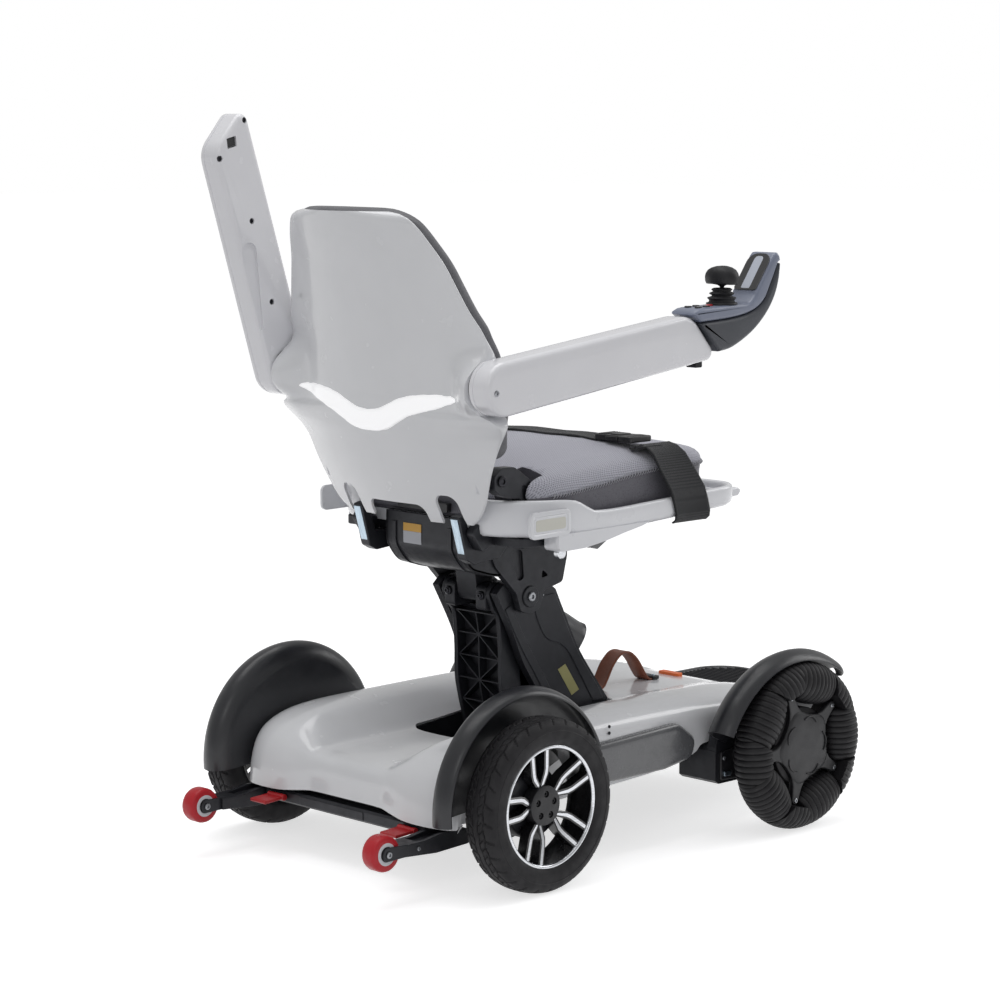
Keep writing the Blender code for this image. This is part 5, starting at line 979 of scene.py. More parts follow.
def build_controller():
    low, high = -CONTROL_X[1], -CONTROL_X[0]
    body = "armrest_right"
    below = smooth_path(mm((-378.2, 688), (-406.2, 693), (-444.3, 711), (-473.7, 734), (-492.7, 759),
        (-502.2, 785), (-504, 806)))
    seam = smooth_path(mm((-499, 806), (-482.3, 775), (-468.5, 754), (-443.4, 740), (-401.9, 733),
        (-343, 729.7)))
    base = rounded_slab([(-0.34, 0.728)] + below + seam, low, high, 0.006)
    piece("controller_lower", base, HANDSET, body, "controller_base", sharp=50.0)
    rear = mm((-340, 730.3), (-325, 741), (-326.2, 744.6), (-335, 748.2))
    top = smooth_path(mm((-345, 749.4), (-410, 751.5), (-437.4, 753), (-449, 762), (-452.1, 768)), 3)
    screen = smooth_path(mm((-452.1, 768), (-473.7, 797), (-488, 816.5)), 2)[1:]
    tip = mm((-492.5, 820.5), (-497.5, 820.8), (-501.5, 817), (-503.6, 809.8))
    outline = rear + top + screen + tip + [(y, z + 0.0008) for y, z in seam]
    cover = piece("controller_upper", rounded_slab(outline, low, high, 0.005), HANDSET_TOP, body,
        "controller_cover", sharp=50.0)
    cut(cover, turned(mm((-8.5, 0), (-8.5, 19.2), (20, 19.2), (20, 0)), "Z", STICK, 44))
    for number, (x, y) in enumerate(mm((-9.5, -346), (9.5, -346), (-9.5, -362), (9.5, -362), (0, -379)), 1):
        place = (STICK_X + x, y, flat_top(y))
        cut(cover, turned(mm((-6.8, 0), (-6.8, 5.6), (10, 5.6), (10, 0)), "Z", place, 28))
        cap = turned(mm((-4.3, 0), (-4.3, 5.1), (1, 5.1), (1.7, 4.5), (1.9, 3), (1.7, 0)), "Z", place, 28)
        # Buttons 1 to 4 get a pale spot in the middle of their up-facing top: a painted highlight.
        look = RED_PAINT if number == 5 else [BODY_BLACK, PAINTED_GLARE]
        choose = None
        if number != 5:
            centre = Vector((place[0], place[1], 0.0))

            def choose(middle, normal, centre=centre):
                return 1 if normal.z > 0.9 and (Vector((middle.x, middle.y, 0.0))
                    - centre).length < 0.0031 else 0
        piece(f"button_cap_{number}", cap, look, f"button_{number}", f"button_{number}", choose=choose)
    resharp(cover, 50.0)
    collar = turned(mm((-0.6, 18.7), (1.2, 19.2), (1.6, 20.5), (1.2, 21.8), (-0.6, 22.2)), "Z", STICK, 44)
    piece("stick_collar", collar, BODY_BLACK, body)

    def panel(name, half, start, end, lift, look):
        """Lay a thin rounded plate on the sloping screen."""
        first, last = Vector((-0.4521, 0.768)), Vector((-0.488, 0.8165))
        along = (last - first).normalized()
        up = Vector((along.y, -along.x))
        up = up if up.y > 0.0 else -up
        length = (last - first).length
        corners = rounded(((-half, start * length, half * 0.25), (half, start * length, half * 0.25),
            (half, end * length, half * 0.75), (-half, end * length, half * 0.75)), 6)
        rings = []
        for rise in (lift - 0.001, lift):
            ring = []
            for x, reach in corners:
                point = first + along * reach + up * rise
                ring.append((STICK_X + x, point.x, point.y))
            rings.append(ring)
        return piece(name, loft(rings), look, body, bevel=0.0004)

    panel("screen_glass", 0.0205, 0.02, 1.04, 0.0016, GLASS)
    # A pale strip laid on the screen glass: a painted reflection of light on the screen.
    panel("painted_glare", 0.0078, 0.06, 0.96, 0.0019, PAINTED_GLARE)

    folds = mm((-3, 0), (-3, 18.2), (0, 18.5), (3, 18.1), (4.6, 17.6))
    folds += mm((6.6, 19.6), (7.6, 20.6), (8.6, 19.6), (10.3, 14.2), (11.4, 14.2), (13, 17), (14, 17.8),
        (15, 16.8), (16.6, 12.8), (17.4, 12.8), (18.6, 14.4), (19.4, 14.8), (20.2, 14), (21.5, 11.8),
        (21.5, 3.4))
    boot = turned(folds, "Z", STICK, 48)
    piece("boot_skin", boot, RUBBER, "stick_gimbal", "joystick_boot", sharp=75.0)
    profile = mm((9, 0), (9, 3.2), (23.5, 3.2), (25.5, 6), (26.8, 12.5), (27.8, 20.5), (29.5, 24.3),
        (33.5, 26.2), (39.5, 26.6), (44, 25.4), (47.8, 22.4), (50.4, 16.8), (52, 9), (52.5, 0))
    knob = turned(profile, "Z", STICK, 56)
    middle = Vector((STICK[0], STICK[1] + REAR_Y, STICK[2]))
    for vert in knob.verts:
        rise = vert.co.z - middle.z
        if rise > 0.024:
            share = smoothstep(0.024, 0.03, rise)
            vert.co.y = middle.y + (vert.co.y - middle.y) * (1.0 - 0.26 * share)
            vert.co.z -= 0.0035 * share * ((vert.co.x - middle.x) / 0.026) ** 2
    piece("knob_skin", knob, KNOB, "stick", "joystick", sharp=60.0)


build_back()
build_arms()
build_controller()

# seat

COVER_PLATE = moulded("cover_plate", (214, 213, 204), 0.5, lift=4)
TRAY_HALF_W = 0.2115
TRAY_WALL = 0.01
TRAY_RIM = mm((50, 502), (-100, 502.5), (-128, 500.5), (-148, 492), (-168, 483.5), (-195, 482.5),
    (-300, 486.8), (-400, 491.5), (-480, 495))
TRAY_LOW = mm((0, 452), (-200, 452), (-240, 453.5), (-480, 467.5))
CUSHION_HALF_W = 0.195
CUSHION_Y = (-0.43, -0.0465)
CUSHION_TOP = mm((30, 522), (-100, 534), (-200, 541.5), (-300, 548), (-430, 548))
CUSHION_CROWN = 0.016
FLOOR_Z = 0.4682
SEAM = 0.635


def seat_plan(half_w, low, high, front, rear, count=30):
    """Return a seat outline of evenly spaced points with rounded corners."""
    corners = rounded(((half_w, high, rear), (-half_w, high, rear), (-half_w, low, front),
        (half_w, low, front)), 16)
    closed = corners + [corners[0]]
    lengths = [0.0]
    for a, b in zip(closed, closed[1:]):
        lengths.append(lengths[-1] + hypot(b[0] - a[0], b[1] - a[1]))
    total = count * 4
    points = []
    k = 0
    for i in range(total):
        at = lengths[-1] * i / total
        while lengths[k + 1] < at:
            k += 1
        share = (at - lengths[k]) / max(1e-9, lengths[k + 1] - lengths[k])
        a, b = closed[k], closed[k + 1]
        points.append((a[0] + (b[0] - a[0]) * share, a[1] + (b[1] - a[1]) * share))
    return points


def tray_ring(inset, height):
    plan = seat_plan(TRAY_HALF_W - inset, -0.47 + inset, -0.03 - inset, max(0.045 - inset, 0.012),
        0.11 - inset, 44)
    return [(x, y, height(y)) for x, y in plan]


def build_tray():
    def low(y):
        return table(TRAY_LOW, y)

    def rim(y):
        return table(TRAY_RIM, y)

    rings = [tray_ring(0.09, low), tray_ring(0.016, low), tray_ring(0.0055, lambda y: low(y) + 0.0008),
        tray_ring(0.0014, lambda y: low(y) + 0.0045), tray_ring(0.0, lambda y: low(y) + 0.011),
        tray_ring(0.0, lambda y: rim(y) - 0.0045), tray_ring(0.0008, lambda y: rim(y) - 0.0018),
        tray_ring(0.003, rim), tray_ring(0.0072, rim), tray_ring(0.0094, lambda y: rim(y) - 0.0018),
        tray_ring(TRAY_WALL, lambda y: rim(y) - 0.006), tray_ring(TRAY_WALL, lambda y: FLOOR_Z + 0.002),
        tray_ring(TRAY_WALL + 0.002, lambda y: FLOOR_Z), tray_ring(0.09, lambda y: FLOOR_Z)]
    tray = piece("tray_skin", loft(rings), SEAT_WHITE, "seat", "seat_shell", sharp=42.0)
    cut(tray, box((-0.118, 0.118), (-0.0552, 0.01), (0.43, 0.53)))
    for side in (1.0, -1.0):
        cut(tray, box(sided(side, 0.1503, 0.172), (-0.1, -0.0625), (0.44, 0.479)))
    resharp(tray, 42.0)

    def cover(inset):
        """Return the outline of the raised cover on the tray's side, drawn in by an inset."""
        radius = max(0.0035, 0.0085 - inset)
        return rounded(((-0.04 - inset, 0.455 + inset, radius), (-0.04 - inset, 0.4905 - inset, radius),
            (-0.116 + inset, 0.4915 - inset, radius), (-0.116 + inset, 0.456 + inset, radius)), 6)

    for side, word in SIDES:
        face = side * TRAY_HALF_W
        rise = []
        for outline, out in ((cover(0.0), -0.0035), (cover(0.0), 0.0007), (cover(0.0012), 0.0014),
                (cover(0.0052), 0.0014), (cover(0.0064), 0.0004), (cover(0.0072), 0.0004),
                (cover(0.0078), 0.0009), (cover(0.0092), 0.0009)):
            rise.append([(face + side * out, y, z) for y, z in outline])
        panel = loft(rise)
        piece(f"seat_cover_{word}", panel, SEAT_WHITE, "seat", sharp=32.0)
        plate = loft([[(face + side * out, y, z) for y, z in cover(0.01)] for out in (0.0002, 0.0013)])
        piece(f"seat_cover_plate_{word}", plate, COVER_PLATE, "seat")
        skirt = smooth_path(mm((-143, 435), (-180, 440), (-220, 448), (-256, 454.5), (-270, 459)))
        outline = mm((-93, 457), (-93.5, 440), (-96, 436), (-101, 434)) + skirt
        piece(f"seat_skirt_{word}", prism(outline, "X", *sided(side, 0.2062, 0.2122)), SEAT_WHITE, "seat",
            bevel=0.0022, steps=4)
        boss = rounded(mm((-95, 456, 0), (-143.5, 456, 0), (-143.5, 433.5, 6), (-95, 433.5, 6)))
        piece(f"seat_boss_{word}", prism(boss, "X", *sided(side, 0.182, 0.206)), SEAT_WHITE, "seat",
            bevel=0.0015)
        eye = turned(mm((-5, 0), (-5, 6.5), (-3.5, 8), (3.5, 8), (5, 6.5), (5, 0)), "X",
            (side * 0.1955, -0.112, 0.43), 28)
        piece(f"seat_eye_{word}", eye, SILVER, "seat")
    lip = rounded(mm((-455, 470, 0), (-455, 483.5, 0), (-485, 485, 5), (-492.5, 480, 4), (-486, 473, 4)), 5)
    piece("seat_lip", prism(lip, "X", -0.185, 0.185), SEAT_WHITE, "seat", bevel=0.003, steps=4)


def cushion_ring(inset, height):
    half = CUSHION_HALF_W - inset
    plan = seat_plan(half, CUSHION_Y[0] + inset, CUSHION_Y[1] - inset, max(0.058 - inset * 0.6, 0.02),
        max(0.072 - inset * 0.6, 0.03), 46)
    return [(x, y, height(x, y)) for x, y in plan]


def cushion_edge(y):
    return table(CUSHION_TOP, y)


def lifted(share, y):
    """Move the seam, which lies at SEAM of the side's height, up towards the front."""
    seam = 0.56 + 0.19 * smoothstep(-0.08, -0.36, y)
    if share < SEAM:
        return share * seam / SEAM
    return seam + (share - SEAM) * (1.0 - seam) / (1.0 - SEAM)


def cushion_side(share, inset):
    """Return a ring on the cushion's side, drawn in between the corners and puffed a little in patches."""
    half = CUSHION_HALF_W
    ring = []
    for x, y in seat_plan(half, CUSHION_Y[0], CUSHION_Y[1], 0.058, 0.072, 46):
        middle_y = sum(CUSHION_Y) / 2.0
        corner = (abs(x) / half) ** 4 * (abs(y - middle_y) / 0.19) ** 4
        slack = 0.002 * (1.0 - min(1.0, corner)) + 0.0007 * sin(x * 71.0 + y * 93.0) * sin(pi * share)
        off = inset + slack
        out = Vector((x, y - middle_y))
        pulled = out * (1.0 - off / out.length)
        low = FLOOR_Z + 0.0006
        ring.append((pulled.x, pulled.y + middle_y, low + (cushion_edge(y) - low) * lifted(share, y)))
    return ring


def crowned(x, y):
    """Return the height of the cushion's top: crowned, rolled over at the rim, with a few soft dents."""
    middle_y = sum(CUSHION_Y) / 2.0
    half_y = (CUSHION_Y[1] - CUSHION_Y[0]) / 2.0
    share = min(1.0, max(abs(x) / CUSHION_HALF_W, abs(y - middle_y) / half_y))
    soft = (abs(x / CUSHION_HALF_W) ** 5 + abs((y - middle_y) / half_y) ** 5) ** 0.2
    share = min(1.0, 0.3 * share + 0.7 * soft)
    dents = 0.0006 * sin(x * 33.0 + 1.0) * sin(y * 29.0) + 0.0004 * sin(x * 61.0 + y * 47.0)
    return cushion_edge(y) + CUSHION_CROWN * (1.0 - share ** 2.6) + dents


def build_cushion():
    rings = [cushion_ring(0.06, lambda x, y: FLOOR_Z + 0.0004)]
    for share, inset in ((0.0, 0.01), (0.06, 0.003), (0.14, 0.0008), (0.26, 0.001), (0.38, 0.0022),
            (0.5, 0.0024), (0.58, 0.0012), (0.615, 0.001), (0.635, 0.003), (0.655, 0.001), (0.7, 0.0004),
            (0.78, 0.0012), (0.86, 0.0036), (0.93, 0.0078), (0.985, 0.014), (1.025, 0.0225)):
        rings.append(cushion_side(share, inset))
    for inset in (0.034, 0.048, 0.066, 0.09, 0.12, 0.15, 0.176):
        rings.append(cushion_ring(inset, crowned))

    def part(middle, normal):
        low = FLOOR_Z
        share = (middle.z - low) / (cushion_edge(middle.y) - low)
        return 0 if share < lifted(SEAM, middle.y) else 1

    cushion = piece("seat_cushion_pad", loft(rings), [SIDE_LEATHER, SEAT_MESH], "seat", "seat_cushion",
        sharp=180.0, choose=part)
    for side in (1.0, -1.0):
        cut(cushion, box(sided(side, 0.1345, 0.173), (-0.101, 0.02), (0.44, 0.6)))
    cut(cushion, box((-0.12, 0.12), (-0.056, 0.0), (0.44, 0.474)))

    seam = cushion_side(SEAM, -0.0008)
    stitches = bmesh.new()
    walk = [Vector(point) for point in seam]
    spare = 0.0
    step = 0.0052
    for a, b in zip(walk, walk[1:] + walk[:1]):
        length = (b - a).length
        at = step - spare
        while at <= length:
            place = a.lerp(b, at / length)
            along = (b - a).normalized()
            at += step
            if place.y > -0.06 or abs(place.x) < 0.1:
                continue
            if abs(place.x) > 0.125 and place.y > -0.103:
                continue
            out = Vector((along.y, -along.x, 0.0))
            if out.dot(Vector((place.x, place.y + 0.24, 0.0))) < 0.0:
                out = -out
            top = place + Vector((0, 0, 0.0034)) + along * 0.0014 - out * 0.001
            low = place - Vector((0, 0, 0.0028)) - along * 0.001 - out * 0.0006
            half = along * 0.0009
            corners = []
            for point in (top, place + out * 0.0014, low):
                corners.append([Vector((p.x, p.y + REAR_Y, p.z)) for p in (point - half, point - out * 0.0008,
                    point + half, point + out * 0.0008)])
            ringed(stitches, corners)
        spare = length - (at - step)
    outward(stitches)
    piece("seat_stitches", stitches, THREAD, "seat")


def build_seat_lever():
    outline = rounded(mm((-150, 451, 0), (-203, 451, 2), (-197, 441, 3), (-176, 429, 3), (-150, 439, 0)), 4)
    merged_lever = merged(prism(outline, "X", -0.2045, -0.1835), pin(-0.205, -0.183, 0.006, (-0.15, 0.445),
        28))
    piece("seat_lever_skin", merged_lever, PANEL, "seat_release", "seat_lever", bevel=0.0012, steps=3)


BELT_Y = -0.298


def belt_path(side, start):
    """Return (x, z, y, half width, up) along half a belt, over the cushion and down the tray's side."""
    path = []
    for i in range(15):
        x = start + (side * 0.174 - start) * i / 14.0
        z = max(crowned(x, BELT_Y + off) for off in (-0.02, 0.0, 0.02)) + 0.001
        spread = smoothstep(0.11, 0.174, side * x)
        path.append((x, z, BELT_Y - 0.008 * spread, 0.0215 + 0.0075 * spread, Vector((0.0, 1.0))))
    edge = cushion_edge(BELT_Y)
    drops = ((0.184, edge + 0.0125, 0.08), (0.1925, edge + 0.0085, 0.17), (0.1995, edge - 0.001, 0.3),
        (0.205, 0.529, 0.45), (0.209, 0.514, 0.6), (0.2125, 0.4985, 0.76), (0.2135, 0.48, 0.88),
        (0.2133, 0.464, 0.97), (0.211, 0.456, 1.0), (0.205, 0.4515, 1.0))
    for x, z, share in drops:
        path.append((side * x, z, BELT_Y - 0.008 - 0.052 * share, 0.029 + 0.007 * min(1.0, share * 2.0),
            None))
    result = []
    for i, (x, z, y, half, up) in enumerate(path):
        if up is None:
            before, after = path[i - 1], path[min(i + 1, len(path) - 1)]
            along = Vector((after[0] - before[0], after[1] - before[1])).normalized()
            up = Vector((-along.y, along.x))
            up = up if up.dot(Vector((side, 0.3))) > 0.0 else -up
        result.append((x, z, y, half, up))
    return result


def build_belts():
    for side, word, start in ((1.0, "left", -0.102), (-1.0, "right", -0.166)):
        rings = []
        for x, z, y, half, up in belt_path(side, start):
            ring = []
            for across_, thick in ((-1.0, 0.15), (-0.97, 0.85), (-0.9, 1.0), (-0.84, 0.8), (0.84, 0.8),
                    (0.9, 1.0), (0.97, 0.85), (1.0, 0.15), (0.97, 0.0), (-0.97, 0.0)):
                rise = up * (0.0021 * thick)
                ring.append((x + rise.x, y + across_ * half, z + rise.y))
            rings.append(ring)
        belt = piece(f"belt_{word}", loft(rings), BELT_WEB, "seat", f"lap_belt_{word}", sharp=50.0)
    tail = []
    for i in range(12):
        x = -0.166 - 0.04 * i / 11.0
        lift = 0.0045 + 0.003 * sin(pi * i / 11.0)
        z = max(crowned(max(x, -0.176), BELT_Y + off) for off in (-0.02, 0.02)) + lift - (0.01 if x < -0.19
            else 0.0) * (i - 7) / 4.0
        tail.append([(x, BELT_Y - 0.0185, z), (x, BELT_Y + 0.0185, z), (x, BELT_Y + 0.0185, z + 0.0016),
            (x, BELT_Y - 0.0185, z + 0.0016)])
    piece("belt_tail", loft(tail[:8]), BELT_WEB, "seat", bevel=0.0004)
    base = max(crowned(x, BELT_Y + off) for x in (-0.17, -0.134, -0.098) for off in (-0.022, 0.0,
        0.022)) + 0.0012
    plan = rounded(((-0.17, BELT_Y - 0.0215, 0.004), (-0.148, BELT_Y - 0.0225, 0.003),
        (-0.142, BELT_Y - 0.0185, 0.003), (-0.118, BELT_Y - 0.0185, 0.006), (-0.098, BELT_Y - 0.0215, 0.004),
        (-0.098, BELT_Y + 0.0215, 0.004), (-0.118, BELT_Y + 0.0185, 0.006), (-0.142, BELT_Y + 0.0185, 0.003),
        (-0.148, BELT_Y + 0.0225, 0.003), (-0.17, BELT_Y + 0.0215, 0.004)), 4)
    body = piece("buckle_body", prism(plan, "Z", base, base + 0.0085), BUCKLE, "seat", "belt_buckle",
        bevel=0.0028, steps=4)
    cut(body, box((-0.164, -0.156), (BELT_Y - 0.015, BELT_Y + 0.015), (base + 0.0045, base + 0.012)))
    for way in (-1.0, 1.0):
        prong = rounded(((-0.143, BELT_Y + way * 0.017, 0.002), (-0.1215, BELT_Y + way * 0.019, 0.003),
            (-0.1215, BELT_Y + way * 0.0235, 0.003), (-0.143, BELT_Y + way * 0.0215, 0.003)), 4)
        piece(f"buckle_prong_{'a' if way < 0 else 'b'}", prism(prong, "Z", base + 0.0015, base + 0.007),
            BUCKLE, "seat", bevel=0.001)
    ridge = oblong((-0.14, -0.12), (BELT_Y - 0.012, BELT_Y + 0.012), 0.003, 4)
    piece("buckle_ridge", prism(ridge, "Z", base + 0.008, base + 0.01), BUCKLE, "seat", bevel=0.0012)
    for number, x in enumerate((-0.1135, -0.1085, -0.1035)):
        rib = oblong((x - 0.0013, x + 0.0013), (BELT_Y - 0.0165, BELT_Y + 0.0165), 0.001)
        piece(f"buckle_rib_{number}", prism(rib, "Z", base + 0.0078, base + 0.0096), BUCKLE, "seat",
            bevel=0.0006)


build_tray()
build_cushion()
build_seat_lever()
build_belts()

# body and chassis

SHELL_HALF_W = 0.211
CHASSIS_HALF_W = 0.235
OMNI_Y = -0.509
OMNI_Z = 0.12099
# y and z of the middle of the front fenders' arc
FRONT_ARCH = (-0.506, 0.08)

# rear to front: ridge y, ridge z, middle y, middle z, how far the side is drawn in, foot y, foot z
SHELL_ROWS = mm((114.5, 88, 102, 95, 0, 88, 93.5), (112.5, 112, 101.5, 112, 0, 76, 93.5),
    (107, 136, 100, 127, 0, 64, 93.5), (97, 157, 96, 139, 0, 52, 93.5), (78, 175, 86, 145.5, 0, 38, 93.5),
    (45, 188, 60, 149, 0, 20, 93.5), (0, 194, 0, 150, 0, 0, 93.5), (-60, 196, -60, 151, 0, -60, 95),
    (-120, 197, -120, 151, 0, -120, 98), (-200, 198, -200, 160, 0, -200, 101),
    (-300, 198, -300, 175, 0, -300, 107), (-365, 197, -365, 179, 0, -365, 119),
    (-385, 196, -385, 180, 0, -385, 131), (-440, 193, -440, 180, 4, -440, 130),
    (-500, 189, -500, 180, 13, -500, 130), (-560, 181, -560, 176, 28, -545, 122),
    (-605, 168, -605, 166, 47, -560, 108), (-628, 150, -628, 150, 61, -575, 106),
    (-636, 125, -636, 125, 69, -590, 105), (-632, 104, -632, 104, 73, -605, 104.5))


def shell_half(index):
    """Return half a row of the body's skin, from the middle to the foot."""
    ridge_y, ridge_z, mid_y, mid_z, drawn, foot_y, foot_z = SHELL_ROWS[index]
    before = SHELL_ROWS[max(index - 1, 0)]
    after = SHELL_ROWS[min(index + 1, len(SHELL_ROWS) - 1)]
    along = Vector((after[0] - before[0], after[1] - before[1])).normalized()
    inward = Vector((-along.y, along.x))
    ridge, middle, foot = Vector((ridge_y, ridge_z)), Vector((mid_y, mid_z)), Vector((foot_y, foot_z))
    half = SHELL_HALF_W - drawn
    flat = max(0.012, min(0.066, half - 0.066 - 0.034))
    ridge_x = half - 0.058
    step = ridge_x - flat
    points = [(0.0, middle), (flat * 0.55, middle), (flat * 0.93, middle + (ridge - middle) * 0.02),
        (flat + step * 0.12, middle + (ridge - middle) * 0.1),
        (flat + step * 0.36, middle + (ridge - middle) * 0.46),
        (flat + step * 0.66, middle + (ridge - middle) * 0.86),
        (flat + step * 0.92, middle + (ridge - middle) * 0.985), (half - 0.04, ridge + inward * 0.0008),
        (half - 0.022, ridge + inward * 0.005), (half - 0.0085, ridge + inward * 0.012),
        (half - 0.002, ridge + inward * 0.0215)]
    low = points[-1][1]
    points += [(half, low + (foot - low) * 0.3), (half, low + (foot - low) * 0.65), (half, foot)]
    return [(x, p.x, p.y) for x, p in points]


def applied(thing):
    """Apply a piece's modifiers."""
    graph = bpy.context.evaluated_depsgraph_get()
    mesh = bpy.data.meshes.new_from_object(thing.evaluated_get(graph))
    old = thing.data
    thing.modifiers.clear()
    thing.data = mesh
    bpy.data.meshes.remove(old)
    return thing


def shell_height(x, y):
    """Return roughly how high the body's deck is."""
    rows = [(row[2], row[3], row[1], row[4]) for row in SHELL_ROWS[6:17]]
    middle, ridge, drawn = table(rows, y, 1), table(rows, y, 2), table(rows, y, 3)
    half = SHELL_HALF_W - drawn
    flat = max(0.012, min(0.066, half - 0.1))
    return middle + (ridge - middle) * smoothstep(flat, half - 0.058, abs(x))


def opened(bm, outline):
    """Cut a convex opening, seen from above, out of an open skin."""
    inside = list(bm.faces)
    for (ax, ay), (bx, by) in zip(outline, outline[1:] + outline[:1]):
        along = Vector((bx - ax, by - ay, 0.0))
        if along.length < 1e-6:
            continue
        out = Vector((along.y, -along.x, 0.0)).normalized()
        middle = Vector((sum(x for x, _ in outline), sum(y for _, y in outline), 0.0)) / len(outline)
        if out.dot(middle - Vector((ax, ay, 0.0))) > 0.0:
            out.negate()
        near = [face for face in inside if face.is_valid]
        geom = list(dict.fromkeys(edge for face in near for edge in face.edges))
        geom += list(dict.fromkeys(vert for face in near for vert in face.verts)) + near
        result = bmesh.ops.bisect_plane(bm, geom=geom, plane_co=(ax, ay, 0.0), plane_no=out)
        faces = [item for item in result["geom"] if isinstance(item, bmesh.types.BMFace)]
        inside = [face for face in faces if out.dot(face.calc_center_median() - Vector((ax, ay, 0.0))) < 0.0]
    bmesh.ops.delete(bm, geom=inside, context="FACES")


def build_body():
    halves = [dense(shell_half(i), 4) for i in range(len(SHELL_ROWS))]
    columns = [dense([row[k] for row in halves], 4) for k in range(len(halves[0]))]
    rows = []
    for i in range(len(columns[0])):
        half = [column[i] for column in columns]
        rows.append([Vector((x, y + REAR_Y, z)) for x, y, z in reversed(half)]
            + [Vector((-x, y + REAR_Y, z)) for x, y, z in half[1:]])
    bm = bmesh.new()
    ringed(bm, rows, False)
    bm.normal_update()
    if sum(face.normal.z * face.calc_area() for face in bm.faces) < 0.0:
        bmesh.ops.reverse_faces(bm, faces=bm.faces)
    slot = rounded(mm((-80, -94, 12), (80, -94, 12), (80, -350, 16), (-80, -350, 16)), 4)
    opened(bm, [(x, y + REAR_Y) for x, y in slot])
    shell = piece("body_skin", bm, WHITE, "base", "body_shell", sharp=50.0)
    wall = shell.modifiers.new("Wall", "SOLIDIFY")
    wall.thickness = 0.003
    wall.offset = -1.0
    wall.use_even_offset = True
    applied(shell)
    resharp(shell, 45.0)
    bevelled(shell, 0.0008, 2, 60.0, False)

    outline = rounded(mm((-150, 163, 10), (-325, 170, 30), (-362, 143, 16), (-353, 116, 16),
        (-297, 107.5, 24), (-150, 107, 10)), 8)
    for side, word in SIDES:
        panel = layered(side, outline, mm((211.2, 0), (215.5, 0), (219, 1.1), (221.2, 3.8), (222.1, 8),
            (222.3, 15)))
        piece(f"panel_{word}", panel, PANEL, "base", f"side_panel_{word}", sharp=60.0)
        for number, z in enumerate((0.183, 0.174)):
            screw(f"side_screw_{word}_{number}", (side * 0.211, -0.193, z), "X", side, 0.0024, "base",
                DARK_SCREW, 0.001)


def build_strap():
    path = dense([(0.0, y, z) for y, z in mm((-366, 181.2), (-386, 182.2), (-396, 193), (-408, 212),
        (-422, 225), (-434, 229), (-447, 226), (-462, 213), (-476, 193), (-486, 182.5), (-503, 181.2))], 5)
    rings = []
    for i, point in enumerate(path):
        along = heading(path, i)
        flip = 1.0 if along.y > 0.0 else -1.0
        up = Vector((0.0, -along.z * flip, along.y * flip))
        ring = []
        for a, b in ((-1.0, 0.4), (-0.96, 1.2), (-0.86, 1.5), (-0.8, 1.25), (0.8, 1.25), (0.86, 1.5),
                (0.96, 1.2), (1.0, 0.4), (0.94, -1.3), (-0.94, -1.3)):
            place = point + Vector((a * 0.014, 0.0, 0.0)) + up * (b * 0.0011)
            ring.append((place.x, place.y, place.z))
        rings.append(ring)
    piece("strap_skin", loft(rings), STRAP, "base", "carry_strap", sharp=70.0)
    for label, y in (("rear", -0.372), ("front", -0.498)):
        clip = oblong((-0.0165, 0.0165), (y - 0.007, y + 0.007), 0.003)
        piece(f"strap_clip_{label}", prism(clip, "Z", 0.1805, 0.1858), BODY_BLACK, "base", bevel=0.0012,
            steps=3)
        for side in (-1.0, 1.0):
            screw(f"strap_screw_{label}_{'a' if side < 0 else 'b'}", (side * 0.009, y, 0.1857), "Z", 1.0,
                0.0028, "base", STEEL)
    tab = oblong((-0.012, 0.028), (-0.548, -0.562), 0.004)
    piece("orange_tab", prism(tab, "Z", 0.174, 0.1815), ORANGE, "base", bevel=0.0014, steps=3)


def build_chassis():
    for name, width, degrees in (("chassis_frame", 0.0012, 34.0), ("battery_pack", 0.002, 20.0),
            ("control_module", 0.002, 20.0), ("rear_bar", 0.0008, 20.0), ("fold_motor", 0.001, 34.0)):
        bevelled(NODES[name], width, 3, degrees)
    for side, word in SIDES:
        face = side * CHASSIS_HALF_W
        block = rounded(mm((-393, 80, 4), (-393, 121, 4), (-440, 125, 4), (-440, 79, 4)), 4)
        piece(f"axle_block_{word}", prism(block, "X", *sorted((face - side * 0.002, face + side * 0.0035))),
            BODY_BLACK, "base", bevel=0.0015, steps=3)
        screw(f"axle_block_screw_{word}", (face + side * 0.0036, -0.399, 0.112), "X", side, 0.0032, "base")
        clamp = rounded(mm((-398, 86, 1), (-398, 92.5, 1), (-412, 92, 1), (-412, 85.5, 1)))
        piece(f"axle_clamp_{word}", prism(clamp, "X", *sorted((face + side * 0.003, face + side * 0.0062))),
            STEEL, "base", bevel=0.0005)
        nut = mirrored(side, turned(mm((0, 0), (0, 15), (8, 15), (9.5, 13.5), (9.5, 0)), "X",
            (0.2352, OMNI_Y, OMNI_Z), 40))
        piece(f"axle_boss_{word}", nut, CASTING, "base", bevel=0.0006)
    lining = rounded(mm((-81.2, -92.8, 12), (81.2, -92.8, 12), (81.2, -351.2, 16), (-81.2, -351.2, 16)), 4)
    foot_z, gap = 0.0965, 0.0036
    outer = drawn_in(lining, -0.002)
    rings = [[(x, y, foot_z) for x, y in outer], [(x, y, shell_height(x, y) - gap) for x, y in outer],
        [(x, y, shell_height(x, y) - gap) for x, y in lining], [(x, y, foot_z) for x, y in lining]]
    wall = loft(rings + rings[:1], False)
    welded(wall, 1e-6)
    outward(wall)
    piece("well_wall", wall, CASTING, "base", sharp=40.0)
    well = oblong((-0.083, 0.083), (-0.086, -0.356), 0.006)
    piece("well_floor", prism(well, "Z", 0.0955, 0.0975), CASTING, "base", bevel=0.0004)
    seam = oblong((-0.04, 0.09), (0.072, 0.0835), 0.001)
    piece("bar_sleeve", prism(seam, "Y", 0.1045, 0.1062), CASTING, "base", bevel=0.0006)


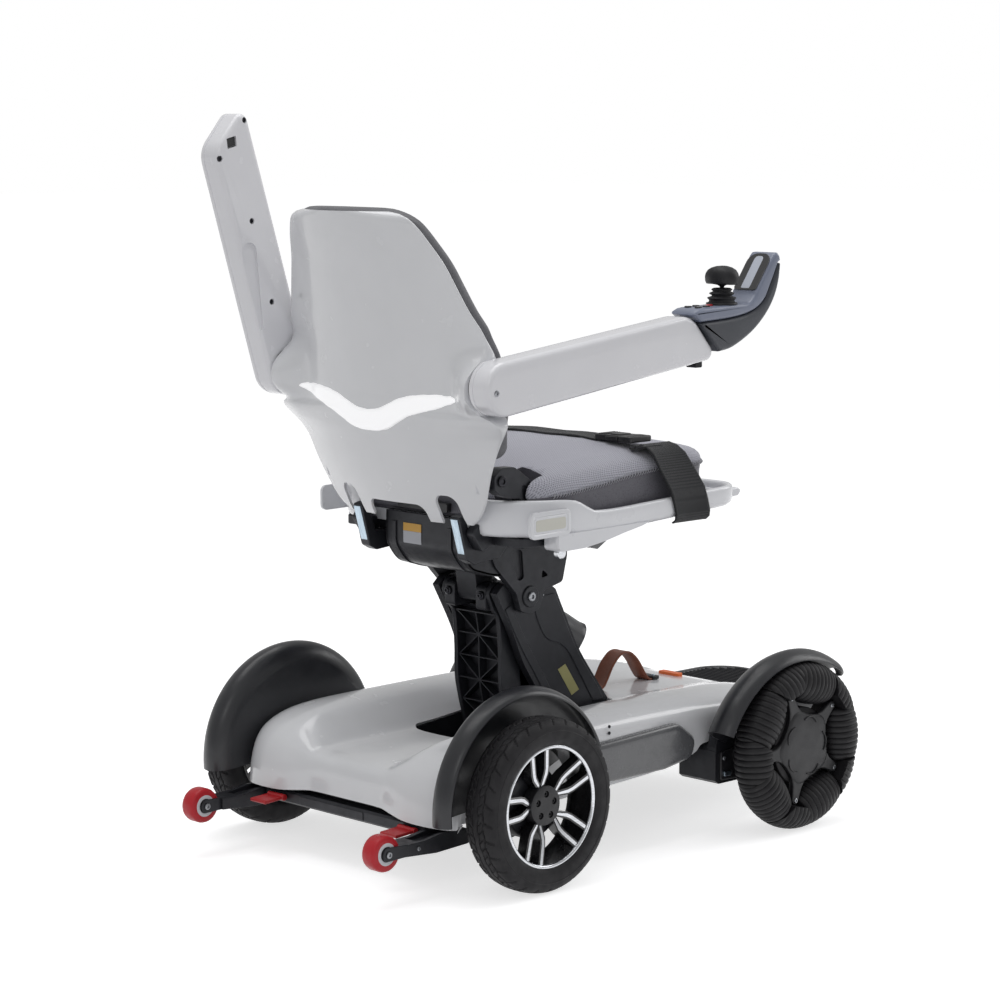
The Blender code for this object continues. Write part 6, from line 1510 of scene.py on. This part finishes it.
def build_plate():
    plan = rounded(mm((-145, -657, 14), (145, -657, 14), (145, -820, 60), (-145, -820, 60)), 9)
    rings = []
    for z, inset in mm((121.2, 4), (122.2, 1.4), (125, 0), (139, 0), (141.8, 1.4), (143, 4.2), (143, 10),
            (141.8, 11.2), (141.8, 13)):
        rings.append([(x, y, z) for x, y in drawn_in(plan, inset)])
    hinge = (-0.646, 0.143)
    arm = mm((-667, 125), (-667, 140)) + arc(hinge, 0.009, 150.0, -90.0, 16)
    arms = [prism(arm, "X", *sided(side, 0.0305, 0.06)) for side in (1.0, -1.0)]
    piece("footplate_skin", merged(loft(rings), *arms), FENDER, "footrest", "footplate", bevel=0.001,
        sharp=40.0)
    ribs = []
    for k in range(15):
        y = -0.675 - 0.0092 * k
        reach = 0.127 if y > -0.77 else 0.127 - 0.9 * (-0.77 - y)
        path = [(-reach, y, 0.142), (reach, y, 0.142)]
        ribs.append(tube(path, 0.0016, 8, squash=0.0013))
    piece("footplate_ribs", merged(*ribs), RUBBER, "footrest")


build_body()
build_strap()
build_chassis()
build_plate()

# wheels and fenders

DRIVE_R = 0.1165
DRIVE_X = 0.269
BEAD_R = 0.0793


def spun(side, x, profile, segments, centre=(0.0, 0.0, DRIVE_R)):
    """Turn (along, radius) points, which start at x and lead outwards, about a wheel's axle."""
    return turned([(side * (x + along), radius) for along, radius in profile], "X", centre, segments)


def tyre_profile():
    """Return half the tyre's section as (distance from its middle, radius)."""
    return smooth_path(mm((21.5, 79.8), (26.2, 87), (27, 96), (26.2, 104), (23.5, 110), (19, 114),
        (12, 115.8), (6, 116.4), (0, 116.5)), 4)


def groove_depth(along, turn):
    """Return the tread's depth at a distance from the middle and a turn in degrees."""
    off = abs(along)
    if off > 0.0258:
        return 0.0
    lean = turn + (3.0 if along > 0 else 0.0)
    wave = 1.3 * sin(radians(lean * 30.0))
    depth = 0.0
    for place, width in mm((4.5, 1.1), (13.5, 1.2)):
        near = abs(off - place - wave * 0.0006)
        depth = max(depth, 1.0 - smoothstep(width * 0.5, width, near))
    bar = (lean + off * 330.0) % 12.0
    if 0.014 < off < 0.0252:
        depth = max(depth, (1.0 - smoothstep(0.55, 1.0, abs(bar - 6.0))) * (1.0 - smoothstep(0.0225, 0.0252,
            off)))
    if off < 0.012:
        bar = (lean - off * 420.0) % 6.0
        depth = max(depth, 0.8 * (1.0 - smoothstep(0.35, 0.75, abs(bar - 3.0))) * smoothstep(0.0045, 0.006,
            off))
    return 0.0022 * depth


def build_tyre(side, word):
    half = tyre_profile()
    extra = []
    for (a, ra), (b, rb) in zip(half, half[1:]):
        extra.append((a, ra))
        if a < 0.0262:
            extra.append(((a + b) / 2.0, (ra + rb) / 2.0))
    extra.append(half[-1])
    profile = extra + [(-a, r) for a, r in reversed(extra[:-1])]
    count = 420
    bm = bmesh.new()
    rings = []
    for i in range(count):
        turn = 360.0 * i / count
        c, s = cos(radians(turn)), sin(radians(turn))
        ring = []
        for along, radius in profile:
            r = radius - groove_depth(along, turn) * (1.0 if radius > 0.1035 else 0.0)
            ring.append(Vector((side * (DRIVE_X + along), REAR_Y + r * c, DRIVE_R + r * s)))
        ring.append(Vector((side * (DRIVE_X - 0.02), REAR_Y + BEAD_R * c, DRIVE_R + BEAD_R * s)))
        ring.append(Vector((side * (DRIVE_X + 0.02), REAR_Y + BEAD_R * c, DRIVE_R + BEAD_R * s)))
        rings.append(ring)
    rings.append(rings[0])
    ringed(bm, rings, True, False)
    welded(bm, 1e-7)
    outward(bm)
    piece(f"tyre_{word}", bm, TYRE, f"drive_wheel_{word}", f"drive_tyre_{word}", sharp=30.0)
    for number, (place, radius) in enumerate(mm((26.2, 90.5), (26.6, 101))):
        line = turned([(0.0, radius - 0.0009), (side * 0.0007, radius), (0.0, radius + 0.0009),
            (-side * 0.0006, radius), (0.0, radius - 0.0009)], "X", (0.0, 0.0, DRIVE_R), 120)
        moved(line, Matrix.Translation((side * (DRIVE_X + place), 0.0, 0.0)))
        piece(f"tyre_line_{word}_{number}", line, TYRE, f"drive_wheel_{word}")


def spoke_bar(side, middle, way, half_w, thick, lift, taper):
    """Return one kinked spoke that rises outwards from the hub to the rim's lip."""
    path, rise = [], []
    for radius, off, out in ((0.0262, 5.5, 0.0098), (0.043, 14.2, 0.0135), (0.0505, 13.9, 0.0152),
            (0.0782, 10.0, 0.0208)):
        angle = radians(middle + way * off)
        path.append(Vector((radius * cos(angle), DRIVE_R + radius * sin(angle))))
        rise.append(DRIVE_X + out + lift)
    rings = []
    for i, point in enumerate(path):
        along = heading(path, i)
        over = Vector((-along.y, along.x)) * (half_w * (taper if i == 0 else 1.0))
        left, right = point + over, point - over
        rings.append([(side * rise[i], left.x, left.y), (side * rise[i], right.x, right.y),
            (side * (rise[i] - thick), right.x, right.y), (side * (rise[i] - thick), left.x, left.y)])
    return loft(rings)


def build_rim(side, word):
    body = f"drive_wheel_{word}"
    x = DRIVE_X
    barrel = mm((-23, 76.5), (-23, 80.6), (-21, 81.2), (20, 81.2), (22.2, 80.8), (23, 79.5), (22.5, 77.5),
        (12, 75.8), (-20, 75.2), (-23, 76.5))
    skin = spun(side, x, barrel, 120)
    spokes = []
    silver = []
    for pair in range(5):
        middle = 90.0 + 72.0 * pair - 14.0
        if side > 0:
            middle = 180.0 - middle
        for way in (1.0, -1.0):
            spokes.append(spoke_bar(side, middle, way, 0.0046, 0.016, -0.0008, 0.8))
            silver.append(spoke_bar(side, middle, way, 0.0024, 0.0018, 0.0, 0.6))
    web = merged(*spokes)
    piece(f"rim_{word}", merged(skin, web), RIM_BLACK, body, f"drive_rim_{word}", sharp=32.0)
    piece(f"spoke_faces_{word}", merged(*silver), SILVER, body, bevel=0.0004)
    lip = mm((19.5, 76.8), (22.4, 77.2), (23.6, 78.5), (23.9, 80), (23.6, 81.5), (22.2, 82.2), (19.5, 81.5))
    ring = spun(side, x, lip + lip[:1], 128)
    piece(f"rim_lip_{word}", ring, SILVER, body, sharp=60.0)
    hub = mm((-4.5, 0), (-4.5, 26.8), (9, 26.8), (12.2, 26.2), (13.2, 24.5), (13.6, 12), (13.7, 0))
    cap = piece(f"hub_{word}", spun(side, x, hub, 72), BODY_BLACK, body, sharp=40.0)
    for number in range(5):
        angle = radians(72.0 * number + 20.0)
        y, z = 0.0155 * cos(angle), DRIVE_R + 0.0155 * sin(angle)
        cut(cap, pin(side * (x + 0.0085), side * (x + 0.02), 0.0046, (y, z), 24))
        screw(f"hub_bolt_{word}_{number}", (side * (x + 0.0084), y, z), "X", side, 0.0037, body, BODY_BLACK,
            0.003)
    resharp(cap, 40.0)
    can = [(SHELL_HALF_W + 0.0033, 0.0), (SHELL_HALF_W + 0.0033, 0.046), (SHELL_HALF_W + 0.005, 0.0478),
        (x - 0.011, 0.0478), (x - 0.0085, 0.0462), (x - 0.0075, 0.04), (x - 0.0075, 0.012), (x - 0.0072, 0.0)]
    piece(f"motor_{word}", spun(side, 0.0, can, 72), CASTING, "base", f"drive_motor_{word}", sharp=40.0)
    screws(f"motor_screw_{word}", side, x - 0.0078, (0.0, DRIVE_R), 0.0385, range(12, 372, 60), 0.0028,
        DARK_SCREW)


OMNI_X = 0.279
OMNI_R = 0.121
ROLLER_CIRCLE_R = 0.09
TIP_SCREW_R = 0.0785
# degrees between two rollers of a row, and the place of the first fixed one
ROLLER_STEP = 72.0
FIXED_START = -22.5


def roller_radius(s):
    return sqrt(OMNI_R ** 2 - s ** 2) - ROLLER_CIRCLE_R


def roller_place(side, angle):
    """Return the matrix that puts a roller drawn along Y at the origin on its wheel."""
    axle = Vector((side * OMNI_X, OMNI_Y + REAR_Y, OMNI_Z))
    out = Vector((0.0, -sin(angle) * ROLLER_CIRCLE_R, cos(angle) * ROLLER_CIRCLE_R))
    return Matrix.Translation(axle + out) @ Matrix.Rotation(angle, 4, "X")


def ribbed_roller(half, ribs=9):
    """Return a barrel roller along Y whose rubber stands in rounded ribs."""
    profile = [(-half + 0.0003, 0.0)]
    count = ribs * 10
    for i in range(count + 1):
        s = -half + 0.0003 + (2.0 * half - 0.0006) * i / count
        wave = abs(sin(pi * ribs * i / count)) ** 0.55
        profile.append((s, roller_radius(s) - 0.0021 * (1.0 - wave)))
    profile.append((half - 0.0003, 0.0))
    bm = bmesh.new()
    rings = []
    for s, radius in profile:
        rings.append([Vector((radius * cos(2.0 * pi * k / 40), s, radius * sin(2.0 * pi * k / 40)))
            for k in range(40)])
    ringed(bm, rings, True, False)
    welded(bm, 1e-7)
    return outward(bm)


def sliced(bm, point, normal):
    """Cut a closed mesh off on the side that the normal points to."""
    everything = list(bm.verts) + list(bm.edges) + list(bm.faces)
    bmesh.ops.bisect_plane(bm, geom=everything, plane_co=point, plane_no=normal, clear_outer=True)
    bmesh.ops.holes_fill(bm, edges=[edge for edge in bm.edges if edge.is_boundary], sides=0)
    return bm


def build_omni(side, word):
    body = f"omni_wheel_{word}"
    for number in range(1, 6):
        angle = radians(13.5 + ROLLER_STEP * (number - 1))
        roller = moved(ribbed_roller(0.038), roller_place(side, angle))
        piece(f"roller_{word}_{number}", roller, ROLLER, f"omni_roller_{word}_{number}",
            f"omni_roller_{word}_{number}", sharp=50.0)
    fixed = []
    half_step = radians(36.0)
    end = ROLLER_CIRCLE_R * tan(half_step) - 0.0384 / cos(half_step)
    for number in range(5):
        angle = radians(FIXED_START + ROLLER_STEP * number)
        bm = ribbed_roller(0.0405)
        for way in (1.0, -1.0):
            sliced(bm, (0.0, way * end, 0.0), (0.0, way * cos(half_step), -sin(half_step)))
        sliced(bm, (0.0, 0.0, -0.004), (0.0, 0.0, -1.0))
        fixed.append(moved(bm, roller_place(side, angle)))
    core = mm((-38.7, 11), (-38.7, 54), (-37, 55.5), (5.5, 55.5), (7.1, 54), (7.1, 0), (-20, 0), (-20, 11),
        (-38.7, 11))
    fixed.append(spun(side, OMNI_X, core, 64, (0.0, OMNI_Y, OMNI_Z)))
    for number in range(5):
        middle = radians(FIXED_START + ROLLER_STEP * number)
        wedge = []
        for way, radii in ((1.0, (0.05, 0.0745, 0.09)), (-1.0, (0.09, 0.0745, 0.05))):
            for radius in radii:
                sideways = way * max(0.0028, radius * tan(half_step) - 0.0385 / cos(half_step))
                out, over = (-sin(middle), cos(middle)), (-cos(middle), -sin(middle))
                wedge.append((OMNI_Y + out[0] * radius + over[0] * sideways, OMNI_Z + out[1] * radius
                    + over[1] * sideways))
        fixed.append(prism(wedge, "X", *sided(side, OMNI_X - 0.012, OMNI_X + 0.008)))
    piece(f"omni_fixed_{word}", merged(*fixed), ROLLER, body, f"omni_hub_{word}", sharp=50.0)
    outline = []
    for number in range(5):
        middle = radians(FIXED_START + ROLLER_STEP * number)
        for off, radius in ((-27.0, 0.047), (-16.0, 0.051), (-9.0, 0.06), (-6.0, 0.072), (-4.8, 0.08),
                (-3.0, 0.0838), (0.0, 0.085), (3.0, 0.0838), (4.8, 0.08), (6.0, 0.072), (9.0, 0.06),
                (16.0, 0.051), (27.0, 0.047)):
            angle = middle + radians(off)
            outline.append((OMNI_Y - radius * sin(angle), OMNI_Z + radius * cos(angle)))
    low, high = sided(side, OMNI_X + 0.0056, OMNI_X + 0.015)
    piece(f"star_{word}", prism(outline, "X", low, high), BODY_BLACK, body, bevel=0.0022, steps=4)
    dome = []
    for reach, rise in ((1.0, 0.0146), (0.97, 0.0162), (0.9, 0.0175), (0.6, 0.0182), (0.3, 0.0184),
            (0.02, 0.0184)):
        ring = []
        for k in range(90):
            angle = 2.0 * pi * k / 90
            lobes = 0.05 + 0.0045 * cos(5.0 * (angle + radians(22.5)))
            r = lobes * reach
            ring.append((side * (OMNI_X + rise), OMNI_Y - r * sin(angle), OMNI_Z + r * cos(angle)))
        dome.append(ring)
    piece(f"star_dome_{word}", loft(dome), BODY_BLACK, body, sharp=60.0)
    for number in range(5):
        middle = radians(FIXED_START + ROLLER_STEP * number)
        place = (side * (OMNI_X + 0.0148), OMNI_Y - TIP_SCREW_R * sin(middle),
            OMNI_Z + TIP_SCREW_R * cos(middle))
        screw(f"star_tip_{word}_{number}", place, "X", side, 0.0034, body)
        crescent = []
        for k in range(13):
            off = radians(-20.0 + 40.0 * k / 12.0)
            r = 0.0385 + 0.005 * cos(off * 4.0)
            angle = middle + radians(36.0) + off
            crescent.append((side * (OMNI_X + 0.0182), OMNI_Y - r * sin(angle), OMNI_Z + r * cos(angle)))
        piece(f"star_rib_{word}_{number}", tube(crescent, 0.0011, 8), BODY_BLACK, body)


def swept(side, section, centre, start, end, steps, tip=0.0):
    """Sweep an (x, radius) section about an axle, from the rear over the top; tip rounds the far end off."""
    rings = []
    root = min(x for x, radius in section)
    for i in range(steps + 1):
        turn = start + (end - start) * i / steps
        near = max(0.0, 1.0 - (end - turn) / tip) if tip else 0.0
        keep = 1.0 - 0.45 * (1.0 - sqrt(1.0 - near * near))
        angle = radians(turn)
        rings.append([(side * (root + (x - root) * keep), centre[0] + radius * cos(angle),
            centre[1] + radius * sin(angle)) for x, radius in section])
    return loft(rings)


def walled(path, wall):
    """Thicken an open path inward into a closed section with a rounded free edge."""
    points, inner = [Vector(p) for p in path], beside(path, wall)
    tip = (points[0] + inner[0]) / 2.0 - (points[1] - points[0]).normalized() * (wall * 0.4)
    return [tuple(p) for p in points] + [tuple(p) for p in reversed(inner)] + [tuple(tip)]


def build_fenders():
    for side, word in SIDES:
        path = [(SHELL_HALF_W + a, r) for a, r in smooth_path(mm((42.5, 143), (40, 146.2), (33.5, 149.8),
            (24, 151.8), (15, 150), (7, 142.5), (2, 131), (0.8, 118), (0.8, 70), (0.8, 30)), 4)]
        arch = swept(side, walled(path, 0.003), (0.0, DRIVE_R), -5.0, 158.0, 72)
        piece(f"fender_rear_{word}", arch, FENDER, "base", f"rear_fender_{word}", sharp=50.0)
        disc = [(SHELL_HALF_W + 0.0006, 0.0), (SHELL_HALF_W + 0.0006, 0.056), (SHELL_HALF_W + 0.0032, 0.0552),
            (SHELL_HALF_W + 0.0034, 0.0)]
        piece(f"fender_disc_{word}", spun(side, 0.0, disc, 72), FENDER, "base")
        screws(f"fender_screw_{word}", side, SHELL_HALF_W + 0.0036, (0.0, DRIVE_R), 0.112, (140, 150, 118),
            0.0026)
        path = [(CHASSIS_HALF_W + a, r) for a, r in smooth_path(mm((56, 165), (53, 169), (45, 174.5),
            (32, 178), (15, 171), (5, 159), (1, 145), (1, 116)), 4)]
        arch = swept(side, walled(path, 0.003), FRONT_ARCH, 27.0, 130.0, 84, 9.0)
        piece(f"fender_front_{word}", arch, FENDER, "base", f"front_fender_{word}", sharp=50.0)
        screws(f"front_fender_screw_{word}", side, 0.2362, FRONT_ARCH, 0.13, (42, 60), 0.0026)


def build_tips():
    """Build the small rear wheels with their arms, and the two freewheel levers."""
    for side, word in SIDES:
        x = 0.186
        body = f"anti_tip_wheel_{word}"
        axle = (0.0, 0.204, 0.072)
        red = mm((-11.8, 15), (-11.8, 20.5), (-10.5, 22.8), (-7, 24), (7, 24), (10.5, 22.8), (11.8, 20.5),
            (11.8, 15), (-11.8, 15))
        piece(f"tip_tyre_{word}", turned([(side * x + a, r) for a, r in red], "X", axle, 64), RED, body, body,
            sharp=50.0)
        for way, label in ENDS:
            ring = mm((9.5, 10), (12.1, 10), (12.2, 13.5), (11.6, 15.3), (9.5, 15.3), (9.5, 10))
            piece(f"tip_ring_{word}_{label}", turned([(side * x + way * a, r) for a, r in ring], "X", axle,
                56), INNER_WHITE, body, sharp=40.0)
            hub = mm((2, 0), (2, 10.2), (12.2, 10.2), (12.4, 0))
            piece(f"tip_hub_{word}_{label}", turned([(side * x + way * a, r) for a, r in hub], "X", axle, 40),
                BODY_BLACK, body)
            screw(f"tip_pin_{word}_{label}", (side * x + way * 0.0156, axle[1], axle[2]), "X", way, 0.0045,
                "base", SCREW, 0.0024)
        beam = rounded(mm((62, 63, 2), (62, 83, 2), (112, 84.5, 20), (140, 80, 10), (180, 79, 0),
            (180, 64, 0), (120, 60, 10)), 4)
        solid = piece(f"tip_beam_{word}", prism(beam, "X", *sided(side, 0.1662, 0.2014)), CASTING, "base",
            f"anti_tip_arm_{word}", bevel=0.0016, steps=3)
        cut(solid, prism(rounded(mm((80, 89.5, 0), (80, 79, 4), (150, 74.5, 4), (150, 89.5, 0))), "X",
            *sided(side, 0.1735, 0.195)))
        tine = [(0.17, 0.08), (0.17, 0.064)] + arc((axle[1], axle[2]), 0.0092, -90.0, 90.0, 14)
        for way, label in ENDS:
            low, high = sorted((side * x + way * 0.0127, side * x + way * 0.0157))
            piece(f"tip_tine_{word}_{label}", prism(tine, "X", low, high), CASTING, "base", bevel=0.0009)
        screw(f"tip_bolt_{word}", (side * 0.2015, 0.152, 0.0715), "X", side, 0.003, "base")
        low, high = sided(side, 0.118, 0.15)
        paddle = rounded(mm((110, 80, 0), (110, 76, 0), (145, 73.5, 1.8), (145.5, 78.2, 1.8)), 4)
        knuckle = pin(low - 0.001, high + 0.001, 0.0046, (0.1103, 0.078), 28)
        piece(f"lever_{word}", merged(prism(paddle, "X", low, high), knuckle), RED_PAINT,
            f"freewheel_lever_{word}", f"freewheel_lever_{word}", bevel=0.0012, steps=3)


for side, word in SIDES:
    build_tyre(side, word)
    build_rim(side, word)
    build_omni(side, word)
build_fenders()
build_tips()

# folding column and seat carrier

LEG_PIN = (-0.172, 0.35)
STRUT_PIN = (-0.14, 0.352)


def side_plate(name, outline, side, low, high, look, body, bevel=0.0015, steps=3):
    return piece(name, prism(outline, "X", *sided(side, low, high)), look, body, bevel=bevel, steps=steps)


def build_leg():
    rear = smooth_path(mm((-120, 357), (-151, 301), (-172, 255), (-197, 217), (-232, 165)), 6)
    front = smooth_path(mm((-343, 181), (-287, 255), (-254, 316), (-236, 352)), 6)
    top = smooth_path(mm((-214, 368), (-172, 373.5), (-133, 369)), 4)
    outline = rear + mm((-262, 137), (-290, 137)) + front + top
    inner, outer = 0.052, 0.065
    step = smooth_path(mm((-188, 344), (-199, 312), (-213, 288), (-226, 279), (-242, 274), (-256, 264),
        (-268, 249), (-290, 215), (-312, 180)), 4)
    for side, word in SIDES:
        cheek = side_plate(f"leg_cheek_{word}", outline, side, inner, outer, CASTING, "leg", 0.0022, 4)
        if side > 0:
            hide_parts("front_leg")
        cut(cheek, pin(side * (inner - 0.002), side * (outer + 0.002), 0.0094, LEG_PIN, 40))
        rail = step + [(-0.333, 0.181)] + [(y + 0.0045, z - 0.0015) for y, z in front[2:-1]]
        side_plate(f"leg_rail_{word}", rail, side, outer - 0.001, outer + 0.0014, CASTING, "leg", 0.0013)
        lip = smooth_path(mm((-148, 340), (-160, 316), (-183, 276), (-206, 242), (-224, 213), (-244, 180)), 4)
        wall = lip + [(y + 0.012, z - 0.006) for y, z in reversed(lip)]
        side_plate(f"leg_rear_rib_{word}", wall, side, outer - 0.001, outer + 0.0014, CASTING, "leg", 0.0013)
        screw(f"leg_rivet_{word}", (side * (outer - 0.0008), -0.208, 0.345), "X", side, 0.0045, "leg")
        plate = mm((-240, 236.5), (-255, 242.5), (-283, 202), (-268, 195.5))
        side_plate(f"leg_label_{word}", plate, side, outer, outer + 0.0005, LABEL, "leg", 0.0002, 1)
    back = [(y + 0.0115, z - 0.002) for y, z in reversed(front[1:])]
    web = [(-0.335, 0.175)] + front[1:] + [(-0.228, 0.352)] + back
    piece("leg_web", prism(web, "X", -0.0525, 0.0525), CASTING, "leg", bevel=0.001)
    foot = turned(mm((-91.5, 0), (-91.5, 10.8), (-90.3, 12), (90.3, 12), (91.5, 10.8), (91.5, 0)), "X",
        (0.0, -0.272, 0.155), 48)
    piece("leg_shaft", foot, STEEL, "leg")


LABEL = moulded("bare_label", (150, 146, 96), 0.5, lift=6)
PALE_LABEL = moulded("pale_label", (176, 178, 184), 0.45, lift=6)
AMBER_LABEL = moulded("amber_label", (206, 158, 70), 0.45, lift=6)


def at_height(path, z):
    """Return the y of a (y, z) path at a height."""
    return table([(b, a) for a, b in path], z)


def build_strut():
    foot = (-0.185, 0.135)
    rear = smooth_path(mm((-121.5, 352), (-130, 332), (-141, 316), (-145, 270), (-147, 217), (-166, 145)), 5)
    front = smooth_path(mm((-202, 145), (-185, 217), (-182, 270), (-177, 316), (-158.5, 352)), 5)
    outline = (arc(STRUT_PIN, 0.0185, 180.0, 0.0, 18) + rear[2:] + arc(foot, 0.018, 5.0, -185.0, 20)
        + front[1:-1])
    for side, word in SIDES:
        wall = side_plate(f"strut_wall_{word}", outline, side, 0.0405, 0.048, CASTING, "strut", 0.0018, 4)
        if side > 0:
            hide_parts("rear_strut")
    back = smooth_path(mm((-153, 330), (-158, 310), (-162, 270), (-164, 217), (-182, 150)), 4)
    ahead = [(y - 0.006, z) for y, z in reversed(back)]
    piece("strut_web", prism(back + ahead, "X", -0.041, 0.041), CASTING, "strut", bevel=0.0006)

    ribs = []
    bottom, top, cells = 0.16, 0.322, 5
    step = (top - bottom) / cells

    def rib(x0, z0, x1, z1, half=0.0014):
        along = Vector((x1 - x0, z1 - z0)).normalized()
        out = Vector((-along.y, along.x)) * half
        rings = []
        for k in range(7):
            share = k / 6.0
            x, z = x0 + (x1 - x0) * share, z0 + (z1 - z0) * share
            rear_y, inner_y = at_height(rear, z) - 0.0035, at_height(back, z) - 0.002
            rings.append([(x + out.x, inner_y, z + out.y), (x - out.x, inner_y, z - out.y),
                (x - out.x * 0.6, rear_y, z - out.y * 0.6), (x + out.x * 0.6, rear_y, z + out.y * 0.6)])
        return loft(rings)

    for row in range(cells + 1):
        z = bottom + step * row
        ribs.append(rib(-0.0405, z, 0.0405, z))
    for row in range(cells):
        low, high = bottom + step * row, bottom + step * (row + 1)
        for left, right in mm((-40.5, 0), (0, 40.5)):
            if (row + (left < 0)) % 2:
                low, high = high, low
            ribs.append(rib(left, low, right, high))
            low, high = min(low, high), max(low, high)
    ribs.append(rib(0.0, bottom, 0.0, top, 0.0018))
    piece("strut_ribs", merged(*ribs), CASTING, "strut", sharp=30.0)
    for side, word in SIDES:
        cap = rounded(mm((-121.5, 330, 6), (-121.5, 364, 8), (-150, 370, 8), (-157, 330, 4)), 5)
        side_plate(f"strut_head_{word}", cap, side, 0.0215, 0.041, CASTING, "strut", 0.0016)
        knob = turned(mm((0, 0), (0, 6.2), (3, 6.2), (4, 5), (4, 0)), "Y", (side * 0.033, -0.122, 0.352), 32)
        piece(f"strut_bolt_{word}", knob, DARK_SCREW, "strut")
        screw(f"strut_bolt_head_{word}", (side * 0.033, -0.1182, 0.352), "Y", 1.0, 0.004, "strut", DARK_SCREW,
            0.002)
    piece("strut_pin", pin(-0.0212, 0.0212, 0.0078, STRUT_PIN, 32), STEEL, "strut")


def build_carrier():
    body = "seat"
    plan = rounded(mm((-130, -245, 12), (130, -245, 12), (130, -150, 0), (178, -150, 8), (178, -58, 8),
        (-178, -58, 8), (-178, -150, 8), (-130, -150, 0)), 5)
    piece("carrier_deck", prism(plan, "Z", 0.438, 0.4515), CASTING, body, "seat_carrier", bevel=0.002,
        steps=3)
    pan = smooth_path(mm((-42, 470), (-41.5, 440), (-44, 422), (-62, 399), (-82, 391), (-100, 386),
        (-128, 381)), 6)
    inner = [tuple(point) for point in beside(pan, -0.005)]
    piece("carrier_pan", prism(pan + inner[::-1], "X", -0.075, 0.075), CASTING, body, bevel=0.0012,
        sharp=40.0)
    for x in (-0.056, 0.056):
        rib = [(y + 0.0022, z - 0.0004) for y, z in pan[3:-2]]
        back = [(y - 0.001, z) for y, z in reversed(pan[3:-2])]
        piece(f"pan_rib_{'left' if x > 0 else 'right'}", prism(rib + back, "X", x - 0.0035, x + 0.0035),
            CASTING, body, bevel=0.0008)
    for side, word in SIDES:
        gusset = pan + mm((-128, 440), (-58, 440), (-53, 469))
        side_plate(f"pan_gusset_{word}", gusset, side, 0.069, 0.075, CASTING, body, 0.001)
        lug = rounded(mm((-245, 440, 0), (-245, 400, 8), (-236, 364, 8), (-201, 356, 10), (-190, 331, 6),
            (-172, 325, 14), (-154, 331, 6), (-146, 356, 8), (-105, 398, 10), (-85, 440, 0)), 5)
        ear = side_plate(f"lug_{word}", lug, side, 0.0668, 0.0785, CASTING, body, 0.002, 3)
        drop = rounded(mm((-156, 418, 6), (-160, 376, 6), (-148, 374, 6), (-132, 416, 8)), 5)
        cut(ear, prism(drop, "X", *sided(side, 0.0745, 0.08)))
        window = rounded(mm((-196, 385, 1.5), (-208, 376, 1.5), (-195, 374, 1.5)), 4)
        cut(ear, prism(window, "X", *sided(side, 0.06, 0.082)))
        ring = mirrored(side, turned(mm((0, 0), (0, 15), (1.8, 15), (2.6, 14), (2.6, 0)), "X",
            (0.0783, *LEG_PIN), 48))
        piece(f"lug_boss_{word}", ring, CASTING, body)
        screw(f"lug_bolt_{word}", (side * 0.0808, *LEG_PIN), "X", side, 0.0068, body, SCREW, 0.003, 0.45)
        piece(f"lug_pin_{word}", pin(side * 0.051, side * 0.07, 0.0088, LEG_PIN, 32), STEEL, body)
        hook = rounded(mm((-110, 440, 0), (-86, 416, 10), (-38, 411.5, 8), (-24, 419, 8), (-9, 478, 3),
            (-21, 481, 3), (-36, 438, 8), (-60, 439.5, 0)), 5)
        side_plate(f"hook_{word}", hook, side, 0.089, 0.107, CASTING, body, 0.0018, 3)
        steel = smooth_path(mm((-9.5, 475), (-15, 456), (-22.5, 430), (-27, 419)), 4)
        plate = [(y + 0.0016, z) for y, z in steel] + [(y - 0.004, z + 0.001) for y, z in reversed(steel)]
        side_plate(f"hook_plate_{word}", plate, side, 0.0915, 0.1045, STEEL, body, 0.0006)
        wing = rounded(mm((-60, 439, 0), (-60, 452, 0), (-30, 470, 4), (-20, 456, 6), (-38, 430, 6)), 5)
        side_plate(f"wing_{word}", wing, side, 0.1075, 0.123, CASTING, body, 0.002, 3)
        tower = rounded(mm((-98, 440, 0), (-98, 490, 16), (-80, 530, 12), (-52, 548.5, 12), (-28, 549, 10),
            (-15, 538, 6), (-16, 520, 4), (-26, 512, 4), (-44, 506.5, 4), (-64.5, 505, 6), (-64.5, 440, 0)),
            6)
        block = side_plate(f"tower_{word}", tower, side, 0.1524, 0.17, CASTING, body, 0.0028, 4)
        sink = rounded(mm((-90, 470, 6), (-90, 493, 10), (-76, 520, 8), (-64, 524, 4), (-70, 500, 4),
            (-72, 470, 4)), 5)
        cut(block, prism(sink, "X", *sided(side, 0.1682, 0.173)))
        piece(f"tower_pin_{word}", pin(side * 0.1385, side * 0.156, 0.0058, BACK_PIN, 28), STEEL, body)
    tongue = rounded(mm((-165, 440, 0), (-154.5, 352, 0), (-150, 340, 10), (-130, 340, 10), (-125.5, 352, 0),
        (-115, 440, 0)), 6)
    tongue_piece = piece("carrier_tongue", prism(tongue, "X", -0.02, 0.02), CASTING, body, bevel=0.0015)
    cut(tongue_piece, pin(-0.03, 0.03, 0.0083, STRUT_PIN, 36))
    strip = oblong((-0.05, 0.05), (0.476, 0.489), 0.003, 4)
    piece("pan_strip", prism(strip, "Y", -0.056, -0.041), BODY_BLACK, body, bevel=0.001)
    for label, low, high, look in (("upper", 0.444, 0.455, AMBER_LABEL),
            ("lower", 0.427, 0.4438, PALE_LABEL)):
        rings = []
        for k in range(6):
            z = low + (high - low) * k / 5.0
            rear = at_height(pan, z) + 0.0002
            rings.append([(0.002, rear, z), (0.038, rear, z), (0.038, rear + 0.0006, z),
                (0.002, rear + 0.0006, z)])
        piece(f"pan_label_{label}", loft(rings), look, body)


build_leg()
build_strut()
build_carrier()
